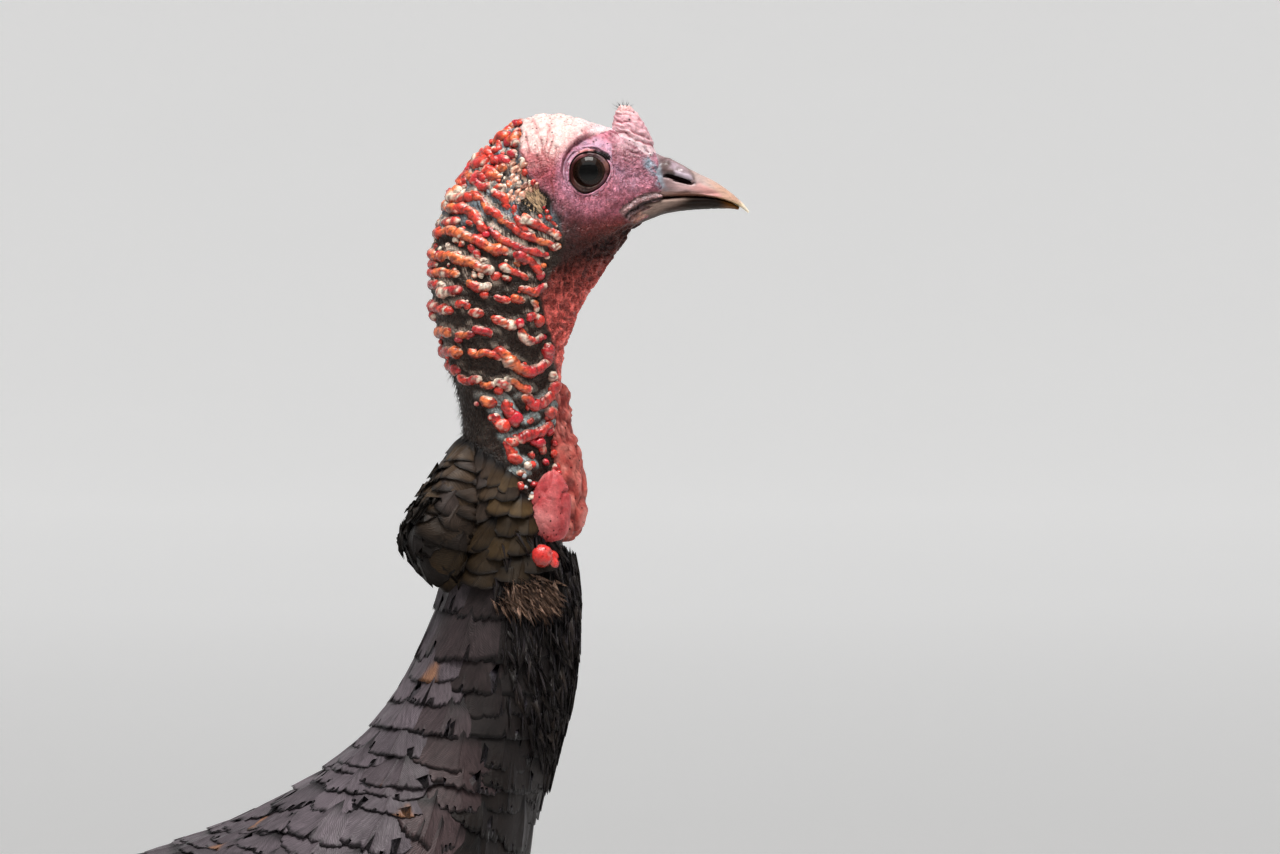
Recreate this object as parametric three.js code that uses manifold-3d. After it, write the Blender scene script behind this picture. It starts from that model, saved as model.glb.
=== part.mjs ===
// A wild turkey: an adult gobbler, life size, standing alert with its neck raised and its wings folded.
// Millimetres, +Z up. The bird faces +X, and its right side is at -Y.
// The origin is on the floor, under the middle of the bird's length and width.
// Positions along the bird are written as distances from its eyes, forward and up.
import * as THREE from "three";
import { mergeVertices } from "three/addons/utils/BufferGeometryUtils.js";
import Module from "manifold-3d";

const wasm = await Module();
wasm.setup();

// ---- Driving sizes ----
const EYE_HEIGHT = 930; // eyes above the floor
const GAP = 0.4; // clear space between neighbouring pieces
const AROUND = 28; // faces round the head, neck and trunk

// Head
const EYE = { radius: 9, side: 10.6, lidRadius: 7.4, lidThickness: 1.5, lidOut: 1 };
const ORBIT = { x: 1.5, z: -1, side: 24.2, radii: [12.5, 8.2, 11] }; // hollow for the eye and its lids
const BROW = { x: -2, z: 9.8, side: 12.6, radii: [12, 5.4, 4.2] };
const EAR = { x: -19, z: -11.5, side: 21.2, radii: [5.2, 2.6, 6.6] };
const WATTLE = { x: -17, z: -128.5, side: 15.5, radii: [9, 6.5, 14] };

// Legs: the right foot stands a little ahead of the left one
const STRIDE = { right: 24, left: -24 };
const FOOT_SIDE = 60;
const HOCK = { x: -306, z: -755, side: 57 };
const ANKLE = { x: -264, height: 13 };
const SHANK = [
  // share of the way from hock to ankle, half depth, half width
  [-0.1, 10.4, 9.2],
  [0.05, 11.5, 9.7],
  [0.22, 8.6, 7],
  [0.5, 7.6, 6.2],
  [0.8, 8.2, 7.2],
  [0.94, 10.5, 10],
];
const PAD = { height: 5, radii: [10.5, 10], soleRadii: [8.4, 7.9] };
const SPUR = { share: 0.62, radii: [5, 3.5, 0.7], bend: [[0, 0, 0], [-17, -5, 1], [-30, -8, 8]] };
// Toes: turned outwards (degrees), length, radius at the root and at the end, claw
const TOES = [
  { name: "middle", turn: -4, length: 74, root: 7.4, end: 5, claw: 15 },
  { name: "inner", turn: -42, length: 50, root: 6.6, end: 4.6, claw: 12 },
  { name: "outer", turn: 38, length: 54, root: 6.8, end: 4.6, claw: 12 },
  { name: "hind", turn: 172, length: 27, root: 5.2, end: 4, claw: 10 },
];
const TOE = { start: 5, joint: 18, pad: 0.45, sink: 0.86, flat: 1.08 };
const CLAW = { overlap: 4, shares: [0.72, 0.56], tip: 0.6, tipHeight: 0.9, lift: 0.8, bend: 0.45 };

// ---- Outlines ----
// Each station of a body or limb says where its section starts on the back and where it ends on the belly,
// [back x, back z, belly x, belly z, half width, level of the widest point (0 belly, 1 back)].
const BODY = [
  [27, 7, 21, -19.5, 9.8, 0.45], // 0 mask round the bill
  [15.5, 14, 17, -22.5, 13.6, 0.5], // 1 lores
  [5.7, 17.9, 11.5, -30, 17, 0.56], // 2 front of the eye
  [-4, 21, 6, -38, 18.8, 0.6], // 3 eye
  [-15, 22.6, 1, -45.5, 20.6, 0.58], // 4 crown
  [-27.5, 20, -3.5, -53, 22, 0.54], // 5 back of the crown
  [-41, 10.5, -7, -61, 23, 0.5], // 6 back of the head
  [-52, -4, -9.8, -69, 23.4, 0.5], // 7 nape
  [-59, -18, -11, -77, 23.6, 0.5], // 8
  [-62.6, -35, -11, -85, 23.2, 0.5], // 9 bare neck
  [-62, -54, -11.2, -94, 22.2, 0.5], // 10
  [-57.2, -73, -11.5, -104, 20.6, 0.5], // 11
  [-52.5, -89, -11.5, -116, 20, 0.5], // 12 the slimmest part
  [-51, -106, -10.5, -130, 21.4, 0.5], // 13
  [-52.5, -126, -8, -144, 24, 0.5], // 14 feathered neck
  [-56, -149, -5, -158, 26.5, 0.5], // 15
  [-62, -171, -4, -176, 30, 0.5], // 16
  [-76, -200, -5.5, -202, 36, 0.5], // 17
  [-99, -226, -13, -234, 46, 0.5], // 18 foot of the neck
  [-137, -248, -20, -270, 66, 0.48], // 19
  [-190, -265, -13, -316, 90, 0.48], // 20 shoulders
  [-250, -284, 3, -370, 111, 0.48], // 21 breast
  [-310, -305, 3, -434, 124, 0.48], // 22
  [-365, -326, -44, -512, 130, 0.48], // 23
  [-415, -347, -142, -570, 128, 0.48], // 24 belly
  [-462, -368, -262, -592, 116, 0.5], // 25
  [-507, -389, -382, -566, 94, 0.54], // 26
  [-548, -409, -478, -516, 68, 0.6], // 27 vent
  [-586, -428, -556, -474, 44, 0.6], // 28 root of the tail
];
const BILL_UPPER = [
  [27.5, 6.9, 23.5, -11.2, 9.4, 0.2],
  [33.5, 4.2, 30.5, -10.4, 8.6, 0.18],
  [40.7, 0.4, 38.5, -9.9, 7.5, 0.16],
  [49.5, -4, 48, -10.2, 6, 0.16],
  [56, -8.6, 55, -11.8, 4.2, 0.2],
  [60.4, -12.6, 59.4, -14, 2.2, 0.3],
  [62.6, -15.6, 61.9, -16, 0.8, 0.5],
];
const BILL_LOWER = [
  [23.4, -11.8, 21.5, -19.4, 8.8, 0.8],
  [30.4, -11, 30, -16.2, 7.8, 0.84],
  [38.4, -10.5, 38.2, -15, 6.4, 0.84],
  [47.8, -10.8, 47.6, -14.4, 4.8, 0.84],
  [54.6, -12.4, 54.4, -14.3, 3.2, 0.8],
  [58.6, -13.9, 58.3, -14.7, 1.6, 0.6],
];
const SNOOD = [
  [7, 9, 26, 2, 6, 0.5],
  [9, 16, 25.4, 9, 5.8, 0.5],
  [9.6, 20, 22.8, 16.2, 4.8, 0.5],
  [10.4, 23.6, 19.6, 22, 3.8, 0.5],
  [11.8, 26, 16.6, 25.4, 2, 0.5],
];
const DEWLAP = [
  [-20, -76, -8.5, -84, 3, 0.5],
  [-20, -90, -7, -98, 5, 0.5],
  [-20, -106, -3.6, -112, 6.5, 0.5],
  [-20, -122, -1.4, -126, 7.5, 0.5],
  [-17, -137, -3, -138, 6, 0.5],
  [-13, -144, -8, -144, 2.5, 0.5],
];
const NAPE_TUFT = [
  [-53, -99, -42, -107, 12, 0.5],
  [-60, -113, -40, -120, 20, 0.5],
  [-70.5, -128, -40, -133, 25, 0.5],
  [-73.6, -143, -44, -145, 26, 0.5],
  [-68, -156, -48, -153, 21, 0.5],
  [-60, -161, -52, -157, 11, 0.5],
];
const BEARD = [
  [-26, -316, -20, -330, 6, 0.5],
  [12, -352, 3, -366, 7, 0.5],
  [21, -396, 11.5, -398, 8, 0.5],
  [22.5, -450, 12.5, -450, 7.5, 0.5],
  [20, -505, 13, -505, 5.5, 0.5],
  [17, -545, 14, -545, 2.5, 0.5],
];
// Folded wings, seen from the side: [x, z, half height, y of the outer face, half depth]
const WING = [
  [-66, -398, 20, 96, 24],
  [-86, -402, 48, 116, 30],
  [-130, -405, 72, 132, 34],
  [-200, -413, 86, 141, 34],
  [-280, -426, 86, 143.5, 34],
  [-360, -440, 76, 136, 30],
  [-440, -454, 60, 117, 20],
  [-510, -466, 42, 94, 9],
  [-560, -476, 22, 79, 5],
  [-584, -480, 7, 74, 3],
];
const PRIMARIES = [
  [-300, -503, 14, 130, 9],
  [-380, -506, 18, 121, 8],
  [-460, -508, 19, 102, 6],
  [-540, -508, 17, 82, 4.5],
  [-610, -510, 12, 72, 3],
  [-652, -514, 5, 67, 2],
];
// Tail: [x, z, half width, half thickness], with its sides hanging below the middle by TAIL_ARCH
const TAIL = [
  [-572, -449, 30, 12],
  [-640, -480, 46, 9],
  [-720, -515, 60, 6.5],
  [-800, -549, 70, 4.5],
  [-842, -567, 68, 3.2],
  [-864, -576, 46, 2.2],
];
const TAIL_ARCH = 16;
const UPPER_COVERTS = [
  [-560, -420, 32, 12],
  [-620, -452, 44, 14],
  [-690, -489, 44, 9],
  [-735, -512, 26, 4],
];
const LOWER_COVERTS = [
  [-520, -492, 40, 16],
  [-580, -488, 42, 14],
  [-650, -509, 36, 10],
  [-700, -530, 20, 4],
];
// Feathered thigh: [x, z, half depth, half width, y]
const THIGH = [
  [-206, -488, 82, 44, 62],
  [-216, -548, 78, 45, 64],
  [-238, -604, 62, 38, 64],
  [-262, -656, 42, 27, 62],
  [-286, -704, 25, 18.5, 59],
  [HOCK.x, -744, 13.5, 12.5, HOCK.side],
];

const MATERIALS = {
  bareSkin: new THREE.MeshStandardMaterial({ color: 0xb5626a, roughness: 0.55 }),
  redSkin: new THREE.MeshStandardMaterial({ color: 0xc9504f, roughness: 0.5 }),
  darkSkin: new THREE.MeshStandardMaterial({ color: 0x8d4a45, roughness: 0.6 }),
  bill: new THREE.MeshStandardMaterial({ color: 0xb99a82, roughness: 0.4 }),
  eye: new THREE.MeshStandardMaterial({ color: 0x120c0a, roughness: 0.06 }),
  earTuft: new THREE.MeshStandardMaterial({ color: 0x9c8360, roughness: 0.8 }),
  plumage: new THREE.MeshStandardMaterial({ color: 0x2c2626, roughness: 0.5 }),
  wing: new THREE.MeshStandardMaterial({ color: 0x5b4f47, roughness: 0.55 }),
  tail: new THREE.MeshStandardMaterial({ color: 0x4a3426, roughness: 0.55 }),
  bristle: new THREE.MeshStandardMaterial({ color: 0x161212, roughness: 0.45 }),
  legScale: new THREE.MeshStandardMaterial({ color: 0xa8766e, roughness: 0.5 }),
  horn: new THREE.MeshStandardMaterial({ color: 0x3a2c26, roughness: 0.35 }),
};

// ---- Making and cutting solids ----
// A three.js geometry as a manifold-3d solid.
function solidOf(geometry) {
  const bare = geometry.clone();
  bare.deleteAttribute("normal");
  bare.deleteAttribute("uv");
  const merged = mergeVertices(bare, 1e-4);
  const made = new wasm.Manifold(
    new wasm.Mesh({
      numProp: 3,
      vertProperties: new Float32Array(merged.attributes.position.array),
      triVerts: new Uint32Array(merged.index.array),
    }),
  );
  return made;
}

function geometryOf(solid) {
  const mesh = solid.getMesh();
  const geometry = new THREE.BufferGeometry();
  geometry.setAttribute("position", new THREE.BufferAttribute(mesh.vertProperties, 3));
  geometry.setIndex(new THREE.BufferAttribute(mesh.triVerts, 1));
  geometry.computeVertexNormals();
  return geometry;
}

// The largest connected piece of a solid, so that a cut leaves no crumbs.
function largest(solid) {
  return solid.decompose().reduce((a, b) => (b.volume() > a.volume() ? b : a));
}

// The closed skin over a row of rings with as many points each, with a flat fan at either end.
function loft(rings) {
  const around = rings[0].length;
  const ends = [rings[0], rings[rings.length - 1]].map((ring) =>
    ring.reduce((sum, p) => sum.add(p), new THREE.Vector3()).divideScalar(around),
  );
  const points = [...rings.flat(), ...ends];
  const faces = [];
  for (let i = 0; i + 1 < rings.length; i++)
    for (let j = 0; j < around; j++) {
      const k = (j + 1) % around;
      const [a, b, c, d] = [i * around + j, i * around + k, (i + 1) * around + k, (i + 1) * around + j];
      faces.push(a, b, c, a, c, d);
    }
  const last = (rings.length - 1) * around;
  for (let j = 0; j < around; j++) {
    const k = (j + 1) % around;
    faces.push(points.length - 2, k, j, points.length - 1, last + j, last + k);
  }
  const geometry = new THREE.BufferGeometry().setFromPoints(points);
  geometry.setIndex(faces);
  const solid = solidOf(geometry);
  if (solid.volume() > 0) return solid;
  for (let i = 0; i < faces.length; i += 3) [faces[i], faces[i + 1]] = [faces[i + 1], faces[i]];
  geometry.setIndex(faces);
  return solidOf(geometry);
}

// Rows of numbers joined by one smooth curve for each column: at(2.5) is halfway from row 2 to row 3.
// Columns 0-2 and 3-5 share the spacing of their own points.
function smoothRows(rows) {
  const curveOf = (first) =>
    new THREE.CatmullRomCurve3(
      rows.map((r) => new THREE.Vector3(r[first] ?? 0, r[first + 1] ?? 0, r[first + 2] ?? 0)),
    );
  const curves = [0, 3].map(curveOf);
  return (s) => curves.flatMap((c) => c.getPoint(s / (rows.length - 1)).toArray());
}

// One ring of a body: a rounded section from the back point to the belly point.
function bodyRing([backX, backZ, bellyX, bellyZ, halfWidth, widest], around, grow, power) {
  const back = new THREE.Vector3(backX, 0, backZ);
  const belly = new THREE.Vector3(bellyX, 0, bellyZ);
  const up = back.clone().sub(belly);
  const height = up.length();
  up.normalize();
  const centre = belly.clone().addScaledVector(up, height * widest);
  const ring = [];
  for (let j = 0; j < around; j++) {
    const angle = (2 * Math.PI * j) / around;
    const [c, s] = [Math.cos(angle), Math.sin(angle)];
    const rise = (c > 0 ? 1 - widest : widest) * height + grow;
    const point = centre.clone().addScaledVector(up, Math.sign(c) * Math.abs(c) ** (2 / power) * rise);
    point.y = Math.sign(s) * Math.abs(s) ** (2 / power) * (halfWidth + grow);
    ring.push(point);
  }
  return ring;
}

// A closed length of body between two station numbers, with so many steps.
function bodyPart(rows, { from = 0, to = rows.length - 1, steps, around = AROUND, grow = 0, power = 2 }) {
  const at = smoothRows(rows);
  const rings = [];
  for (let i = 0; i <= steps; i++)
    rings.push(bodyRing(at(from + ((to - from) * i) / steps), around, grow, power));
  return loft(rings);
}

// A flattened form down one side: rows say [x, z, half height, outer y, half depth].
function sidePart(rows, { steps, around = 14, grow = 0, power = 3.2 }) {
  const at = smoothRows(rows);
  const rings = [];
  for (let i = 0; i <= steps; i++) {
    const [x, z, halfHeight, outer, depth] = at(((rows.length - 1) * i) / steps);
    const ring = [];
    for (let j = 0; j < around; j++) {
      const angle = (2 * Math.PI * j) / around;
      const [c, s] = [Math.cos(angle), Math.sin(angle)];
      const across = Math.sign(s) * Math.abs(s) ** (2 / power) * (depth + grow);
      const up = Math.sign(c) * Math.abs(c) ** (2 / power) * (halfHeight + grow);
      ring.push(new THREE.Vector3(x, outer - depth + across, z + up));
    }
    rings.push(ring);
  }
  return loft(rings);
}

// A flat form across the middle: rows say [x, z, half width, half thickness].
function fanPart(rows, { steps, around = 14, grow = 0, arch = TAIL_ARCH, power = 3 }) {
  const at = smoothRows(rows);
  const widest = Math.max(...TAIL.map((r) => r[2]));
  const rings = [];
  for (let i = 0; i <= steps; i++) {
    const [x, z, halfWidth, halfThickness] = at(((rows.length - 1) * i) / steps);
    const ring = [];
    for (let j = 0; j < around; j++) {
      const angle = (2 * Math.PI * j) / around;
      const [c, s] = [Math.cos(angle), Math.sin(angle)];
      const y = Math.sign(s) * Math.abs(s) ** (2 / power) * (halfWidth + grow);
      const up = Math.sign(c) * Math.abs(c) ** (2 / power) * (halfThickness + grow);
      ring.push(new THREE.Vector3(x, y, z + up - arch * (y / widest) ** 2));
    }
    rings.push(ring);
  }
  return loft(rings);
}

// A round limb through [x, y, z, radius along x, radius along y] points, each ring level.
function limb(rows, { steps, around = 14, grow = 0 }) {
  const at = smoothRows(rows);
  const rings = [];
  for (let i = 0; i <= steps; i++) {
    const [x, y, z, radiusX, radiusY] = at(((rows.length - 1) * i) / steps);
    const ring = [];
    for (let j = 0; j < around; j++) {
      const angle = (2 * Math.PI * j) / around;
      ring.push(
        new THREE.Vector3(
          x + Math.cos(angle) * (radiusX + grow),
          y + Math.sin(angle) * (radiusY + grow),
          z,
        ),
      );
    }
    rings.push(ring);
  }
  return loft(rings);
}

// A round tapering form along a path of points, with a radius for each.
function taper(points, radii, { steps, around = 10, flat = 1 }) {
  const path = new THREE.CatmullRomCurve3(points);
  const radiusAt = smoothRows(radii.map((r) => [r]));
  const rings = [];
  for (let i = 0; i <= steps; i++) {
    const u = i / steps;
    const ahead = path.getTangent(u);
    const side = new THREE.Vector3(0, 0, 1).cross(ahead);
    if (side.length() < 0.05) side.set(0, 1, 0);
    side.normalize();
    const up = ahead.clone().cross(side).normalize();
    const [radius] = radiusAt(u * (radii.length - 1));
    const ring = [];
    for (let j = 0; j < around; j++) {
      const angle = (2 * Math.PI * j) / around;
      ring.push(
        path
          .getPoint(u)
          .addScaledVector(side, Math.cos(angle) * radius * flat)
          .addScaledVector(up, Math.sin(angle) * radius),
      );
    }
    rings.push(ring);
  }
  return loft(rings);
}

function ball(radii, [x, y, z], grow = 0, around = 12) {
  const geometry = new THREE.SphereGeometry(1, around, Math.round(around * 0.6));
  geometry.scale(radii[0] + grow, radii[1] + grow, radii[2] + grow);
  geometry.translate(x, y, z);
  return solidOf(geometry);
}

const toSide = (solid, sign) => (sign < 0 ? solid.mirror([0, 1, 0]) : solid);
const foldedWing = (sign, grow) => toSide(sidePart(WING, { steps: 9, grow }), sign);

// A toe cut off at the upright planes halfway to the toes beside it.
function partedToe(solid, toe, ankle, sign) {
  return TOES.reduce((left, other) => {
    const apart = toe.turn - other.turn;
    if (apart === 0 || Math.abs(apart) > 60) return left;
    const middle = THREE.MathUtils.degToRad((sign * (toe.turn + other.turn)) / 2);
    const normal = new THREE.Vector3(-Math.sin(middle), Math.cos(middle), 0);
    normal.multiplyScalar(sign * Math.sign(apart));
    return left.trimByPlane(normal.toArray(), normal.dot(ankle) + GAP / 2);
  }, solid);
}

// ---- The bird ----
const pieces = [];
const add = (name, solid, material) => pieces.push({ name, solid: largest(solid), material });
const floor = -EYE_HEIGHT;
const SIDES = [
  { name: "right", sign: -1 },
  { name: "left", sign: 1 },
];

// Head, bill, snood, eyes and ears
const HEAD_END = 5.3;
const BARE_END = 13.4;
const NECK_END = 18.6;
const NECK_STEP = 0.03; // share of a station left open between two lengths of neck
const EAR_SPAN = 8; // stations that the ears lie on
const WATTLE_SPAN = [7, 17]; // stations that the dewlap, the wattles and the nape tuft lie on
const NECK_FOOT_SPAN = [16, 19.4]; // stations that the fronts of the wings lie near

const eyeAt = (sign) => [0, sign * EYE.side, 0];
let head = bodyPart(BODY, { from: 0, to: HEAD_END, steps: 9 });
for (const { sign } of SIDES) {
  head = head.subtract(ball(ORBIT.radii, [ORBIT.x, sign * ORBIT.side, ORBIT.z]));
  const lid = new THREE.TorusGeometry(EYE.lidRadius, EYE.lidThickness, 5, 14);
  lid.rotateX(Math.PI / 2);
  const lidSide = EYE.side + Math.sqrt(EYE.radius ** 2 - EYE.lidRadius ** 2) + EYE.lidOut;
  lid.translate(0, sign * lidSide, 0);
  head = head.add(ball(BROW.radii, [BROW.x, sign * BROW.side, BROW.z], 0, 8)).add(solidOf(lid));
}
for (const { sign } of SIDES) {
  head = head.subtract(ball([EYE.radius, EYE.radius, EYE.radius], eyeAt(sign), GAP));
}
const snood = bodyPart(SNOOD, { steps: 6, around: 12 });
const faceGrown = bodyPart(BODY, { from: 0, to: HEAD_END, steps: 9, grow: GAP });
add("snood", snood.subtract(faceGrown), "redSkin");
add("head", head, "bareSkin");
add("bill_upper", bodyPart(BILL_UPPER, { steps: 8, around: 14 }), "bill");
add("bill_lower", bodyPart(BILL_LOWER, { steps: 6, around: 12 }), "bill");
const headGrown = bodyPart(BODY, { from: 0, to: EAR_SPAN, steps: 8, grow: GAP });
for (const { name, sign } of SIDES) {
  add(`eye_${name}`, ball([EYE.radius, EYE.radius, EYE.radius], eyeAt(sign)), "eye");
  const ear = ball(EAR.radii, [EAR.x, sign * EAR.side, EAR.z], 0, 10);
  add(`ear_${name}`, ear.subtract(headGrown), "earTuft");
}

// Neck
const bareNeck = { from: HEAD_END + NECK_STEP, to: BARE_END, steps: 9 };
const featheredNeck = { from: BARE_END + NECK_STEP, to: NECK_END, steps: 7 };
add("neck_upper", bodyPart(BODY, bareNeck), "darkSkin");
add("neck_lower", bodyPart(BODY, featheredNeck), "plumage");
const neckGrown = bodyPart(BODY, { from: WATTLE_SPAN[0], to: WATTLE_SPAN[1], steps: 10, grow: GAP });
const dewlap = bodyPart(DEWLAP, { steps: 6, around: 12 });
add("dewlap", dewlap.subtract(neckGrown), "redSkin");
const dewlapGrown = bodyPart(DEWLAP, { steps: 6, around: 12, grow: GAP });
for (const { name, sign } of SIDES) {
  const wattle = ball(WATTLE.radii, [WATTLE.x, sign * WATTLE.side, WATTLE.z]);
  add(`wattle_${name}`, wattle.subtract(neckGrown).subtract(dewlapGrown), "redSkin");
}
add("nape_tuft", bodyPart(NAPE_TUFT, { steps: 6, around: 12 }).subtract(neckGrown), "plumage");

// Trunk and beard
const trunkSpan = { from: NECK_END + NECK_STEP, to: BODY.length - 1, steps: 14 };
const trunk = bodyPart(BODY, trunkSpan);
const trunkGrown = bodyPart(BODY, { ...trunkSpan, grow: GAP });
add("trunk", trunk, "plumage");
const [footFrom, footTo] = NECK_FOOT_SPAN;
const neckFootGrown = bodyPart(BODY, { from: footFrom, to: footTo, steps: 7, grow: GAP });
add("beard", bodyPart(BEARD, { steps: 7, around: 8 }).subtract(trunkGrown), "bristle");

// Tail
const tail = fanPart(TAIL, { steps: 7 });
const tailGrown = fanPart(TAIL, { steps: 7, grow: GAP });
const upperCoverts = fanPart(UPPER_COVERTS, { steps: 5, around: 10 });
const lowerCoverts = fanPart(LOWER_COVERTS, { steps: 4, around: 10 });
add("tail", tail.subtract(trunkGrown), "tail");
add("tail_coverts_upper", upperCoverts.subtract(trunkGrown).subtract(tailGrown), "tail");
add("tail_coverts_lower", lowerCoverts.subtract(trunkGrown).subtract(tailGrown), "plumage");

// Folded wings
for (const { name, sign } of SIDES) {
  const primaries = toSide(sidePart(PRIMARIES, { steps: 5, around: 8 }), sign);
  const clear = (solid) => solid.subtract(trunkGrown).subtract(neckFootGrown);
  add(`wing_${name}`, clear(foldedWing(sign, 0)), "wing");
  add(`primaries_${name}`, clear(primaries).subtract(foldedWing(sign, GAP)).subtract(tailGrown), "wing");
}

// Legs
for (const { name, sign } of SIDES) {
  const stride = STRIDE[name];
  // The stride moves the foot most, and the top of the thigh not at all.
  const share = (z) => THREE.MathUtils.clamp((z - THIGH[0][1]) / (floor - THIGH[0][1]), 0, 1);
  const shifted = (x, z) => x + stride * share(z);
  const thighRows = THIGH.map(([x, z, depth, width, y]) => [shifted(x, z), sign * y, z, depth, width]);
  const thigh = limb(thighRows, { steps: 6, around: 14 });
  add(`thigh_${name}`, thigh.subtract(foldedWing(sign, GAP)).subtract(trunkGrown), "plumage");

  // Shank, from the hock to the pad of the foot
  const hock = new THREE.Vector3(shifted(HOCK.x, HOCK.z), sign * HOCK.side, HOCK.z);
  const ankle = new THREE.Vector3(
    shifted(ANKLE.x, floor),
    sign * FOOT_SIDE,
    floor + ANKLE.height,
  );
  const between = (u) => hock.clone().lerp(ankle, u);
  const shankRows = SHANK.map(([u, deep, wide]) => [...between(u).toArray(), deep, wide]);
  shankRows.push([ankle.x, ankle.y, floor + PAD.height, ...PAD.radii]);
  shankRows.push([ankle.x, ankle.y, floor, ...PAD.soleRadii]);
  const thighGrown = limb(thighRows, { steps: 6, around: 14, grow: GAP });
  add(`shank_${name}`, limb(shankRows, { steps: 8, around: 9 }).subtract(thighGrown), "legScale");
  const shankGrown = limb(shankRows, { steps: 8, around: 9, grow: GAP });

  // Spur, on the inner back of the shank
  const spurPoints = SPUR.bend.map(([x, y, z]) =>
    between(SPUR.share).add(new THREE.Vector3(x, sign * y, z)),
  );
  const spur = taper(spurPoints, SPUR.radii, { steps: 4, around: 6 });
  add(`spur_${name}`, spur.subtract(shankGrown), "horn");

  // Toes and claws, each toe's underside cut flat at the floor
  for (const toe of TOES) {
    const turn = THREE.MathUtils.degToRad(sign * toe.turn);
    const ahead = new THREE.Vector3(Math.cos(turn), Math.sin(turn), 0);
    const along = (distance, height) =>
      new THREE.Vector3(ankle.x, ankle.y, floor + height).addScaledVector(ahead, distance);
    const toeShape = (grow) => {
      const steps = 2 * Math.round(toe.length / TOE.joint);
      const points = [];
      const radii = [];
      for (let i = 0; i <= steps; i++) {
        const u = i / steps;
        const radius = THREE.MathUtils.lerp(toe.root, toe.end, u) + (i % 2 ? TOE.pad : -TOE.pad);
        points.push(along(THREE.MathUtils.lerp(TOE.start, toe.length, u), radius * TOE.sink));
        radii.push(radius + grow);
      }
      return taper(points, radii, { steps, around: 6, flat: TOE.flat });
    };
    const whole = partedToe(toeShape(0), toe, ankle, sign).subtract(shankGrown);
    add(`toe_${toe.name}_${name}`, whole.trimByPlane([0, 0, 1], floor), "legScale");

    const level = toe.end * TOE.sink + CLAW.lift;
    const clawPoints = [
      along(toe.length - CLAW.overlap, level),
      along(toe.length + toe.claw * CLAW.bend, level),
      along(toe.length + toe.claw, CLAW.tipHeight),
    ];
    const clawRadii = [...CLAW.shares.map((share) => share * toe.end), CLAW.tip];
    const claw = taper(clawPoints, clawRadii, { steps: 3, around: 5 }).subtract(toeShape(GAP));
    add(`claw_${toe.name}_${name}`, claw.trimByPlane([0, 0, 1], floor), "horn");
  }
}

// ---- The exported group ----
const bird = new THREE.Group();
for (const { name, solid, material } of pieces) {
  const mesh = new THREE.Mesh(geometryOf(solid), MATERIALS[material]);
  mesh.name = name;
  bird.add(mesh);
}
const box = new THREE.Box3().setFromObject(bird);
bird.position.set(-(box.min.x + box.max.x) / 2, -(box.min.y + box.max.y) / 2, EYE_HEIGHT);

export default bird;
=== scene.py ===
import bpy
import numpy as np
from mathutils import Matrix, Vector
from mathutils.bvhtree import BVHTree
from mathutils.kdtree import KDTree


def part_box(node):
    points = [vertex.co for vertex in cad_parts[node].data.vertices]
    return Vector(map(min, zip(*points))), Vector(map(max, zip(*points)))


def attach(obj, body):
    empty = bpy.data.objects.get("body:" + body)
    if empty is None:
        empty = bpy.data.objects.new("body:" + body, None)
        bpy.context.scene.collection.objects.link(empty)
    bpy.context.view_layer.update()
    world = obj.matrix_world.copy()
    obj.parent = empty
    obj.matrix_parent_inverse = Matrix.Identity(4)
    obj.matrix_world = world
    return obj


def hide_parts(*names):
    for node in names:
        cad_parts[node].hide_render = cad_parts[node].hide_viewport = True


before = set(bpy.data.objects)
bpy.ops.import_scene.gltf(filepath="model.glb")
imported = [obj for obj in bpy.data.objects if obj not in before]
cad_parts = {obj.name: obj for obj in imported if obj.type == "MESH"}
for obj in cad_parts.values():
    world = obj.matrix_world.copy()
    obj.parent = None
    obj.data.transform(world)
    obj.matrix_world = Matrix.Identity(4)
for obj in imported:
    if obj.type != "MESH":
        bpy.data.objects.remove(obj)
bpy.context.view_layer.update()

bl_info = {
    "name": "Wild turkey",
    "version": (1, 0, 0),
    "blender": (4, 5, 0),
    "location": "View3D > Sidebar > Turkey",
    "description": "Dresses the solid turkey with skin, bill, eyes, feathers and scaled legs",
    "category": "Object",
}

# ---- Places and shapes, in millimetres from the point between the eyes: x forward, y left, z up ----
EYE_BOX = [np.array(c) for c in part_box("eye_right")]
EYES = (EYE_BOX[0] + EYE_BOX[1]) / 2 * (1, 0, 1)
FLOOR = -EYES[2] * 1000

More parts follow.
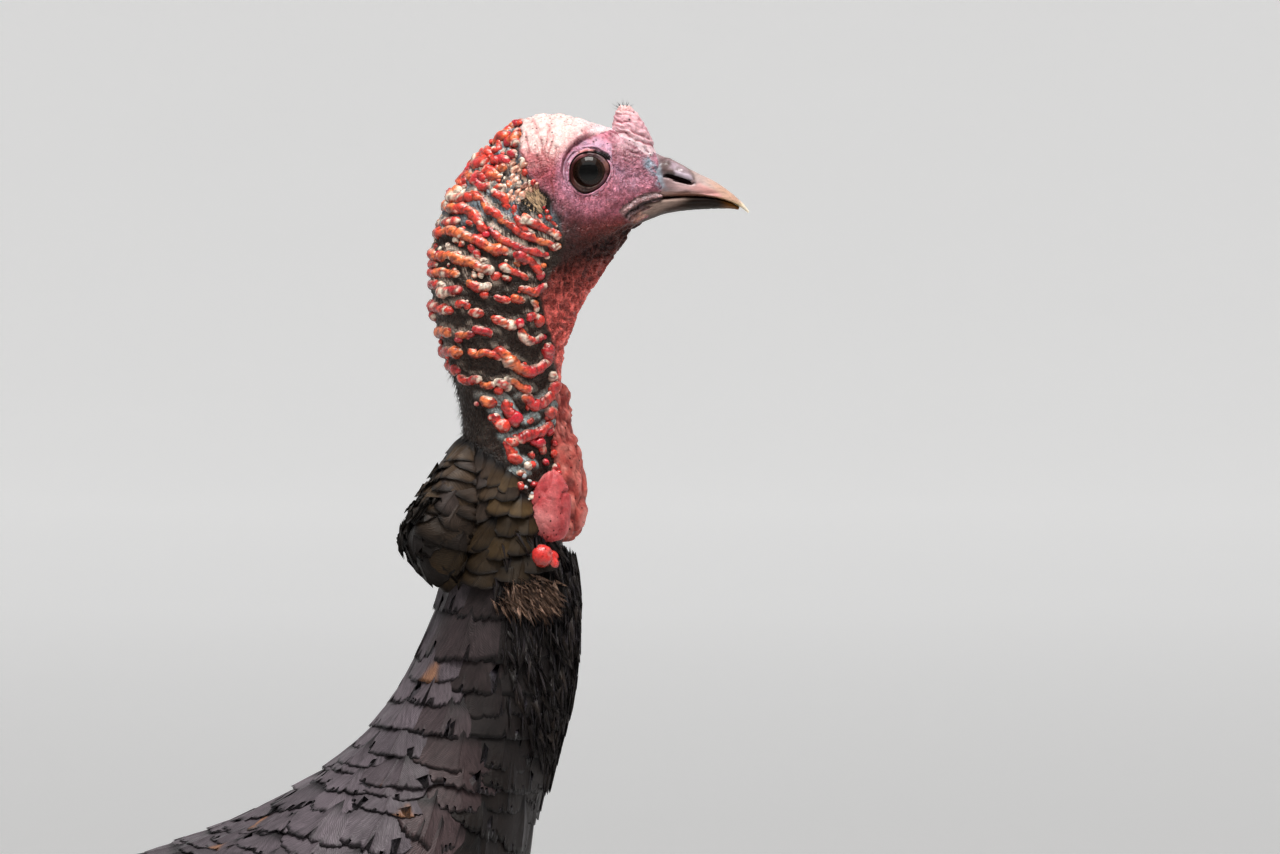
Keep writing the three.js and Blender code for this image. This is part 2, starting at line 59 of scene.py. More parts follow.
# Stations of the body: [back x, back z, belly x, belly z, half width, level of the widest point]
BODY = [
    [27, 7, 21, -19.5, 9.8, 0.45], [15.5, 14, 17, -22.5, 13.6, 0.5], [5.7, 17.9, 11.5, -30, 17, 0.56],
    [-4, 21, 6, -38, 18.8, 0.6], [-15, 22.6, 1, -45.5, 20.6, 0.58], [-27.5, 20, -3.5, -53, 22, 0.54],
    [-41, 10.5, -7, -61, 23, 0.5], [-52, -4, -9.8, -69, 23.4, 0.5], [-59, -18, -11, -77, 23.6, 0.5],
    [-62.6, -35, -11, -85, 23.2, 0.5], [-62, -54, -11.2, -94, 22.2, 0.5], [-57.2, -73, -11.5, -104, 20.6, 0.5],
    [-52.5, -89, -11.5, -116, 20, 0.5], [-51, -106, -10.5, -130, 21.4, 0.5], [-52.5, -126, -8, -144, 24, 0.5],
    [-56, -149, -5, -158, 26.5, 0.5], [-62, -171, -4, -176, 30, 0.5], [-76, -200, -5.5, -202, 36, 0.5],
    [-99, -226, -13, -234, 46, 0.5], [-137, -248, -20, -270, 66, 0.48], [-190, -265, -13, -316, 90, 0.48],
    [-250, -284, 3, -370, 111, 0.48], [-310, -305, 3, -434, 124, 0.48], [-365, -326, -44, -512, 130, 0.48],
    [-415, -347, -142, -570, 128, 0.48], [-462, -368, -262, -592, 116, 0.5], [-507, -389, -382, -566, 94, 0.54],
    [-548, -409, -478, -516, 68, 0.6], [-586, -428, -556, -474, 44, 0.6],
]
BILL_UPPER = [
    [27.5, 6.9, 23.5, -11.2, 9.4, 0.2], [33.5, 4.2, 30.5, -10.4, 8.6, 0.18], [40.7, 0.4, 38.5, -9.9, 7.5, 0.16],
    [49.5, -4, 48, -10.2, 6, 0.16], [56, -8.6, 55, -11.8, 4.2, 0.2], [60.4, -12.6, 59.4, -14, 2.2, 0.3],
    [62.6, -15.6, 61.9, -16, 0.8, 0.5],
]
BILL_LOWER = [
    [23.4, -11.8, 21.5, -19.4, 8.8, 0.8], [30.4, -11, 30, -16.2, 7.8, 0.84], [38.4, -10.5, 38.2, -15, 6.4, 0.84],
    [47.8, -10.8, 47.6, -14.4, 4.8, 0.84], [54.6, -12.4, 54.4, -14.3, 3.2, 0.8], [58.6, -13.9, 58.3, -14.7, 1.6, 0.6],
]
SNOOD = [
    [7, 9, 26, 2, 6, 0.5], [9, 16, 25.4, 9, 5.8, 0.5], [9.6, 20, 22.8, 16.2, 4.8, 0.5],
    [10.4, 23.6, 19.6, 22, 3.8, 0.5], [11.8, 26, 16.6, 25.4, 2, 0.5],
]
DEWLAP = [
    [-20, -76, -8.5, -84, 3, 0.5], [-20, -90, -7, -98, 5, 0.5], [-20, -106, -3.6, -112, 6.5, 0.5],
    [-20, -122, -1.4, -126, 7.5, 0.5], [-17, -137, -3, -138, 6, 0.5], [-13, -144, -8, -144, 2.5, 0.5],
]
NAPE_TUFT = [
    [-53, -99, -42, -107, 12, 0.5], [-60, -113, -40, -120, 20, 0.5], [-70.5, -128, -40, -133, 25, 0.5],
    [-73.6, -143, -44, -145, 26, 0.5], [-68, -156, -48, -153, 21, 0.5], [-60, -161, -52, -157, 11, 0.5],
]
BEARD = [
    [-26, -316, -20, -330, 6, 0.5], [12, -352, 3, -366, 7, 0.5], [21, -396, 11.5, -398, 8, 0.5],
    [22.5, -450, 12.5, -450, 7.5, 0.5], [20, -505, 13, -505, 5.5, 0.5], [17, -545, 14, -545, 2.5, 0.5],
]
# Folded wings: [x, z, half height, y of the outer face, half depth]
WING = [
    [-66, -398, 20, 96, 24], [-86, -402, 48, 116, 30], [-130, -405, 72, 132, 34], [-200, -413, 86, 141, 34],
    [-280, -426, 86, 143.5, 34], [-360, -440, 76, 136, 30], [-440, -454, 60, 117, 20], [-510, -466, 42, 94, 9],
    [-560, -476, 22, 79, 5], [-584, -480, 7, 74, 3],
]
PRIMARIES = [
    [-300, -503, 14, 130, 9], [-380, -506, 18, 121, 8], [-460, -508, 19, 102, 6], [-540, -508, 17, 82, 4.5],
    [-610, -510, 12, 72, 3], [-652, -514, 5, 67, 2],
]
# Tail and its coverts: [x, z, half width, half thickness]
TAIL = [
    [-572, -449, 30, 12], [-640, -480, 46, 9], [-720, -515, 60, 6.5], [-800, -549, 70, 4.5],
    [-842, -567, 68, 3.2], [-864, -576, 46, 2.2],
]
TAIL_ARCH = 16
UPPER_COVERTS = [[-560, -420, 32, 12], [-620, -452, 44, 14], [-690, -489, 44, 9], [-735, -512, 26, 4]]
LOWER_COVERTS = [[-520, -482, 40, 26], [-580, -478, 42, 24], [-650, -506, 36, 13], [-700, -530, 20, 4]]
# Legs
THIGH = [
    [-206, -488, 82, 44, 62], [-216, -548, 78, 45, 64], [-238, -604, 62, 38, 64], [-262, -656, 42, 27, 62],
    [-286, -704, 25, 18.5, 59], [-306, -744, 13.5, 12.5, 57],
]
STRIDE = {"right": 24, "left": -24}
HOCK = (-306, 57, -755)
ANKLE = (-264, 60, 13)
SHANK = [[-0.1, 10.4, 9.2], [0.05, 11.5, 9.7], [0.22, 8.6, 7], [0.5, 7.6, 6.2], [0.8, 8.2, 7.2], [0.94, 10.5, 10]]
SPUR_SHARE = 0.62
SPUR_BEND = [(0, 0, 0), (-17, -5, 1), (-30, -8, 8)]
SPUR_RADII = [5, 3.5, 0.7]
# Toes: name, turned outwards (degrees), length, radius at the root and at the end, claw
TOES = [
    ("middle", -4, 74, 7.4, 5, 15), ("inner", -42, 50, 6.6, 4.6, 12), ("outer", 38, 54, 6.8, 4.6, 12),
    ("hind", 172, 27, 5.2, 4, 10),
]
SIDES = (("right", -1), ("left", 1))
EYE_RADIUS, EYE_SIDE = 9.0, 10.6
EAR = (-20.2, -12.3)


# ---- Numbers: ramps, random lumps and smooth rows ----
def ramp(x, low, high):
    """0 below low, 1 above high, and a smooth rise between them."""
    share = np.clip((np.asarray(x, float) - low) / (high - low), 0, 1)
    return share * share * (3 - 2 * share)


def bell(x, width):
    return np.exp(-((np.asarray(x, float) / width) ** 2))


def scrambled(ix, iy, iz, seed):
    """A number from 0 to 1 for each cell of a lattice."""
    h = (ix * 374761393 + iy * 668265263 + iz * 1440662683 + seed * 1274126177) & 0xFFFFFFFF
    h = ((h ^ (h >> 13)) * 1274126177) & 0xFFFFFFFF
    return ((h ^ (h >> 16)) & 0xFFFFFF) / 0xFFFFFF


def noise(points, size, seed=0):
    """Smooth random values from -1 to 1, in lumps of one size."""
    q = np.asarray(points, float) / size
    cell = np.floor(q)
    w = q - cell
    w = w * w * (3 - 2 * w)
    cell = cell.astype(np.int64)
    total = 0.0
    for corner in np.ndindex(2, 2, 2):
        weight = 1.0
        for axis in range(3):
            weight = weight * (w[..., axis] if corner[axis] else 1 - w[..., axis])
        at = [cell[..., axis] + corner[axis] for axis in range(3)]
        total = total + weight * scrambled(*at, seed)
    return total * 2 - 1


def rough(points, size, seed=0, layers=3):
    """Noise with finer noise on it."""
    return sum(noise(points, size / 2**k, seed + k) / 2**k for k in range(layers)) / (2 - 0.5 ** (layers - 1))


def pebbles(points, size, seed=0):
    """How far each point is from the middle of its pebble and from its edge, in pebble sizes."""
    q = np.asarray(points, float) / size
    cell = np.floor(q).astype(np.int64)
    nearest = np.full(q.shape[:-1], 9.0)
    second = np.full(q.shape[:-1], 9.0)
    for step in np.ndindex(3, 3, 3):
        at = [cell[..., axis] + step[axis] - 1 for axis in range(3)]
        spot = np.stack([at[k] + scrambled(*at, seed + 7 * k) for k in range(3)], -1)
        d = np.linalg.norm(q - spot, axis=-1)
        second = np.minimum(second, np.maximum(nearest, d))
        nearest = np.minimum(nearest, d)
    return nearest, second - nearest


def smooth_rows(rows, at):
    """Rows of numbers joined by smooth curves, three columns to a curve, read at row numbers."""
    rows = np.asarray(rows, float)
    at = np.clip(np.asarray(at, float), 0, len(rows) - 1)
    flat = at.ravel()
    first = np.minimum(flat.astype(int), len(rows) - 2)
    w = (flat - first)[:, None]
    columns = []
    for c in range(0, rows.shape[1], 3):
        part = rows[:, c : c + 3]
        part = np.vstack([2 * part[0] - part[1], part, 2 * part[-1] - part[-2]])
        p = [part[first + k] for k in range(4)]
        gaps = [((p[k + 1] - p[k]) ** 2).sum(1, keepdims=True) ** 0.25 for k in range(3)]
        gaps[1] = np.where(gaps[1] < 1e-4, 1.0, gaps[1])
        gaps[0] = np.where(gaps[0] < 1e-4, gaps[1], gaps[0])
        gaps[2] = np.where(gaps[2] < 1e-4, gaps[1], gaps[2])
        t1 = (p[1] - p[0]) / gaps[0] - (p[2] - p[0]) / (gaps[0] + gaps[1]) + (p[2] - p[1]) / gaps[1]
        t2 = (p[2] - p[1]) / gaps[1] - (p[3] - p[1]) / (gaps[1] + gaps[2]) + (p[3] - p[2]) / gaps[2]
        t1, t2 = t1 * gaps[1], t2 * gaps[1]
        c2 = -3 * p[1] + 3 * p[2] - 2 * t1 - t2
        c3 = 2 * p[1] - 2 * p[2] + t1 + t2
        columns.append(p[1] + t1 * w + c2 * w**2 + c3 * w**3)
    return np.hstack(columns).reshape(at.shape + (rows.shape[1],))


def polyline_distance(x, z, line):
    """Distance from points of the side view to a line, how far along it they are, and which side they are on."""
    line = np.asarray(line, float)
    best = np.full(np.shape(x), 1e9)
    share = np.zeros(np.shape(x))
    side = np.ones(np.shape(x))
    for k in range(len(line) - 1):
        a, b = line[k], line[k + 1]
        ab = b - a
        u = np.clip(((x - a[0]) * ab[0] + (z - a[1]) * ab[1]) / (ab @ ab), 0, 1)
        d = np.hypot(x - a[0] - u * ab[0], z - a[1] - u * ab[1])
        nearer = d < best
        best = np.where(nearer, d, best)
        share = np.where(nearer, (k + u) / (len(line) - 1), share)
        turned = np.sign(ab[0] * (z - a[1]) - ab[1] * (x - a[0]))
        side = np.where(nearer, turned, side)
    return best, share, side


def unit(v):
    return v / np.maximum(np.linalg.norm(v, axis=-1, keepdims=True), 1e-9)


# ---- Forms as grids of points ----
def body_points(rows, at, angle, grow=0.0):
    """Points of a body at station numbers and angles round it: 0 on the back, a quarter turn on its left."""
    r = smooth_rows(rows, at)
    back_x, back_z, belly_x, belly_z, half, widest = (r[..., k] for k in range(6))
    up_x, up_z = back_x - belly_x, back_z - belly_z
    height = np.hypot(up_x, up_z)
    up_x, up_z = up_x / height, up_z / height
    c, s = np.cos(angle), np.sin(angle)
    rise = c * (np.where(c > 0, 1 - widest, widest) * height + grow) + height * widest
    return np.stack([belly_x + up_x * rise, s * (half + grow), belly_z + up_z * rise], -1)


class Surface:
    """A grid of points over a form, with the way out of it and the lie of the coat at each."""

    def __init__(self, points, flow, outward=None, closed=True):
        self.points, self.closed = points, closed
        self.rows, self.columns = points.shape[:2]
        self.down = np.gradient(points, axis=0)
        if closed:
            self.round = (np.roll(points, -1, 1) - np.roll(points, 1, 1)) / 2
        else:
            self.round = np.gradient(points, axis=1)
        self.out = unit(np.cross(self.down, self.round))
        away = points - points.mean(1, keepdims=True) if outward is None else np.asarray(outward, float)
        if (self.out * away).sum() < 0:
            self.out = -self.out
        flow = np.broadcast_to(flow, points.shape)
        self.flow = unit(flow - self.out * (flow * self.out).sum(-1, keepdims=True))

    def read(self, field, i, j):
        row = np.clip(i, 0, self.rows - 1.001)
        a = row.astype(int)
        u = (row - a)[..., None]
        if self.closed:
            column = np.mod(j, self.columns)
            b = column.astype(int) % self.columns
            v = (column - np.floor(column))[..., None]
            b2 = (b + 1) % self.columns
        else:
            column = np.clip(j, 0, self.columns - 1.001)
            b = column.astype(int)
            v = (column - b)[..., None]
            b2 = b + 1
        front = field[a, b] * (1 - v) + field[a, b2] * v
        back = field[a + 1, b] * (1 - v) + field[a + 1, b2] * v
        return front * (1 - u) + back * u

    def place(self, i, j, height):
        """Points at a height over the form. Past its last row they run straight on."""
        past = (i - np.clip(i, 0, self.rows - 1.001))[..., None]
        spot = self.read(self.points, i, j) + past * self.read(self.down, i, j)
        if not self.closed:
            over = (j - np.clip(j, 0, self.columns - 1.001))[..., None]
            spot = spot + over * self.read(self.round, i, j)
        return spot + unit(self.read(self.out, i, j)) * np.asarray(height)[..., None]

    def frame(self, i, j):
        """Place, way out, lie of the coat and way across it."""
        spot, out = self.read(self.points, i, j), unit(self.read(self.out, i, j))
        lie = self.read(self.flow, i, j)
        lie = unit(lie - out * (lie * out).sum(-1, keepdims=True))
        return spot, out, lie, np.cross(out, lie)

    def steps(self, i, j, way):
        a, b = self.read(self.down, i, j), self.read(self.round, i, j)
        aa, ab, bb = (a * a).sum(-1), (a * b).sum(-1), (b * b).sum(-1)
        pa, pb = (way * a).sum(-1), (way * b).sum(-1)
        det = aa * bb - ab * ab
        return (bb * pa - ab * pb) / det, (aa * pb - ab * pa) / det


# ---- Heaps of faces, made into one mesh ----
class Heap:
    def __init__(self):
        self.parts = []
        self.count = 0

    def add(self, points, faces, tint, vane=None, bake=None, bars=0.0):
        """Points (n, 3), faces as a list of index arrays, a colour for each point, its two maps and how barred or grainy it is."""
        points = points.reshape(-1, 3)
        n = len(points)
        tint = np.broadcast_to(np.asarray(tint, float).reshape(-1, 3), (n, 3))
        vane = np.zeros((n, 2)) if vane is None else vane.reshape(-1, 2)
        bake = np.zeros((n, 2)) if bake is None else bake.reshape(-1, 2)
        faces = [f.reshape(-1, f.shape[-1]) + self.count for f in faces]
        self.parts.append((points, faces, np.column_stack([tint, np.broadcast_to(bars, (n,))]), vane, bake))
        self.count += n

    def mesh(self, name, bake_map):
        points = np.concatenate([p[0] for p in self.parts]) * 0.001 + EYES
        faces = [f for p in self.parts for f in p[1]]
        sizes = np.concatenate([np.full(len(f), f.shape[1]) for f in faces])
        corners = np.concatenate([f.ravel() for f in faces]).astype(np.int32)
        mesh = bpy.data.meshes.new(name)
        mesh.vertices.add(len(points))
        mesh.vertices.foreach_set("co", points.astype(np.float32).ravel())
        mesh.loops.add(len(corners))
        mesh.loops.foreach_set("vertex_index", corners)
        mesh.polygons.add(len(sizes))
        starts = np.concatenate([[0], np.cumsum(sizes)[:-1]]).astype(np.int32)
        mesh.polygons.foreach_set("loop_start", starts)
        mesh.polygons.foreach_set("use_smooth", np.ones(len(sizes), bool))
        mesh.update(calc_edges=True)
        tint = np.concatenate([p[2] for p in self.parts])
        colours = mesh.color_attributes.new("Tint", "FLOAT_COLOR", "POINT")
        colours.data.foreach_set("color", np.clip(tint, 0, 1).astype(np.float32).ravel())
        for label, column in (("Vane", 3), ("OFBake", 4)) if bake_map else (("Vane", 3),):
            values = np.concatenate([p[column] for p in self.parts])
            layer = mesh.uv_layers.new(name=label)
            layer.uv.foreach_set("vector", values[corners].astype(np.float32).ravel())
        mesh.validate()
        return mesh


def grid_faces(rows, columns, closed=True):
    """Four-cornered faces over a grid of points, numbered row by row."""
    a = np.arange(rows - 1)[:, None] * columns
    b = np.arange(columns if closed else columns - 1)[None, :]
    b2 = (b + 1) % columns
    return np.stack([a + b, a + columns + b, a + columns + b2, a + b2], -1).reshape(-1, 4)


def cap_faces(ring, middle, flip=False):
    """Three-cornered faces from a ring of point numbers to a middle point."""
    after = np.roll(ring, -1)
    trio = (after, ring) if flip else (ring, after)
    return np.stack([*trio, np.full(len(ring), middle)], -1)


def closed_grid(points):
    """A grid closed round and at both ends, as points and faces that all look outwards."""
    rows, columns = points.shape[:2]
    flat = np.vstack([points.reshape(-1, 3), points[0].mean(0), points[-1].mean(0)])
    faces = [
        grid_faces(rows, columns),
        cap_faces(np.arange(columns), rows * columns),
        cap_faces(np.arange(columns) + (rows - 1) * columns, rows * columns + 1, flip=True),
    ]
    quads = flat[faces[0]]
    normal = np.cross(quads[:, 2] - quads[:, 0], quads[:, 3] - quads[:, 1])
    centres = np.repeat(points.mean(1), columns, 0)[: len(quads)]
    if (normal * (quads.mean(1) - centres)).sum() < 0:
        faces = [f[:, ::-1] for f in faces]
    return flat, faces


def wear(piece, finish, replaced=()):
    """Gives a piece its body, its finish and the solids it stands for."""
    piece.data.materials.append(finish)
    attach(piece, "root")
    if replaced:
        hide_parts(*replaced)
    return piece


def make_piece(name, heap, finish, replaced=(), bake_map=False):
    piece = bpy.data.objects.new(name, heap.mesh(name, bake_map))
    bpy.context.scene.collection.objects.link(piece)
    return wear(piece, finish, replaced)


# ---- Finishes ----
class Finish:
    """A node material, built up from a colour, its mottling, its relief and its gloss."""

    def __init__(self, name):
        self.material = bpy.data.materials.new(name)
        self.material.use_nodes = True
        self.tree = self.material.node_tree
        self.tree.nodes.clear()
        self.shader = self.node("ShaderNodeBsdfPrincipled")
        surface = self.node("ShaderNodeOutputMaterial")
        self.tree.links.new(self.shader.outputs[0], surface.inputs["Surface"])

    def node(self, kind, inputs=None, **settings):
        made = self.tree.nodes.new(kind)
        for key, value in settings.items():
            setattr(made, key, value)
        for key, value in (inputs or {}).items():
            self.put(made.inputs[key], value)
        return made

    def put(self, socket, value):
        if isinstance(value, bpy.types.NodeSocket):
            self.tree.links.new(value, socket)
        else:
            socket.default_value = value

    def set(self, **inputs):
        for key, value in inputs.items():
            self.put(self.shader.inputs[key.replace("_", " ")], value)

    def tint(self, part="Color"):
        return self.node("ShaderNodeAttribute", attribute_name="Tint").outputs[part]

    def place(self, stretch=(1, 1, 1), turn=(0, 0, 0)):
        spot = self.node("ShaderNodeTexCoord").outputs["Object"]
        return self.node("ShaderNodeMapping", {"Vector": spot, "Scale": stretch, "Rotation": turn}).outputs[0]

    def joined(self, vector):
        """A vector with a slow drift of place added, so that no two feathers are marked alike."""
        drift = self.node("ShaderNodeVectorMath", {0: self.place((0.1, 0.1, 0.1)), 1: vector}, operation="ADD")
        return drift.outputs[0]

    def grain(self, size, detail=3.0, place=None, sharp=0.5):
        """Noise with lumps of a size in millimetres."""
        inputs = {"Vector": place or self.place(), "Scale": 1000 / size, "Detail": detail, "Roughness": sharp}
        return self.node("ShaderNodeTexNoise", inputs).outputs["Fac"]

    def cells(self, size, place=None, feature="F1", smoothness=None):
        inputs = {"Vector": place or self.place(), "Scale": 1000 / size}
        if smoothness is not None:
            inputs["Smoothness"] = smoothness
        return self.node("ShaderNodeTexVoronoi", inputs, feature=feature).outputs["Distance"]

    def spread(self, value, low, high, to_low=0.0, to_high=1.0):
        """Stretches a value so that low becomes to_low and high becomes to_high."""
        inputs = {"Value": value, "From Min": low, "From Max": high, "To Min": to_low, "To Max": to_high}
        return self.node("ShaderNodeMapRange", inputs).outputs["Result"]

    def sum(self, a, b, operation="ADD"):
        return self.node("ShaderNodeMath", {0: a, 1: b}, operation=operation).outputs[0]

    def blend(self, share, a, b, kind="MIX"):
        mixed = self.node("ShaderNodeMix", data_type="RGBA", blend_type=kind, clamp_factor=True)
        for socket, value in ((0, share), (6, a), (7, b)):
            self.put(mixed.inputs[socket], value)
        return mixed.outputs[2]

    def relief(self, height, depth, strength=1.0, under=None):
        """Bumps of a depth in millimetres."""
        inputs = {"Height": height, "Distance": depth * 0.001, "Strength": strength}
        if under is not None:
            inputs["Normal"] = under
        return self.node("ShaderNodeBump", inputs).outputs["Normal"]


def skin_finish(name, wetness=0.42, pore=0.75, depth=0.28, glow=0.12, gloss=0.35):
    """Living skin: mottled, pored and creased, with a little light passing through it."""
    f = Finish(name)
    mottle = f.spread(f.grain(2.6, 5, sharp=0.7), 0.3, 0.7, 0.6, 1.3)
    colour = f.blend(1.0, f.tint(), mottle, "MULTIPLY")
    speckle = f.blend(1.0, colour, f.spread(f.grain(0.75, 3, sharp=0.7), 0.3, 0.7, 0.62, 1.38), "MULTIPLY")
    colour = f.blend(f.sum(f.tint("Alpha"), 0.2, "ADD"), colour, speckle)
    winding = f.sum(f.sum(f.grain(3.4 * pore, 2), 0.5, "SUBTRACT"), 0.0, "ABSOLUTE")
    dots = f.sum(f.spread(f.cells(2.4), 0.12, 0.19, 0.95, 0.0), f.spread(f.tint("Alpha"), 0.27, 0.5, 1.0, 0.0), "MULTIPLY")
    colour = f.blend(dots, colour, f.blend(1.0, colour, (0.07, 0.03, 0.03, 1), "MULTIPLY"))
    # Painted shade: the colour is darkened in the troughs of the fold relief.
    crease = f.sum(f.spread(winding, 0.0, 0.055, 1.0, 0.0), f.tint("Alpha"), "MULTIPLY")
    colour = f.blend(f.sum(crease, 0.6, "MULTIPLY"), colour, f.blend(1.0, colour, (0.5, 0.26, 0.27, 1), "MULTIPLY"))
    folds = f.relief(f.sum(f.spread(winding, 0.0, 0.12), f.tint("Alpha"), "MULTIPLY"), depth * 2.2, 0.8)
    dimples = f.sum(f.cells(pore, feature="SMOOTH_F1", smoothness=0.4), f.sum(f.tint("Alpha"), 0.25, "ADD"), "MULTIPLY")
    pores = f.relief(dimples, depth, 0.8, folds)
    bump = f.relief(f.grain(0.7, 3), depth * 1.1, 0.7, pores)
    f.set(Base_Color=colour, Normal=bump, Roughness=f.spread(f.grain(1.6), 0.3, 0.7, wetness - 0.1, wetness + 0.12))
    f.set(Specular_IOR_Level=gloss, Subsurface_Weight=glow, Subsurface_Radius=(1.0, 0.32, 0.22), Subsurface_Scale=0.0012)
    return f.material


def horn_finish(name, rough=0.32, gloss=0.16):
    """Bill, claw and spur: growth streaks and a worn, slightly scratched face."""
    f = Finish(name)
    streaks = f.grain(1.1, 6, f.place((0.22, 1.2, 1.4)), 0.7)
    colour = f.blend(1.0, f.tint(), f.spread(streaks, 0.3, 0.7, 0.62, 1.25), "MULTIPLY")
    flecks = f.spread(f.grain(0.7, 4, sharp=0.8), 0.62, 0.75, 0.0, 0.5)
    colour = f.blend(flecks, colour, f.blend(1.0, colour, (0.45, 0.38, 0.32, 1), "MULTIPLY"))
    bump = f.relief(streaks, 0.22, 0.55, f.relief(f.grain(0.35, 2), 0.08, 0.5))
    f.set(Base_Color=colour, Normal=bump, Roughness=f.spread(streaks, 0.3, 0.7, rough + 0.14, rough - 0.06), Specular_IOR_Level=gloss)
    return f.material


def scale_finish(name):
    """Horny leg scales with dust in their joints."""
    f = Finish(name)
    worn = f.grain(2.2, 5, sharp=0.7)
    colour = f.blend(1.0, f.tint(), f.spread(worn, 0.3, 0.7, 0.72, 1.2), "MULTIPLY")
    bump = f.relief(f.cells(1.3, feature="SMOOTH_F1", smoothness=0.3), 0.18, 0.5, f.relief(worn, 0.2, 0.4))
    f.set(Base_Color=colour, Normal=bump, Roughness=f.spread(worn, 0.3, 0.7, 0.36, 0.58))
    return f.material


def vane_finish(name, rough=0.5, sheen=0.35, sheen_tint=(0.62, 0.55, 0.66, 1), barb=0.75, gloss=0.5, bars=None, slant=0.95, fray=0.0):
    """Feather vane: barbs that slant from the shaft to the edges, a pale shaft and a silky bloom."""
    f = Finish(name)
    vane = f.node("ShaderNodeUVMap", uv_map="Vane").outputs["UV"]
    parts = f.node("ShaderNodeSeparateXYZ", {"Vector": vane})
    across = f.sum(parts.outputs["Y"], 0.0, "ABSOLUTE")
    along = f.sum(parts.outputs["X"], f.sum(across, slant, "MULTIPLY"), "SUBTRACT")
    combed = f.sum(across, f.sum(parts.outputs["X"], 0.35, "MULTIPLY"), "SUBTRACT")
    strands = f.node("ShaderNodeCombineXYZ", {"X": f.sum(parts.outputs["X"], 0.0001, "MULTIPLY"), "Y": f.sum(combed, 0.001, "MULTIPLY")})
    torn = f.grain(0.8, 4, f.joined(strands.outputs[0]), 0.7)
    waver = f.sum(f.grain(4.5, 2), 2.2, "MULTIPLY")
    phase = f.sum(f.sum(along, waver, "ADD"), 6.2832 / barb, "MULTIPLY")
    barbs = f.spread(f.sum(phase, 0.0, "SINE"), -1.0, 1.0)
    colour = f.blend(1.0, f.tint(), f.spread(barbs, 0.0, 1.0, 0.74, 1.16), "MULTIPLY")
    colour = f.blend(1.0, colour, f.spread(f.grain(7.0, 5, sharp=0.6), 0.3, 0.7, 0.74, 1.24), "MULTIPLY")
    if fray:
        colour = f.blend(fray, colour, f.blend(1.0, colour, f.spread(torn, 0.36, 0.64, 0.62, 1.24), "MULTIPLY"))
    if bars:
        period, tone = bars
        wave = f.sum(f.sum(parts.outputs["X"], f.sum(f.grain(14.0, 3), period * 0.9, "MULTIPLY")), 6.2832 / period, "MULTIPLY")
        striped = f.spread(f.sum(f.sum(wave, 0.0, "SINE"), f.sum(f.grain(1.2, 3), 0.9, "MULTIPLY")), 0.45, 0.75, 0.0, 0.85)
        colour = f.blend(f.sum(striped, f.tint("Alpha"), "MULTIPLY"), colour, (*tone, 1))
    shaft = f.spread(across, 0.16, 0.42, 0.5, 0.0)
    colour = f.blend(shaft, colour, f.blend(1.0, colour, (0.55, 0.5, 0.5, 1), "MULTIPLY"))
    ridge = f.relief(f.spread(across, 0.1, 0.5, 1.0, 0.0), 0.25, 0.6)
    if fray:
        ridge = f.relief(torn, 0.3 * fray, 0.8, ridge)
    f.set(Base_Color=colour, Normal=f.relief(barbs, 0.09, 0.55, ridge))
    f.set(Roughness=f.spread(f.grain(5.0, 3), 0.3, 0.7, rough - 0.08, rough + 0.1))
    f.set(Sheen_Weight=sheen, Sheen_Roughness=0.42, Sheen_Tint=sheen_tint, Specular_IOR_Level=gloss)
    return f.material


def bristle_finish(name, rough=0.45):
    """Coarse hair with lengthwise streaks."""
    f = Finish(name)
    streaks = f.grain(0.9, 4, f.place((1, 1, 0.15)))
    colour = f.blend(1.0, f.tint(), f.spread(streaks, 0.3, 0.7, 0.6, 1.4), "MULTIPLY")
    f.set(Base_Color=colour, Normal=f.relief(streaks, 0.12, 0.5), Roughness=f.spread(streaks, 0.3, 0.7, rough, rough + 0.2))
    return f.material


def eye_finish(name):
    """Dark wet eye: brown iris with fine rays about a black pupil."""
    f = Finish(name)
    rays = f.spread(f.grain(0.5, 3, f.place((1, 0.4, 1))), 0.3, 0.7, 0.55, 1.4)
    f.set(Base_Color=f.blend(1.0, f.tint(), rays, "MULTIPLY"), Roughness=f.spread(rays, 0.5, 1.4, 0.05, 0.09))
    f.set(Specular_IOR_Level=0.16)
    return f.material


# ---- Markings: the skin's colours, with painted shade and highlights ----
CROWN = (0.72, 0.52, 0.49)
BROW = (0.64, 0.48, 0.51)
LILAC = (0.52, 0.23, 0.32)
CHEEK = (0.58, 0.17, 0.235)
JAW = (0.080, 0.011, 0.006)
RUDDY = (0.33, 0.060, 0.050)
LORES = (0.30, 0.13, 0.175)
BLUE = (0.30, 0.37, 0.44)
LIP = (0.30, 0.165, 0.165)
# The next colour is the painted highlight on the wet lip rolls.
LIP_HIGHLIGHT = (0.52, 0.40, 0.42)
LAVENDER = (0.50, 0.32, 0.43)
THROAT_DARK = (0.040, 0.006, 0.003)
THROAT = (0.80, 0.150, 0.125)
FRONT = (0.82, 0.185, 0.150)
CREAM = (0.55, 0.44, 0.36)
SLATE = (0.026, 0.015, 0.011)
BLUISH = (0.20, 0.24, 0.275)
UNDERFEATHER = (0.025, 0.020, 0.018)

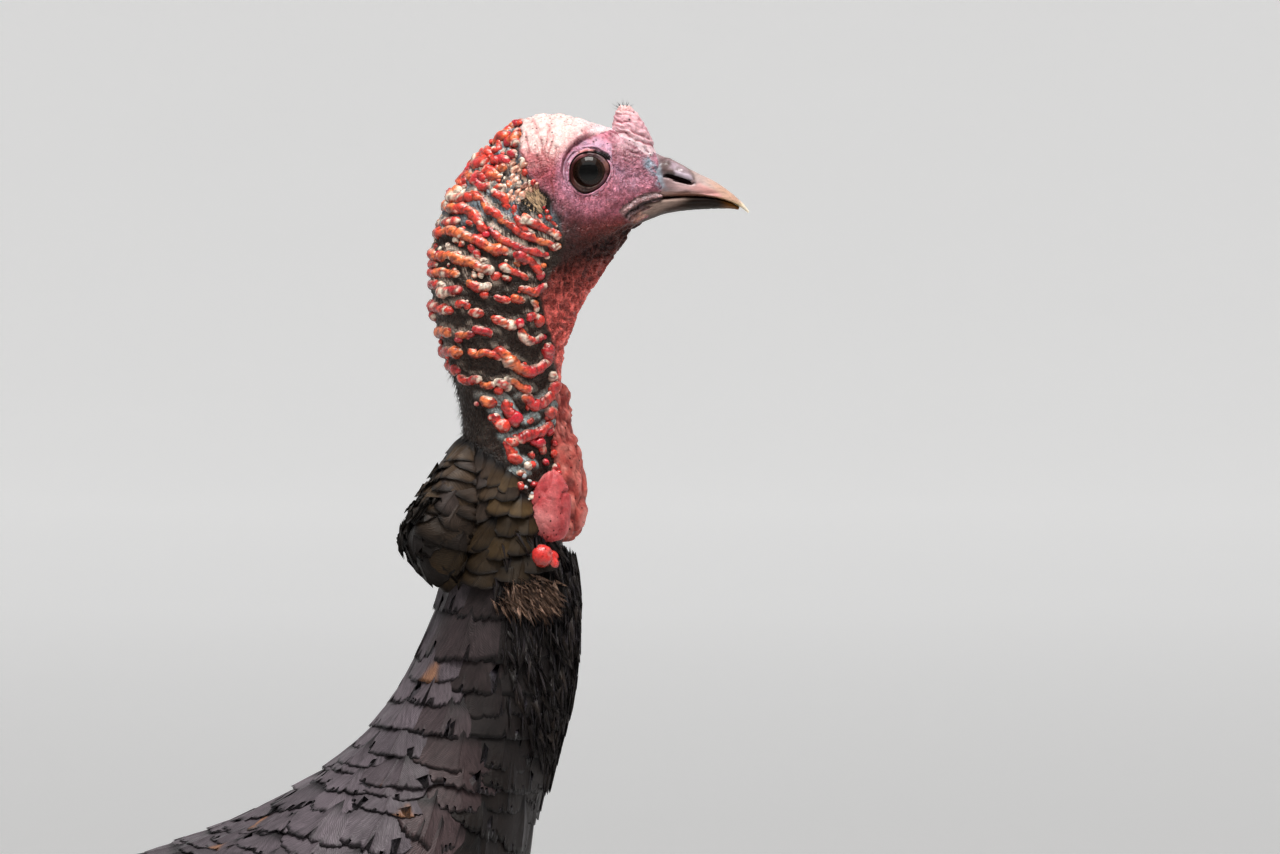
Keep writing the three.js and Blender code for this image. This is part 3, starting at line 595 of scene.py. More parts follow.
BROW_FOLD = [(-9.4, -6.5), (-10.4, -1.5), (-9.8, 3.8), (-8.2, 7.6), (-5.9, 10.4), (-3.2, 12.2), (0.0, 13.6), (4.1, 14.9)]
BILL_BASE = [(22.3, 4.0), (24.8, 1.2), (27.4, -3.4), (29.5, -6.6)]
CANTHUS_FOLD = [(1.0, 7.9), (2.8, 7.85), (4.6, 7.4), (6.1, 6.6), (7.3, 5.5), (8.5, 4.3)]
MOUTH_FOLD = [(30.5, -10.4), (24.7, -11.0), (21.0, -12.2), (15.9, -15.5), (13.4, -18.2)]
CROWN_CRACKS = [
    [(-21.5, 20), (-20, 14.9), (-18, 11.3), (-18, 6.8)], [(-24.6, 15.4), (-23.6, 10.8), (-23, 6.8), (-21, 5.3), (-20, 5.8)],
    [(-15.9, 18.5), (-14.9, 16.9), (-16.4, 13.4), (-15.9, 11.3), (-17.5, 7.8), (-16.4, 4.7)], [(-13.9, 12.9), (-14.9, 9.3), (-15.9, 6.3)],
    [(-26.1, 5.8), (-24.1, 2.7), (-21, 1.7), (-19.5, 4.2), (-20, 6.3)], [(-18, 5.3), (-19, 1.7), (-17.9, -1.3), (-19.5, -2.3)],
    [(-22, 1.2), (-21, -1.8), (-18, -2.9)], [(-12.5, 9.5), (-12.9, 5.5), (-15.1, 2.2)], [(-13, 0.8), (-14.4, -3.5), (-13.6, -8)],
]
# Front edge of the lumpy skin in the side view: [height, x]
LUMP_EDGE = [
    (-190, -13), (-116, -13), (-100, -11), (-89, -11), (-75, -12.5), (-60, -15), (-48, -17.8), (-40, -15),
    (-34, -10.7), (-24, -9), (-10, -17), (-2.6, -22), (6, -25.4), (21, -26), (40, -26),
]
# Front edge of the feathers on the neck: [height, x]
FEATHER_EDGE = [
    (-400, 400), (-147, 30), (-143, -2), (-141, -12), (-139, -21), (-130, -23.5), (-116, -28), (-108, -37),
    (-101, -53), (-96, -90), (100, -90),
]


def over_lumps(points):
    """Millimetres behind the front edge of the lumpy skin."""
    edge = np.array(LUMP_EDGE, float)
    return np.interp(points[..., 2], edge[:, 0], edge[:, 1]) - points[..., 0] + 1.1 * noise(points, 4.0, 26)


def over_feathers(points):
    """Millimetres behind the front edge of the neck's feathers."""
    edge = np.array(FEATHER_EDGE, float)
    return np.interp(points[..., 2], edge[:, 0], edge[:, 1]) - points[..., 0]


def mixed(share, a, b):
    share = np.clip(share, 0, 1)[..., None]
    return np.asarray(a) * (1 - share) + np.asarray(b) * share


def worms(p, size, seed):
    """Winding ridges: 1 on their crests and 0 between them."""
    bent = p + 0.35 * size * np.stack([noise(p, size, seed + k) for k in (1, 2, 3)], -1)
    return 1 - ramp(np.abs(noise(bent, size, seed)), 0.0, 0.42)


def jaw_side(p):
    """How far points of the side view lie above the line where the cheek meets the throat."""
    return p[..., 2] - np.interp(p[..., 0], [-13, -8, 0, 8, 15, 22], [-37, -33.5, -29.5, -25, -20.5, -19])


def canthus_wedge(x, z, fine):
    """The hollow over the front corner of the eye, thin behind and wide in front. The colours paint it near-black as
    shade.
    """
    canthus, along, _ = polyline_distance(x, z, CANTHUS_FOLD)
    return ramp(np.interp(along, [0, 0.2, 0.45, 0.7, 0.87, 1], [0.25, 0.5, 0.85, 1.35, 1.0, 0.3]) - canthus + 0.2 * fine, 0, 0.3)


def lip_folds(p):
    """The fleshy lips behind the bill: where they are, how far above the mouth's slit, and the creases along them."""
    mouth, along, side = polyline_distance(p[..., 0], p[..., 2], MOUTH_FOLD)
    over = -side * mouth + 0.3 * noise(p, 3.5, 18)
    lips = ramp(over, -5.4, -4.6) * (1 - ramp(over, 2.9, 3.6)) * (1 - ramp(along, 0.9, 1.0)) * ramp(np.abs(p[..., 1]), 3, 6)
    end = 1 - ramp(along, 0.9, 1.0)
    return lips, over, (1.6 * bell(over, 0.55) + 0.9 * bell(over + 2.1, 0.42) + 0.8 * bell(over - 3.1, 0.38)) * end


def fold_strength(along):
    """How deep the fold over the eye is along its line: it fades out at both ends."""
    return ramp(along, 0.0, 0.25) * (1 - 0.85 * ramp(along, 0.72, 1.0))


def brow_fan(p):
    """Fine wrinkles, from -1 to 1, that fan out from the root of the snood to the bill."""
    x, z = p[..., 0], p[..., 2]
    phase = (0.46 * x + 0.89 * z + 0.7 * noise(p, 4, 20)) * 2 * np.pi / 1.7
    return np.sin(phase) * ramp(x, 6, 12) * ramp(25 - x, 0, 3) * ramp(z, 2, 6) * ramp(noise(p, 3, 22), -0.6, 0.2)


def crown_cracks(x, z, fine):
    """How deep the creases of the crown are: 1 along their lines."""
    return sum(bell(polyline_distance(x + 0.5 * fine, z + 0.5 * fine, line)[0], 0.38) for line in CROWN_CRACKS)


def skin_colour(p):
    """The skin's markings at points of the body, with painted shade in its folds and creases and painted highlights on
    its wrinkles and lips.
    """
    x, z = p[..., 0], p[..., 2]
    fine, broad = rough(p, 2.2, 11), rough(p, 9, 12)
    jaw = jaw_side(p)
    above_jaw = jaw + 0.5 * x + 2.2 * fine
    colour = mixed(ramp(above_jaw, 7, 14), mixed(ramp(above_jaw, 2, 9), JAW, RUDDY), CHEEK)
    colour = mixed(bell(np.hypot((x + 8.5) / 5.5, (z + 15.5) / 4.5), 1.0) * ramp(fine, -0.6, 0.5) * 0.7, colour, (0.15, 0.085, 0.115))
    colour = mixed(ramp(broad + 0.8 * fine, 0.1, 0.9) * 0.55 * ramp(jaw, 8, 18), colour, LILAC)
    ring = bell(np.hypot(x, z) - 13.0, 2.3) * ramp(-z, 2, 6) * ramp(rough(p, 3.0, 36), -1.0, 0.3)
    colour = mixed(ring * 0.8, colour, (0.88, 0.33, 0.46))
    for spot_x, spot_z, wide, share in ((8.3, -12.5, 2.4, 0.5), (-8.5, -12.3, 2.6, 0.6), (3.0, -21.5, 3.5, 0.6), (-5.5, -21.0, 5.0, 0.9)):
        colour = mixed(bell(np.hypot(x - spot_x, z - spot_z), wide) * share, colour, (0.15, 0.036, 0.040))
    # Painted highlight and shade: the cheek's raised wrinkles, the same as its relief, are lighter on their crests and
    # darker between them.
    lit_wrinkle_crests = worms(p, 2.6, 15)
    patchy = ramp(rough(p, 5, 16), -0.5, 0.4)
    pink = ramp(jaw, 6, 16) * (0.25 + 0.75 * patchy)
    colour = mixed(lit_wrinkle_crests * pink, colour * 0.68, colour * 1.18 + 0.03 * pink[..., None])
    speckled = ramp(pebbles(p, 1.5, 37)[1], 0.05, 0.4) * pink
    colour = mixed(speckled, colour * 0.74, colour * 1.16 + 0.02)
    fold, along_fold, side = polyline_distance(x, z, BROW_FOLD)
    above = ramp(side * fold + (z > 16) * 2.0, -0.6, 0.8) * ramp(z - 0.15 * x, 2.5, 8) * (x < 12)
    behind = ramp(-x, 8.5, 11.5) * ramp(z, -9, 2)
    colour = mixed(behind * 0.9, colour, (0.36, 0.080, 0.105))
    colour = mixed(above, colour, CROWN)
    colour = mixed(above * ramp(fine + 0.6 * broad, 0.0, 0.9) * 0.4, colour, (0.80, 0.42, 0.40))
    colour = mixed(above * ramp(9.0 - z - 0.25 * (x + 20) + 1.5 * fine, -2, 5) * ramp(-x, -8, 4) * 0.9, colour, (0.40, 0.085, 0.10))
    flare = bell(np.hypot((x + 16) / 5.0, (z - 0.5) / 6.0), 1.0) * ramp(rough(p, 3, 42), -1.2, 0.2)
    colour = mixed(flare * 0.7, colour, (0.27, 0.050, 0.060))
    colour = mixed(above * ramp(x, -9, 6) * 0.75, colour, BROW)
    flushed = above * bell(side * fold - 0.5, 2.6) * ramp(rough(p, 3, 40), -1.0, 0.4) * ramp(4 - x, 0, 6)
    colour = mixed(flushed * 0.85, colour, (0.40, 0.115, 0.15))
    ahead = ramp(x - 0.2 * z, 4, 13)
    colour = mixed(ahead * ramp(z, -9, -1) * 0.85, colour, LORES)
    colour = mixed(ahead * ramp(z, 3, 12) * ramp(fine, -0.6, 0.7) * 0.8, colour, BROW)
    # Painted highlight and shade: the fan wrinkles are pale on their raised crests and dark in their troughs.
    fan = brow_fan(p)
    colour = mixed(np.abs(fan) * 0.75, colour, mixed(ramp(fan, -0.2, 0.2), (0.13, 0.030, 0.040), (0.62, 0.42, 0.46)))
    bluish = ramp(2.9 - polyline_distance(x, z, BILL_BASE)[0], 0, 2) * ramp(rough(p, 1.8, 13), -0.5, 0.35)
    colour = mixed(bluish * 0.9, colour, mixed(ramp(rough(p, 1.5, 39), -0.3, 0.5), (0.13, 0.22, 0.27), BLUE))
    from_eye = np.hypot(x + 0.3, z + 0.8)
    colour = mixed(bell(from_eye - 10.2, 2.2) * ramp(3 - x + 0.4 * z, 0, 8) * 0.85, colour, LILAC)
    hood = ramp(-side * fold, 0.2, 1.2) * ramp(z - 0.5 * x, -5, 2) * ramp(from_eye, 6.5, 8.5) * ramp(16 - from_eye, 0, 3) * (x < 9)
    colour = mixed(hood * ramp(rough(p, 3, 19), -0.9, 0.3) * 0.85, colour, mixed(ramp(x, -7, 3), (0.20, 0.095, 0.14), LAVENDER))
    ahead_patch = 0.7 * bell(np.hypot((x - 11.5) / 3.2, (z - 0.8) / 2.4), 1.0) + bell(np.hypot((x - 16.5) / 5.0, (z + 5) / 3.0), 1.0)
    colour = mixed(np.minimum(ahead_patch, 1) * ramp(rough(p, 2.5, 38), -0.9, 0.4) * 0.8, colour, mixed(ramp(-z, 0, 4), (0.23, 0.20, 0.31), (0.76, 0.42, 0.56)))
    dusky = bell(np.hypot((x - 14.0) / 5.5, (z - 6.5) / 5.0), 1.0) * ramp(fine, -1.0, 0.5)
    colour = mixed(dusky * 0.62, colour, (0.23, 0.070, 0.085))
    # Painted shade along the sunken line under the brow fold.
    brow_fold_shade = bell(fold - 0.2 * (side < 0), 0.6) * fold_strength(along_fold) * ramp(fine, -1.6, 0.2)
    colour = mixed(brow_fold_shade * 0.92, colour, (0.11, 0.016, 0.026))
    # Painted shade in the crown's creases, which the relief sinks.
    colour = mixed(np.minimum(crown_cracks(x, z, rough(p, 1.8, 41)), 1) * 0.8, colour, (0.32, 0.07, 0.075))
    # Painted shade in the creases between the crown's bulges.
    bulge = ramp(z, 4, 9) * ramp(-x, -6, 2)
    colour = mixed(ramp(0.10 - pebbles(p, 5.6, 43)[1], 0, 0.10) * bulge * 0.4, colour, (0.42, 0.12, 0.12))
    # Painted shade: the hollow over the eye's front corner is painted near-black.
    colour = mixed(canthus_wedge(x, z, fine), colour, (0.010, 0.006, 0.008))
    lips, over, creases = lip_folds(p)
    flesh = mixed(ramp(over + 1.2 * fine, -3.5, -1.5), mixed(ramp(x, 15, 24), (0.42, 0.14, 0.085), (0.50, 0.32, 0.26)), LIP)
    # Painted highlights: pale lines along the wet rolls of the lips.
    wet = np.maximum(bell(over - 1.9, 0.55), 0.8 * bell(over + 1.1, 0.4)) + 0.6 * bell(over + 3.4, 0.5)
    flesh = mixed(wet * ramp(fine, -0.9, 0.4) * ramp(x, 13, 17), flesh, LIP_HIGHLIGHT)
    colour = mixed(lips * ramp(fine, -2.0, -0.6), colour, flesh)
    # Painted shade: the mouth's slit and the creases between the lip rolls are near-black.
    colour = mixed(np.minimum(lips * creases, 1) * 0.95, colour, (0.012, 0.005, 0.005))
    grain = worms(p * (1, 0.8, 1), 2.3, 45)
    throat = mixed(ramp(-z + 0.3 * x, 30, 56), THROAT_DARK, mixed(ramp(-z, 60, 100), THROAT, FRONT))
    # Painted highlight and shade: the throat's wrinkles, the same as its relief, are lighter on their crests and darker
    # between them.
    throat = mixed(grain, throat * 0.5, throat * 1.25)
    colour = mixed(ramp(-jaw + 1.2 * fine, -1.8, 1.6), colour, throat)
    lumps = over_lumps(p)
    edge = ramp(lumps, -7.5, -1.0) * ramp(z, -42, -20) * ramp(-z, 1, 12)
    colour = mixed(edge * (0.45 + 0.5 * ramp(rough(p, 2.2, 14), -0.5, 0.3)), colour, (0.04, 0.024, 0.024))
    high = ramp(z, -27, -13)
    under = mixed(ramp(rough(p * (0.6, 1, 1.6), 3, 21), 0.05, 0.4), SLATE, mixed(high, (0.055, 0.040, 0.032), (0.13, 0.105, 0.09)))
    under = mixed(high * ramp(rough(p, 3.2, 23), -0.3, 0.1), under, BLUISH)
    under = mixed(ramp(0.16 - pebbles(p, 2.2, 31)[1], 0, 0.12) * high * 0.8, under, (0.016, 0.010, 0.010))
    stubble = ramp(pebbles(p, 1.3, 31)[0], 0.42, 0.25) * ramp(rough(p, 8, 8), -0.6, 0.1)
    under = mixed(stubble * 0.8, under, (0.012, 0.007, 0.005))
    colour = mixed(ramp(lumps, -1.0, 1.2), colour, under)
    # Painted shade: the ear opening is painted near-black on skin that is not hollowed there.
    ear = ramp(1.15 - np.hypot((x - EAR[0]) / 5.4, (z - EAR[1]) / 5.2), 0, 0.2)
    colour = mixed(ear, colour, (0.010, 0.007, 0.005))
    colour = mixed(ramp(over_feathers(p), -1, 3), colour, UNDERFEATHER)
    return np.clip(colour * (1 + 0.12 * fine[..., None]), 0.004, 0.95)


def skin_grain(p):
    """How coarse the fine relief is: most on throat and neck, least on the crown."""
    return np.clip(0.6 + 0.4 * ramp(-jaw_side(p), -2, 3) - 0.35 * ramp(p[..., 2], 6, 12), 0, 1)


def skin_lift(p):
    """How far folds, wrinkles and bulges raise the bare skin, in millimetres."""
    x, z = p[..., 0], p[..., 2]
    fine = rough(p, 1.8, 41)
    bare = 1 - ramp(over_feathers(p), -1, 3)
    flank = ramp(np.abs(p[..., 1]), 5, 10)
    jaw = jaw_side(p)
    cheek = ramp(jaw, -1, 4) * (1 - ramp(z, 2, 7))
    fold, along_fold, side = polyline_distance(x, z, BROW_FOLD)
    outside = side * fold
    folded = fold_strength(along_fold) * flank
    lift = 1.9 * ramp(outside, -0.5, 1.0) * bell(np.maximum(outside, 0), 5.0) * folded
    lift -= 1.1 * bell(outside + 0.4, 0.6) * folded
    lift += 0.5 * brow_fan(p)
    lift -= 0.5 * np.minimum(crown_cracks(x, z, fine), 1.2) * flank
    bulge = ramp(z, 3, 8) * ramp(-x, -8, 0)
    lift += bulge * (0.75 * ramp(pebbles(p, 5.6, 43)[1], 0.0, 0.5) - 0.4)
    lift += 0.3 * (worms(p * (1.3, 1, 0.8), 3.0, 47) - 0.4) * ramp(x, 4, 10) * ramp(z, -3, 3)
    veined = pebbles(p + 0.6 * fine[..., None], 1.9, 44)[1]
    lift += cheek * (0.5 * ramp(veined, 0.0, 0.3) + 0.5 * (worms(p * (0.7, 1, 1.2), 4.4, 48) - 0.3) * ramp(-z, 10, 20))
    lift += cheek * 0.4 * (worms(p, 2.6, 15) - 0.4)
    lips, over, creases = lip_folds(p)
    lift += lips * (0.5 + 0.6 * bell(over + 3.8, 1.0) + 0.4 * bell(over - 1.5, 0.8) - 1.2 * creases) * (1 - 0.95 * ramp(x, 23, 28))
    lift += 0.8 * ramp(jaw, -1.5, 2.5) * bell(np.maximum(jaw, 0), 9) * flank * ramp(x, -12, -4)
    throat = ramp(-jaw, -0.5, 2) * (1 - ramp(over_lumps(p), -1.5, 1))
    lift += throat * (1.3 * worms(p * (1, 0.8, 1), 2.3, 45) - 0.7 + 0.6 * noise(p, 6, 46))
    lumps = ramp(over_lumps(p), -1.0, 2.0)
    lift += lumps * 0.3 * fine
    return (lift + 0.1 * fine) * bare


def coat_depth(rows, points):
    """How deep the skin lies under the true outline: most under feathers, a little under the lumps."""
    depth = np.interp(rows, [0, 12.4, 13.6, 16, 18.6, 20, 26, 28], [0, 0, 2.2, 3.2, 5, 8, 7, 5])
    under_lumps = 2.1 * ramp(over_lumps(points), -1, 3) * (1 - ramp(rows, 13.5, 14.5))[:, None]
    return np.maximum(depth[:, None] * ramp(over_feathers(points), -2, 6), under_lumps)


SKIN_AROUND = 208


def skin_rows():
    """Station numbers of the skin's rings: close together on the head, further apart on the trunk."""
    spans = [(0, 5.3, 118), (5.3, 13.4, 172), (13.4, 18.6, 26), (18.6, 28, 22)]
    return np.concatenate([np.linspace(a, b, n, endpoint=False) for a, b, n in spans] + [[28.0]])


class Skin:
    """The bare form of the head, neck and trunk, as a fine grid; its relief is added when the flesh is made."""

    def __init__(self):
        self.rows = skin_rows()
        even = np.arange(SKIN_AROUND) * 2 * np.pi / SKIN_AROUND
        self.angles = even + 0.22 * np.sin(even)
        at, angle = self.rows[:, None], self.angles[None, :]
        outline = body_points(BODY, at + 0 * angle, angle + 0 * at)
        out = Surface(outline, np.gradient(outline, axis=0)).out
        bed = outline - out * coat_depth(self.rows, outline)[..., None]
        self.bed = Surface(bed, np.gradient(bed, axis=0))
        square = unit(np.cross(self.bed.round, self.bed.out))
        square = square * np.sign((square * self.bed.flow).sum(-1, keepdims=True))
        neck = ramp(self.rows, 14, 15) * (1 - ramp(self.rows, 19.5, 21.5)) * 0.75
        self.bed.flow = unit(self.bed.flow + (square - self.bed.flow) * neck[:, None, None])

    def locate(self, x, z, sign):
        """Grid places on one side of the bird for places in the side view."""
        columns = np.flatnonzero(np.sign(np.sin(self.angles)) == sign)
        rows = np.flatnonzero(self.rows < 16)
        flat = self.bed.points[np.ix_(rows, columns)][..., [0, 2]].reshape(-1, 2)
        nearest = np.array([np.argmin((flat[:, 0] - a) ** 2 + (flat[:, 1] - b) ** 2) for a, b in zip(x, z)])
        i, j = rows[nearest // len(columns)].astype(float), columns[nearest % len(columns)].astype(float)
        for _ in range(5):
            p = self.bed.place(i, j, 0 * i)
            a, b = self.bed.read(self.bed.down, i, j)[:, [0, 2]], self.bed.read(self.bed.round, i, j)[:, [0, 2]]
            miss = np.stack([x - p[:, 0], z - p[:, 2]], -1)
            aa, ab, bb = (a * a).sum(1) + 0.02, (a * b).sum(1), (b * b).sum(1) + 0.02
            pa, pb = (miss * a).sum(1), (miss * b).sum(1)
            det = aa * bb - ab * ab
            i = i + np.clip((bb * pa - ab * pb) / det, -2, 2)
            j = np.clip(j + np.clip((aa * pb - ab * pa) / det, -2, 2), columns[0], columns[-1])
        return i, j

    def side_level(self, x, z, reach):
        """How far out the bare side of the head is at places in the side view."""
        p = self.bed.points[self.rows < 13.4]
        middle = np.array([x.mean(), z.mean()])
        near = (np.hypot(p[..., 0] - middle[0], p[..., 2] - middle[1]) < reach) & (p[..., 1] > 4)
        near_x, near_z, near_y = p[near][:, 0] - middle[0], p[near][:, 2] - middle[1], p[near][:, 1]
        powers = [(a, b) for a in range(4) for b in range(4 - a)]
        terms = np.stack([near_x**a * near_z**b for a, b in powers], -1)
        weights = np.linalg.lstsq(terms, near_y, rcond=None)[0]
        return sum(w * (x - middle[0]) ** a * (z - middle[1]) ** b for w, (a, b) in zip(weights, powers))


LID_EDGE = [
    (-180, 7.25), (-170, 7.4), (-154, 8.0), (-136, 8.3), (-121, 8.7), (-103, 9.1), (-88, 8.5), (-70, 7.9), (-46, 7.6), (-21, 7.8),
    (-1, 8.3), (18, 8.6), (38, 8.2), (54, 7.9), (77, 7.6), (103, 7.5), (124, 7.6), (144, 7.5), (171, 7.25), (180, 7.25),
]


def lid_edge(angle):
    """How far out the lids' wet rim ends at angles in the side view: it comes to a blunt point below."""
    turn, far = np.array(LID_EDGE, float).T
    return np.interp(np.degrees(np.arctan2(np.sin(angle), np.cos(angle))), turn, far)


# Colours of the lids' wet rim at angles in the side view: 0 is the front corner, 90 above
RIM_TONES = [
    (0, 0.055, 0.012, 0.012), (20, 0.21, 0.090, 0.075), (42, 0.10, 0.055, 0.062), (65, 0.024, 0.008, 0.009), (90, 0.045, 0.012, 0.015),
    (115, 0.26, 0.082, 0.092), (150, 0.085, 0.019, 0.019), (180, 0.065, 0.014, 0.014), (225, 0.050, 0.014, 0.010),
    (260, 0.016, 0.004, 0.003), (295, 0.055, 0.016, 0.014), (320, 0.055, 0.022, 0.034), (343, 0.10, 0.032, 0.040),
]


def rim_colour(inner, angle, fine):
    """Colours of the lids' wet rim, from the eyeball out: pink above, wine behind, brown below, rusty in the front
    corner, with pale painted highlight lines and painted shade at both its edges.
    """
    turn, *tones = np.array(RIM_TONES).T
    degrees = np.degrees(angle) + 0 * inner
    s, c = np.sin(angle) + 0 * inner, np.cos(angle) + 0 * inner
    rim = np.stack([np.interp(degrees, turn, tone, period=360) for tone in tones], -1)
    # Painted highlights: a pale wet line near the rim's outer edge above, and one near the eyeball below.
    rim = mixed(bell(inner - 0.72, 0.07) * ramp(s, 0.35, 0.6) * ramp(fine, -0.7, 0.1) * 0.4, rim, (0.42, 0.30, 0.30))
    rim = mixed(bell(inner - 0.2, 0.06) * ramp(-s, 0.3, 0.7) * ramp(fine, -0.6, 0.2) * 0.6, rim, (0.34, 0.24, 0.20))
    # Painted shade where the rim meets the eyeball and in the deep crease at its outer edge.
    rim = mixed(ramp(0.15 - inner, 0, 0.08), rim, (0.006, 0.003, 0.003))
    edge = mixed(ramp(c, 0.2, 0.6) * ramp(-s, -0.3, 0.1), (0.004, 0.002, 0.002), (0.060, 0.008, 0.011))
    return mixed(ramp(inner, 0.8, 0.93), rim, edge)


def eyelids(skin, sign):
    """Lids as a ring: a wet rim that rises from the eye, a deep crease round it, and the skin outside with its folds."""
    around, inside, outside = 132, 12, 17
    angle = np.linspace(0, 2 * np.pi, around, endpoint=False)[None, :]
    c, s = np.cos(angle), np.sin(angle)
    inner = np.append(np.linspace(0, 1, inside), np.ones(outside))[:, None]
    outer = np.append(np.zeros(inside), np.linspace(0.02, 1, outside))[:, None]
    near = np.hypot(6.05 * c, np.where(s > 0, 5.7, 5.85) * s)
    edge = lid_edge(angle) * (1 + 0.012 * noise(np.stack([8 * c, 0 * c, 8 * s], -1), 2.2, 66))
    far = near + (edge - near) * inner + (11.0 - edge) * outer
    far = far * np.where(inner < 0.02, 0.97, 1.0)
    x, z = c * far, s * far
    ball = EYE_SIDE + np.sqrt(EYE_RADIUS**2 - np.minimum(near, 8.9) ** 2)
    level = skin.side_level(x, z, 13.0)
    p = np.stack([x, 0 * x, z], -1)
    rise = inner ** (1 + 2.5 * ramp(-s, 0.1, 0.7))
    rim = ball + 0.2 + (level - ball - 0.7) * rise + 0.5 * bell(inner - 0.62, 0.26) * (1 - 0.7 * ramp(-s, 0.1, 0.7)) - 1.0 * ramp(inner, 0.78, 1.0) - 0.7 * ramp(0.1 - inner, 0, 0.1)
    wrinkle = np.sin(outer * 21 + 2.4 * noise(p, 3.0, 61))
    lid = level + 0.25 + 0.45 * bell(outer - 0.16, 0.13) - 0.5 * bell(outer - 0.5, 0.08) - 2.0 * ramp(outer, 0.74, 1.0)
    lid += (0.15 * wrinkle + 0.25 * noise(p, 1.6, 62) + 0.2 * noise(p, 0.9, 68)) * ramp(outer, 0.05, 0.2)
    hood = canthus_wedge(x, z, noise(p, 1.5, 63)) * (outer > 0)
    lid += 0.9 * bell(polyline_distance(x, z, CANTHUS_FOLD)[0] - 1.9, 0.6) * ramp(z, 2, 5) - 0.9 * hood
    p[..., 1] = np.where(outer > 0, lid, rim)
    fine = noise(p, 1.3, 64)
    flesh = mixed(ramp(noise(p, 1.6, 65) + 0.6 * wrinkle, 0.0, 0.8), (0.40, 0.15, 0.21), (0.52, 0.28, 0.37))
    flesh = mixed(ramp(s - 0.6 * c + 0 * outer, -0.4, 0.4) * ramp(outer, 0.1, 0.3) * 0.75, flesh, (0.43, 0.26, 0.36))
    flesh = mixed(bell(outer - 0.2, 0.2) * ramp(s + 0 * outer, 0.75, 0.95) * 0.8, flesh, (0.56, 0.20, 0.17))
    # Painted shade in the sunken line across the lid.
    flesh = mixed(bell(outer - 0.5, 0.07) * 0.7, flesh, (0.12, 0.025, 0.035))
    flesh = mixed(ramp(fine, 0.3, 0.8) * 0.4, flesh, (0.72, 0.55, 0.62))
    # Painted shade: the outer wall of the deep crease is near-black above and behind the eye.
    flesh = mixed(ramp(0.13 - outer, 0, 0.07) * ramp(s - 1.4 * c + 0 * outer, -1.2, 0.0), flesh, (0.006, 0.003, 0.003))
    flesh = mixed(ramp(outer, 0.55, 0.85), flesh, skin_colour(p * (1, sign, 1)))
    # Painted shade in the hollow over the front corner.
    flesh = mixed(hood, flesh, (0.007, 0.004, 0.005))
    colour = np.where((outer > 0)[..., None], flesh, rim_colour(inner, angle, fine))
    p[..., 1] *= sign
    faces = grid_faces(inside + outside, around)
    quad = p.reshape(-1, 3)[faces[:50]]
    if np.cross(quad[:, 2] - quad[:, 0], quad[:, 3] - quad[:, 1])[:, 1].sum() * sign < 0:
        faces = faces[:, ::-1]
    return p, [faces], colour


def lobe(rows, steps, around, relief, colour, mirror=1, grow=lambda share: 0.0):
    """A fleshy form made from its stations, with relief on it."""
    share = np.linspace(0, 1, steps)[:, None]
    at = share * (len(rows) - 1) + np.zeros((1, around))
    angle = np.arange(around)[None, :] * 2 * np.pi / around + 0 * share
    p = body_points(rows, at, angle, grow(share))
    base = Surface(p, np.gradient(p, axis=0))
    p = p + base.out * relief(p, share)[..., None]
    p = p * (1, mirror, 1)
    flat, faces = closed_grid(p)
    tints = colour(p, share)
    tints = np.vstack([tints.reshape(-1, 3), tints[0].mean(0), tints[-1].mean(0)])
    return flat, faces, tints


def snood_wrinkle(p, share):
    """Rings of uneven width that split and join."""
    warp = 1.1 * noise(p, 5, 71) + 0.7 * noise(p, 2.2, 74)
    rings = np.sin((share * 26 + warp) * 2 * np.pi / (2.2 + 1.2 * share))
    return rings * ramp(noise(p * (1, 1, 2.5), 3, 75), -0.3, 0.4) * ramp(share, 0.0, 0.15) * (1 - 0.8 * ramp(share, 0.6, 1))


def snood_relief(p, share):
    return 0.34 * snood_wrinkle(p, share) + 0.35 * noise(p, 1.9, 72) + 0.3 * ramp(pebbles(p, 1.8, 76)[1], 0, 0.3)


def snood_colour(p, share):
    fine = rough(p, 1.8, 73)
    low = mixed(ramp(share + 0 * fine, 0.1, 0.5), BROW, (0.62, 0.34, 0.38))
    top = mixed(ramp(share + 0.15 * fine, 0.6, 1.0), low, (0.74, 0.44, 0.42))
    top = mixed(ramp(fine, 0.2, 0.9) * 0.5, top, (0.80, 0.62, 0.62))
    # Painted shade in the troughs of the wrinkle rings.
    return mixed(ramp(-snood_wrinkle(p, share), 0.15, 0.8) * 0.75, top, (0.32, 0.075, 0.10))


def creases(p, size, seed, width):
    """1 in winding, branching creases and 0 between them."""
    bent = p + 0.3 * size * np.stack([noise(p, size, seed + k) for k in (1, 2, 3)], -1)
    return 1 - ramp(np.abs(noise(bent, size, seed)), 0.0, width)


def flap_relief(p, share):
    return 1.3 * ramp(flap_cobbles(p), 0.0, 0.4) - 0.6 * creases(p * (1, 1, 0.6), 7.5, 82, 0.12) + 0.15 * noise(p, 1.4, 83)


def flap_cobbles(p):
    """How far from their edges points of the dewlap's cobbles are. The cobbles are small above and long below."""
    low = ramp(-p[..., 2], 100, 122)
    return pebbles(p * (1, 1, 0.9), 4.0, 81)[1] * (1 - low) + pebbles(p * (1, 1, 0.45), 6.5, 80)[1] * low


def flap_colour(p, share):
    fine = rough(p, 2.5, 84)
    colour = mixed(ramp(fine, -0.4, 0.8), (0.38, 0.065, 0.052), (0.54, 0.18, 0.145))
    # Painted highlight on the raised cobbles, and painted shade at their edges and in the creases.
    colour = mixed(ramp(flap_cobbles(p), 0.25, 0.6) * 0.5, colour, (0.66, 0.27, 0.24))
    deep = 0.8 * ramp(0.10 - flap_cobbles(p), 0.0, 0.08) + 0.6 * creases(p * (1, 1, 0.6), 7.5, 82, 0.1)
    return mixed(np.minimum(deep, 0.85), colour, (0.12, 0.010, 0.010))


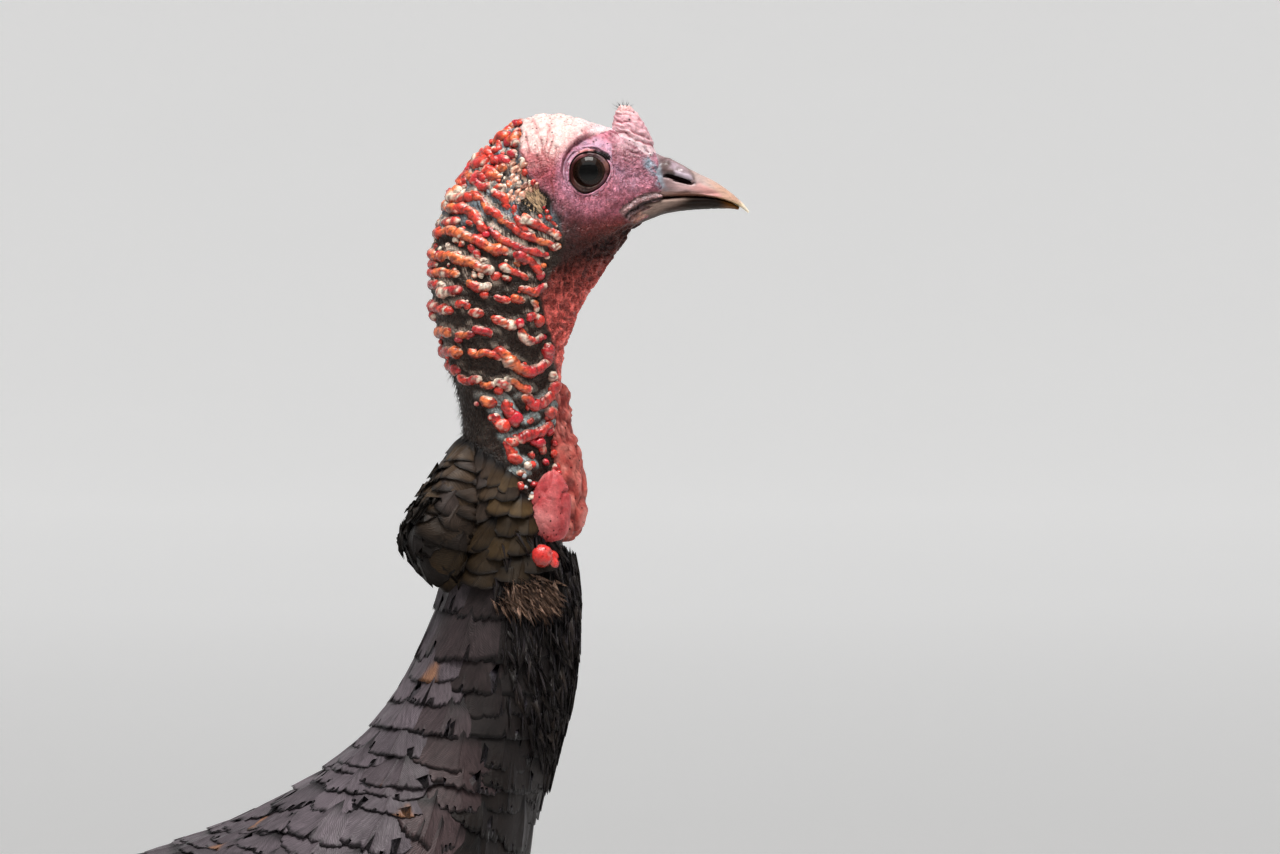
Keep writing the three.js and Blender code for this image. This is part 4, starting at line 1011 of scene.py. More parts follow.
def wattle_relief(p, share):
    folds = 1.0 * creases(p * (1, 1, 0.55), 11, 87, 0.06) + 0.35 * creases(p * (1, 1, 0.7), 4.5, 88, 0.10)
    return 0.9 * noise(p, 9, 86) - folds + 0.1 * noise(p, 2.2, 89)


def wattle_colour(p, share):
    fine = rough(p, 3.5, 90)
    colour = mixed(ramp(fine, -0.5, 0.7), (0.38, 0.045, 0.050), (0.52, 0.13, 0.13))
    # Paler patches, more towards the rear: partly the skin's own patches, partly a painted highlight on the rear side.
    colour = mixed(ramp(noise(p, 9, 91) - 0.1 * (p[..., 0] + 16), 0.0, 0.9) * 0.55, colour, (0.66, 0.27, 0.26))
    # Painted shade in the creases of the folds.
    deep = 0.7 * creases(p * (1, 1, 0.55), 11, 87, 0.06) + 0.3 * creases(p * (1, 1, 0.7), 4.5, 88, 0.09)
    return mixed(np.minimum(deep, 0.8), colour, (0.30, 0.035, 0.035))


def wattle_rows():
    share = np.linspace(-1, 1, 13)
    wide = np.maximum(1 - np.abs(share) ** 2.3, 0.004) ** (1 / 2.3)
    wide = wide * (0.95 + 0.27 * share)
    x, z, side = -16.5, -129.3, 15.5
    middle = x + 1.5 * (1 - share)
    rows = zip(share, wide, middle)
    return [[m - 8.4 * w, z - 14.2 * s + 1.2 * w, m + 8.4 * w, z - 14.2 * s - 1.2 * w, 6.5 * w, 0.5] for s, w, m in rows], side


def near_ridges(p, paths):
    """For each point: how close it is to a ridge's line, from 0 to 1 at the line, and whether it is above it."""
    line = np.vstack([spot for spot, *_ in paths])
    wide = np.concatenate([np.full(len(spot), radius) for spot, _, radius in paths])
    tree = KDTree(len(line))
    for k, spot in enumerate(line):
        tree.insert(spot, k)
    tree.balance()
    close, above = np.zeros(p.shape[:-1]), np.zeros(p.shape[:-1])
    for place in np.argwhere((over_lumps(p) > -4) & (over_feathers(p) < 4)):
        spot, k, far = tree.find(p[tuple(place)])
        close[tuple(place)] = np.clip(1.6 - far / (wide[k] + 1.1), 0, 1)
        above[tuple(place)] = np.clip((p[tuple(place)][2] - spot[2]) / (wide[k] + 0.8), -1, 1)
    return close, above


def add_flesh(heap, skin, paths):
    """All the skin as one heap: trunk, neck and head with folds, lids, snood, dewlap and wattles."""
    close, above = near_ridges(skin.bed.points, paths)
    p = skin.bed.points
    lift = skin_lift(p) + 0.9 * ramp(close, 0, 1)
    p = p + skin.bed.out * lift[..., None]
    reach = np.interp(p[..., 2], [-19.5, -16, -12, -10, -8, -5, 0, 7], [0, 0.5, 3.0, 5.5, 5.0, 2.8, 1.0, 0]) + 1.1 * noise(p, 3, 91)
    front = (1 - ramp(skin.rows, 0, 0.8))[:, None]
    p[..., 0] += reach * front
    p[..., 1] -= np.sign(p[..., 1]) * 1.5 * front * ramp(-p[..., 2], 3, 8) * ramp(np.abs(p[..., 1]), 3, 8)
    inside = lid_edge(np.arctan2(p[..., 2], p[..., 0])) + 0.8 - np.hypot(p[..., 0], p[..., 2])
    sunk = ramp(inside, 0, 1.6) * (np.abs(p[..., 1]) > 6) * (np.abs(p[..., 2]) < 12)
    p[..., 1] -= np.sign(p[..., 1]) * 6.5 * sunk
    mouth = [skin_end(p[0], inset) for inset in (5.0, 2.2, 0.8)]
    rump = [skin_end(p[-1], inset) for inset in (2.0, 8.0, 18.0)]
    grid = np.concatenate([mouth, p, rump])
    flat, faces = closed_grid(grid)
    colour = skin_colour(flat)
    share = np.zeros(len(flat))
    share[3 * SKIN_AROUND : 3 * SKIN_AROUND + close.size] = (ramp(close, 0.1, 0.6) * ramp(above, -0.5, 0.5)).ravel()
    folds = ramp(rough(flat * (0.5, 1, 1.5), 1.8, 24) + 0.5 * noise(flat, 7, 25), -0.05, 0.25) * ramp(over_lumps(flat), 2, 6)
    low = ramp(-flat[:, 2], 80, 92) * (1 - ramp(-flat[:, 2], 125, 131))
    rims = share * np.maximum(folds * (0.45 + 0.55 * ramp(flat[:, 2], -60, -30)), 0.85 * low)
    colour = mixed(rims, colour, mixed(low, CREAM, (0.42, 0.50, 0.50)))
    heap.add(flat, faces, colour, bars=skin_grain(flat))
    for sign in (-1, 1):
        heap.add(*eyelids(skin, sign))
        rows, side = wattle_rows()
        points, faces, tints = lobe(rows, 56, 72, wattle_relief, wattle_colour)
        heap.add(points + (0, side * sign, 0), faces, tints)
    flare = lambda share: 1.6 * (1 - ramp(share, 0.0, 0.3)) - 0.7 * ramp(share, 0.55, 0.9)
    heap.add(*lobe(SNOOD, 64, 72, snood_relief, snood_colour, grow=flare))
    heap.add(*lobe(DEWLAP, 64, 72, flap_relief, flap_colour))
    for name, sign in SIDES:
        rows = [[x, y * sign, z, deep - 6, wide - 5] for x, z, deep, wide, y in THIGH]
        heap.add(*limb_skin(rows, name))


def skin_end(ring, inset):
    """A ring drawn in towards its middle, to close an end."""
    middle = ring.mean(0)
    away = ring - middle
    length = np.linalg.norm(away, axis=-1, keepdims=True)
    return middle + away * np.maximum(1 - inset / length, 0.05)


def stride_shift(name, z):
    """A thigh leans with its step: none at the hip, all of it at the floor."""
    return STRIDE[name] * np.clip((z + 488) / (FLOOR + 488), 0, 1)


def limb_skin(rows, name):
    at = np.linspace(0, len(rows) - 1, 32)
    r = smooth_rows(rows, at)
    angle = np.arange(48) * 2 * np.pi / 48
    p = np.stack([
        r[:, :1] + stride_shift(name, r[:, 2:3]) + r[:, 3:4] * np.cos(angle),
        r[:, 1:2] + r[:, 4:5] * np.sin(angle),
        r[:, 2:3] + 0 * angle,
    ], -1)
    flat, faces = closed_grid(p)
    return flat, faces, np.array(UNDERFEATHER)


# ---- Tubes and hairs ----
def tube_bundle(paths, radii, around=10):
    """Closed round tubes along paths (n, steps, 3) with radii (n, steps): points and faces."""
    n, steps = paths.shape[:2]
    ahead = unit(np.gradient(paths, axis=1))
    start = np.where(np.abs(ahead[:, :1, 2:]) < 0.9, np.array([0.0, 0, 1]), np.array([0.0, 1, 0]))
    side = unit(np.cross(start, ahead))
    up = np.cross(ahead, side)
    angle = np.arange(around) * 2 * np.pi / around
    ring = side[:, :, None] * np.cos(angle)[:, None] + up[:, :, None] * np.sin(angle)[:, None]
    points = paths[:, :, None] + ring * radii[:, :, None, None]
    ends = np.stack([paths[:, 0], paths[:, -1]], 1)
    per = steps * around + 2
    flat = np.concatenate([points.reshape(n, -1, 3), ends], 1)
    one = [
        grid_faces(steps, around)[:, ::-1],
        cap_faces(np.arange(around), steps * around, flip=True),
        cap_faces(np.arange(around) + (steps - 1) * around, steps * around + 1),
    ]
    shift = (np.arange(n) * per)[:, None, None]
    faces = [(f[None] + shift).reshape(-1, f.shape[1]) for f in one]
    return flat, faces


def hairs(roots, ways, lengths, width, bend, rng, steps=5, around=3, wander=0.25):
    """Thin tapering hairs that lean along their ways and droop by a share of their length."""
    share = np.linspace(0, 1, steps)[None, :, None]
    side = unit(np.cross(ways, rng.normal(size=ways.shape)))
    curve = side * rng.uniform(-wander, wander, (len(roots), 1)) + np.asarray(bend)
    paths = roots[:, None] + (ways[:, None] * share + curve[:, None] * share**2) * lengths[:, None, None]
    radii = width * (1 - 0.85 * share[..., 0]) * rng.uniform(0.75, 1.25, (len(roots), 1))
    return tube_bundle(paths, radii, around)


# ---- Lumps of the neck ----
LUMP_RED = (0.62, 0.046, 0.028)
LUMP_DEEP = (0.50, 0.020, 0.034)
LUMP_ORANGE = (0.78, 0.19, 0.060)
# Cream patches of the lumps; also the painted highlight on the upper sides of the ridges.
LUMP_CREAM_AND_HIGHLIGHT = (0.78, 0.66, 0.53)
LUMP_SHADE = (0.17, 0.018, 0.012)
# Ridges of the neck in the side view: radius, then the line of the ridge from back to front
RIDGES = [
    (1.9, [(-54, -6.2), (-52.6, -9.6), (-50.1, -11), (-46.7, -9.9), (-44.2, -11.3)]),
    (1.7, [(-56.8, -12.4), (-52.3, -14.6), (-48.4, -14.6), (-44.5, -16.8), (-41.7, -20.2), (-40.3, -23), (-39.8, -24.6)]),
    (1.4, [(-58.7, -20.4), (-55.1, -19.9), (-51.8, -19.6), (-49.3, -19.2)]),
    (1.8, [(-60.7, -23.5), (-56.2, -24.1), (-51.8, -23.5), (-47.3, -25.2), (-42.8, -26.9), (-38.9, -29.1), (-35, -30.2), (-30.6, -32.1)]),
    (1.8, [(-62.6, -30.8), (-57.9, -32.7), (-54, -32.4), (-50.1, -34.1), (-46.2, -35.2), (-42.8, -36.9), (-38.9, -37.7), (-36.2, -37.4)]),
    (1.3, [(-35, -36.3), (-31.7, -37.7), (-27.2, -39.7), (-23.1, -42)]),
    (1.7, [(-63.5, -34.9), (-60.1, -35.8), (-57.6, -35.8)]),
    (1.5, [(-61.5, -39.1), (-57.3, -39.1), (-53.4, -39.9), (-49, -40.2)]),
    (1.4, [(-45.6, -7.6), (-41.7, -10.7), (-40.1, -12.9), (-37.3, -15.7), (-33.4, -18.8), (-29.5, -21.3), (-26.1, -23.8), (-21.7, -25.7), (-17.8, -27.4), (-13.3, -28.8), (-10.3, -29.6)]),
    (1.5, [(-39.5, -21.3), (-36.2, -24.1), (-33.9, -26.3), (-30.6, -28), (-26.1, -29.4), (-21.7, -30.8), (-17.8, -32.4), (-15, -33.3)]),
    (1.7, [(-29.5, -31.6), (-26.1, -33), (-22.8, -34.7), (-21.1, -36.9), (-19.4, -39.1), (-18.4, -40.5)]),
    (1.4, [(-37.8, -7.4), (-35, -9), (-32.8, -10.4), (-32.1, -12.9), (-30.5, -15.4)]),
    (1.6, [(-45.6, -2.9), (-42.8, -4.6), (-40.9, -6.2), (-37.3, -5.7)]),
    (1.5, [(-26.1, -16.8), (-22.8, -19.1), (-18.9, -21), (-16.1, -22.7), (-12.8, -24.3), (-9.4, -25.5)]),
    (1.3, [(-28.9, -12.4), (-28.1, -17.4), (-26.1, -20.7), (-23.3, -23.2), (-20, -24.3)]),
    (1.1, [(-16.7, -17.9), (-13.9, -20.2), (-11.4, -22.1)]),
    (1.4, [(-40.6, -0.4), (-37.8, 0.2), (-35, -1.8), (-32.5, -1.2)]),
    (1.4, [(-44, 8), (-41.2, 7.7), (-39.8, 4.3), (-38.4, 2.7)]),
    (1.6, [(-32.3, 7.4), (-29.5, 6.5), (-26.7, 6.2)]),
    (1.5, [(-51.8, -3.5), (-49, -1.9), (-45.6, -1.7), (-44.4, -4)]),
    (1.3, [(-35, 11), (-34.5, 9.1), (-35.6, 7.7), (-37.3, 8.5)]),
    (1.3, [(-50.1, 0.7), (-47.9, 1.6), (-45.1, 2.7), (-43.1, 1)]),
    (1.3, [(-35, 13.3), (-32.3, 14.7), (-30, 15.8)]),
    (1.2, [(-31.4, -2.6), (-30.7, -5.1), (-30, -7.1)]),
    (1.4, [(-62.6, -43.6), (-58.1, -43.8), (-54.5, -44.4)]),
    (1.6, [(-58.4, -46.9), (-53.9, -46.5), (-48.4, -46.1)]),
    (1.6, [(-47.6, -42.7), (-43.7, -44.4), (-40.1, -45.1), (-37.4, -43.6)]),
    (1.3, [(-37.2, -48.5), (-33.5, -49.8), (-29.9, -50.2)]),
    (1.5, [(-30.6, -48.5), (-27.5, -49.7), (-24.4, -50.1)]),
    (1.0, [(-23, -49.7), (-20.9, -51.6), (-19.8, -54.6)]),
    (1.5, [(-27.8, -45.1), (-23.9, -45.9), (-20.3, -46.8), (-17.9, -45.3), (-16.6, -43.1)]),
    (1.7, [(-61.7, -51.9), (-57.5, -53.1), (-53.6, -54.1)]),
    (1.3, [(-52, -51.7), (-48.5, -51.3), (-45.4, -53.1)]),
    (1.5, [(-47, -54.3), (-43.7, -54.9), (-40, -54.9)]),
    (1.6, [(-38.3, -56.5), (-34.1, -58.2), (-30.5, -59.1), (-26.6, -58.8)]),
    (1.4, [(-24.5, -57.6), (-21.8, -55.5), (-19.4, -57.3), (-21.2, -59.7)]),
    (1.3, [(-26.2, -60.3), (-25.8, -63.3), (-23, -65.7), (-20, -64.9), (-18.2, -62.7)]),
    (1.7, [(-61.4, -56.7), (-58.7, -55.9)]),
    (1.7, [(-59.9, -62.9), (-55.7, -61.9), (-52.4, -63.3)]),
    (1.3, [(-51.5, -63.5), (-47.9, -63.5), (-43.6, -62.6)]),
    (1.3, [(-45.2, -60.9), (-41.9, -61.8), (-36.8, -62.9)]),
    (1.7, [(-56.9, -70.2), (-52.7, -69.9), (-48.2, -70.3)]),
    (1.5, [(-46.7, -68.8), (-43.1, -71.1), (-40.1, -70), (-36.5, -70.8), (-33.2, -72.6)]),
    (1.7, [(-37, -68.4), (-32.9, -70.8), (-29.9, -73.8), (-26.3, -76.5), (-22.7, -77.8), (-18.5, -75.3), (-16, -71.4), (-16.4, -66)]),
    (1.5, [(-55.4, -74.2), (-52.1, -76.8), (-48.9, -76.9)]),
    (1.4, [(-50.2, -79.2), (-46.7, -81.3), (-43.7, -79.9), (-40.6, -80.8)]),
    (1.4, [(-42.2, -82.2), (-38.3, -82.9), (-35.9, -81.6)]),
    (1.4, [(-37.1, -81.6), (-33.5, -82.2), (-29.8, -84.3)]),
    (1.3, [(-33.2, -80.5), (-29.3, -81.1), (-26.9, -83.5), (-22.4, -85)]),
    (1.5, [(-42, -87.5), (-38.9, -89.4), (-35, -90.3)]),
    (1.7, [(-26.6, -87.3), (-23.6, -88.2), (-21.8, -90.9), (-17.9, -88.9), (-14.9, -85.9), (-13.6, -82.2), (-15.8, -77.7)]),
    (1.8, [(-17.9, -92.4), (-14.9, -93.9), (-13.8, -91.2)]),
    (1.5, [(-33.1, -88.3), (-31.2, -92.7), (-28.7, -97.1)]),
    (1.5, [(-36.2, -93.3), (-35, -97.7), (-32.5, -100.2)]),
    (1.2, [(-21.2, -95.8), (-24.4, -97.7)]),
    (1.6, [(-28.7, -104.6), (-25.6, -103.3), (-20.6, -101.4), (-18.1, -100.2), (-15, -98.3)]),
    (1.5, [(-32.5, -103.3), (-30.6, -108.3), (-29.4, -112.1)]),
    (1.4, [(-25.6, -113.3), (-21.9, -114.6)]),
    (1.3, [(-28.7, -117.1), (-24.4, -117.1)]),
]
# Round lumps in the side view: x, z and radius
RED_KNOBS = [
    (-20.0, -149.6, 4.8), (-16.4, -152.2, 3.2), (-15.2, -149.4, 2.4), (-18.6, -123.2, 2.5), (-17.2, -121.2, 2.3), (-15.6, -119.2, 2.0),
    (-14.3, -117.4, 1.6),
]
PALE_KNOBS = [(-25.6, -118.4, 1.0), (-23.5, -120.2, 0.75), (-24.9, -122.6, 1.15), (-22.4, -125.2, 0.85), (-23.7, -127.3, 0.6)]
KNOBS = [
    (-28.6, 19.1, 1.9), (-27.2, 15.5, 1.4), (-31.1, 11, 2.1), (-37.3, 11, 1.4), (-40.1, 9.6, 1.1), (-42.3, 9.1, 1.2), (-29.5, 6.5, 1.8),
    (-38.7, 0.3, 2.1), (-40.9, -6.4, 1.9), (-47.9, 1.1, 1.5), (-39.8, -24.6, 1.7), (-18.6, -40.2, 1.8), (-33.9, -10.1, 1.4), (-28.1, -11, 1),
    (-54.5, -14.6, 1.8), (-50.4, -15.4, 1.8), (-57.6, -32.7, 1.8), (-61.2, -31, 1.7), (-40.1, -47.7, 1.6), (-53.6, -53.9, 2), (-26.9, -58.8, 2),
    (-19.7, -57.7, 2.2), (-50, -65.1, 1.7), (-60.5, -66.9, 1.2), (-35, -84.9, 1.7), (-28.7, -96, 2.9), (-33.2, -98.7, 2.5), (-16.1, -100.9, 2.3),
    (-19.7, -105.6, 2.3), (-21.8, -105.3, 1.6), (-18.5, -108, 1.7), (-29.9, -105, 2), (-28.7, -111.6, 2.5), (-14.3, -109.8, 1.8), (-17.3, -112.9, 1.8),
    (-22.7, -113.7, 1.8), (-14.9, -100.2, 1.4), (-23, -77.7, 2.1), (-43.1, -90, 1.1), (-17.9, -64.2, 1.3), (-17.2, -14.0, 0.9),
    (-15.8, -15.4, 1.1), (-15.2, -17.6, 1.2), (-18.4, -17.6, 1.0),
]


def ridge_paths(skin):
    """Every ridge as points on the bare skin, the way out at each, and a radius."""
    rng = np.random.default_rng(17)
    paths = []
    for sign in (-1, 1):
        for number, (radius, line) in enumerate(RIDGES):
            line = np.array(line)
            if sign > 0:
                line = line + (line[:, :1] > -50) * rng.uniform(-1.5, 1.5, (1, 2))
            dense = smooth_rows(line, np.linspace(0, len(line) - 1, 24 * (len(line) - 1) + 1))
            i, j = skin.locate(dense[:, 0], dense[:, 1], sign)
            first = skin.bed.points[int(i[0]), 0]
            if np.hypot(first[0] - line[0, 0], first[2] - line[0, 1]) < 8.5 and line[0, 0] < -50 + 0.3 * (line[0, 1] + 10):
                nape = np.linspace(0, 1, 30)[:-1]
                away = j[0] - skin.bed.columns if sign < 0 else j[0]
                i = np.concatenate([i[0] + 1.2 * np.sin(nape * 3 + number), i])
                j = np.concatenate([nape * away, j - skin.bed.columns if sign < 0 else j])
            spot, out, lie, across = skin.bed.frame(i, j)
            paths.append((spot, out, radius * rng.uniform(0.9, 1.05)))
    return paths


def add_ridge(heap, points, out, radius, rng, pale=0.5, hue=None, tipped=False):
    """One knobbly ridge along points on the skin: beads of flesh in a row, here and there with a bead beside it."""
    along = np.concatenate([[0], np.cumsum(np.linalg.norm(np.diff(points, axis=0), axis=1))])
    length = along[-1]
    steps = max(int(length / 0.82) + 1, 8)
    s = np.linspace(0, length, steps)
    path = np.stack([np.interp(s, along, points[:, k]) for k in range(3)], -1)
    away = unit(np.stack([np.interp(s, along, out[:, k]) for k in range(3)], -1))
    sideways = unit(np.cross(away, np.gradient(path, axis=0)))
    beads = np.cumsum(rng.uniform(2.6, 6.2, int(length / 2.6) + 3)) - 2
    swell = 0.98 + sum(size * bell(s - spot, 1.6) for spot, size in zip(beads, rng.uniform(0.0, 0.4, len(beads))))
    end = np.sqrt(np.clip(1 - np.clip(1 - np.minimum(s, length - s) / (1.9 * radius), 0, 1) ** 2, 0.03, 1))
    r = 1.2 * radius * swell * end
    path = path + away * (radius * (0.26 * end + 0.35 * (swell - 1)))[:, None]
    path = path + sideways * (0.5 * noise(path, 2.7, 51) * np.minimum(1, length / 6))[:, None]
    around = 12
    flat, faces = tube_bundle(path[None], r[None], around)
    flat = flat.reshape(-1, 3)
    middle = np.vstack([np.repeat(path, around, 0), path[:1], path[-1:]])
    outward = np.vstack([np.repeat(away, around, 0), away[:1], away[-1:]])
    lean = unit(flat - middle)
    cracks = pebbles(flat, 2.6, 55)[1]
    flat = flat + lean * (0.22 * radius * noise(flat, 3.1, 50) + 0.3 * noise(flat, 1.8, 52) + 0.15 * noise(flat, 0.9, 53)
                          - 0.22 * ramp(0.14 - cracks, 0, 0.14))[:, None]
    luck = rng.uniform(-0.35, 0.35)
    tone = noise(flat, 7.0, 54) + 0.5 * noise(flat, 1.9, 56)
    colour = mixed(ramp(tone + luck, -0.2, 0.5), LUMP_RED, LUMP_ORANGE) if hue is None else np.asarray(hue) + 0 * flat
    colour = mixed(ramp(noise(flat, 4.5, 63) - luck, 0.15, 0.5) * 0.8, colour, np.asarray(hue) * 0.6 if hue else LUMP_DEEP)
    fresh = ramp(flat[:, 0] + 3 * noise(flat, 6, 65), -31, -22) * ramp(-flat[:, 2], 48, 70)
    colour = mixed(fresh * 0.8, colour, (0.52, 0.024, 0.030))
    start, stop = np.linalg.norm(flat - path[0], axis=1), np.linalg.norm(flat - path[-1], axis=1)
    tips = bell(start, 2.6) * (tipped or rng.random() < 0.3) + bell(stop, 2.6) * (rng.random() < 0.6)
    speck = noise(flat, 3.2, 58) + 0.6 * noise(flat, 1.2, 60)
    white = ramp(speck + 0.9 * noise(flat, 8.0, 59) + 1.5 * tips, 0.95 - 0.5 * pale, 1.12 - 0.5 * pale)
    facing = (lean * outward).sum(1)
    under = ramp(-lean[:, 2] - 0.4 * facing, -0.25, 0.5)
    # Painted highlight: the ridge's upper sides are paler, besides its cream patches.
    above = ramp(lean[:, 2] - 0.7 * facing, 0.1, 0.6) * ramp(speck, -0.3, 0.2)
    colour = mixed(under * 0.85, colour, LUMP_SHADE)
    colour = mixed(np.clip(white + 0.8 * above, 0, 1) * (1 - 0.5 * under), colour, LUMP_CREAM_AND_HIGHLIGHT)
    # Painted shade where the ridge faces into the skin it lies on.
    colour = mixed(ramp(-facing, -0.25, 0.35) * 0.85, colour, (0.035, 0.010, 0.008))
    # Painted shade in the sunken cracks between the beads.
    colour = mixed(ramp(0.13 - cracks, 0, 0.09) * 0.8, colour, (0.10, 0.012, 0.010))
    heap.add(flat, faces, colour, bars=0.4)
    if length > 5:
        for spot in np.arange(rng.uniform(1, 7), length - 1, rng.uniform(7, 13)):
            k = int(spot / length * (steps - 1))
            side = sideways[k] * rng.choice((-1, 1)) * radius * rng.uniform(0.7, 1.2)
            place = path[k] - away[k] * 0.3 * radius + side
            if over_lumps(place[None])[0] > 2:
                add_knob(heap, place, away[k], radius * rng.uniform(0.5, 0.8), rng, LUMP_RED)


def add_knob(heap, spot, out, radius, rng, colour, pale=0.8, bumps=1.0):
    """A round lump, a little flattened and sunk in the skin."""
    rows, around = 11, 16
    polar = np.linspace(0.1, np.pi - 0.1, rows)[:, None]
    angle = np.arange(around)[None, :] * 2 * np.pi / around
    side = unit(np.cross(out, (0.3, 0.1, 1.0)))
    up = np.cross(out, side)
    p = side * (np.sin(polar) * np.cos(angle))[..., None] * rng.uniform(0.85, 1.3)
    p = p + up * (np.sin(polar) * np.sin(angle))[..., None] * rng.uniform(0.8, 1.15) + out * np.cos(polar)[..., None] * 0.95
    way = unit(p)
    p = spot + out * radius * 0.34 + p * radius
    p = p + bumps * (0.24 * radius * noise(p, 2.0, 57) + 0.14 * noise(p, 0.9, 60))[..., None] * way
    flat, faces = closed_grid(p)
    lean = unit(flat - spot - out * radius * 0.34)
    tone = np.asarray(colour) * rng.uniform(0.75, 1.15) + 0 * flat
    tone = mixed(ramp(noise(flat, 2.6, 58) + 0.5 * noise(flat, 1.1, 61), 0.35, 0.6) * pale, tone, LUMP_CREAM_AND_HIGHLIGHT)
    tone = mixed(ramp(-lean[:, 2] - 0.4 * (lean @ out), -0.25, 0.5) * 0.8, tone, LUMP_SHADE)
    # Painted shade where the lump faces into the skin.
    heap.add(flat, faces, mixed(ramp(-(lean @ out), -0.3, 0.3) * 0.85, tone, (0.035, 0.010, 0.008)), bars=0.3)


def add_bean(heap, bed, i, j, size, reach, turn, rng, pale=0.3, hue=None):
    """A short ridge at a grid place, turned away from the way across the coat."""
    spot, out, lie, across = (v[0] for v in bed.frame(np.array([i]), np.array([j])))
    run = np.linspace(-1, 1, 9)[:, None] * reach
    way = across * np.cos(turn) + lie * np.sin(turn)
    add_ridge(heap, spot + way * run - out * 0.12 * run**2, np.repeat(out[None], 9, 0), size, rng, pale, hue)


def add_lumps(heap, skin, paths):
    """Ridges that ring the neck, and the round lumps of the head's back and of the lower neck."""
    rng = np.random.default_rng(18)
    bed = skin.bed
    for spot, out, radius in paths:
        low = ramp(-spot[:, 2].mean(), 50, 90)
        tipped = spot[:, 2].mean() < -78
        add_ridge(heap, spot, out, radius * (1 + 0.1 * low), rng, rng.uniform(0.0, 0.8) + 0.3 * low, tipped=tipped)
    x, z, radius = np.array(KNOBS).T
    for sign in (-1, 1):
        i, j = skin.locate(x + (sign > 0) * rng.uniform(-1, 1, len(x)), z, sign)
        spots, outs, _, _ = bed.frame(i, j)
        for spot, out, size in zip(spots, outs, radius):
            add_knob(heap, spot, out, size * rng.uniform(0.95, 1.1), rng, LUMP_DEEP if rng.random() < 0.55 else LUMP_RED, 0.45)
        for knob_x, knob_z, size in RED_KNOBS:
            i, j = skin.locate(np.array([knob_x]), np.array([knob_z]), sign)
            spot, out, _, _ = (v[0] for v in bed.frame(i, j))
            add_knob(heap, spot + out * (0.35 * size + 2.5 * (knob_z > -130)), out, size, rng, (0.62, 0.030, 0.026), 0.1, 0.4)
        for knob_x, knob_z, size in PALE_KNOBS:
            i, j = skin.locate(np.array([knob_x]), np.array([knob_z]), sign)
            spot, out, _, _ = (v[0] for v in bed.frame(i, j))
            add_knob(heap, spot + out * 0.8, out, size, rng, (0.36, 0.41, 0.42), 0.5, 1.6)
    taken = np.vstack([spot[::4] for spot, *_ in paths])
    free = lambda p, far: np.min(((taken - p) ** 2).sum(1)) > far**2 and np.min((x - p[0]) ** 2 + (z - p[2]) ** 2) > far**2
    ear = lambda p, wide: np.hypot((p[..., 0] - EAR[0]) / wide, (p[..., 2] - EAR[1]) / wide) < 1
    petals = lambda p: (p[..., 0] > -33) & (p[..., 2] < 4.5) & (p[..., 2] > -12) & (over_lumps(p) > 0.8) & ~ear(p, 5.5)
    zones = [
        (lambda p: (over_lumps(p) > 0.6) & (p[..., 2] > -9) & ~petals(p) & ~ear(p, 7), 2.4, (1.25, 2.0), 1.8),
        (lambda p: (over_lumps(p) > 2.5) & (p[..., 2] < -9) & (p[..., 2] > -42) & ~ear(p, 7), 2.8, (0.8, 1.2), 2.6),
        (lambda p: (over_lumps(p) > 0) & (over_lumps(p) < 17) & (np.abs(p[..., 2] + 112) < 15) & (over_feathers(p) < 1), 4.6, (0.9, 1.5), 3.0),
    ]
    for inside, gap, sizes, far in zones:
        for i, j in spread_spots(bed, inside, gap, rng):
            if free(bed.points[int(i), int(j)], far):
                size = rng.uniform(*sizes)
                add_bean(heap, bed, i, j, size, size * rng.uniform(0.5, 2.2), rng.uniform(-1.2, 1.2), rng, rng.uniform(-0.3, 0.5))
    for i, j in spread_spots(bed, petals, 1.95, rng):
        turn = 1.35 + 0.5 * rng.normal() * 0.5
        add_bean(heap, bed, i, j, rng.uniform(0.75, 1.05), rng.uniform(1.5, 2.5), turn, rng, rng.uniform(0.4, 1.0), (0.70, 0.36, 0.25))


def spread_spots(surface, inside, gap, rng):
    """Random spots on a surface, about a gap apart, where a test of their place passes."""
    allowed = np.argwhere(inside(surface.points))
    rng.shuffle(allowed)
    kept = []
    places = np.empty((0, 3))
    for i, j in allowed:
        p = surface.points[i, j]
        if len(places) == 0 or np.min(((places - p) ** 2).sum(1)) > gap * gap:
            kept.append((float(i), float(j)))
            places = np.vstack([places, p])
    return kept


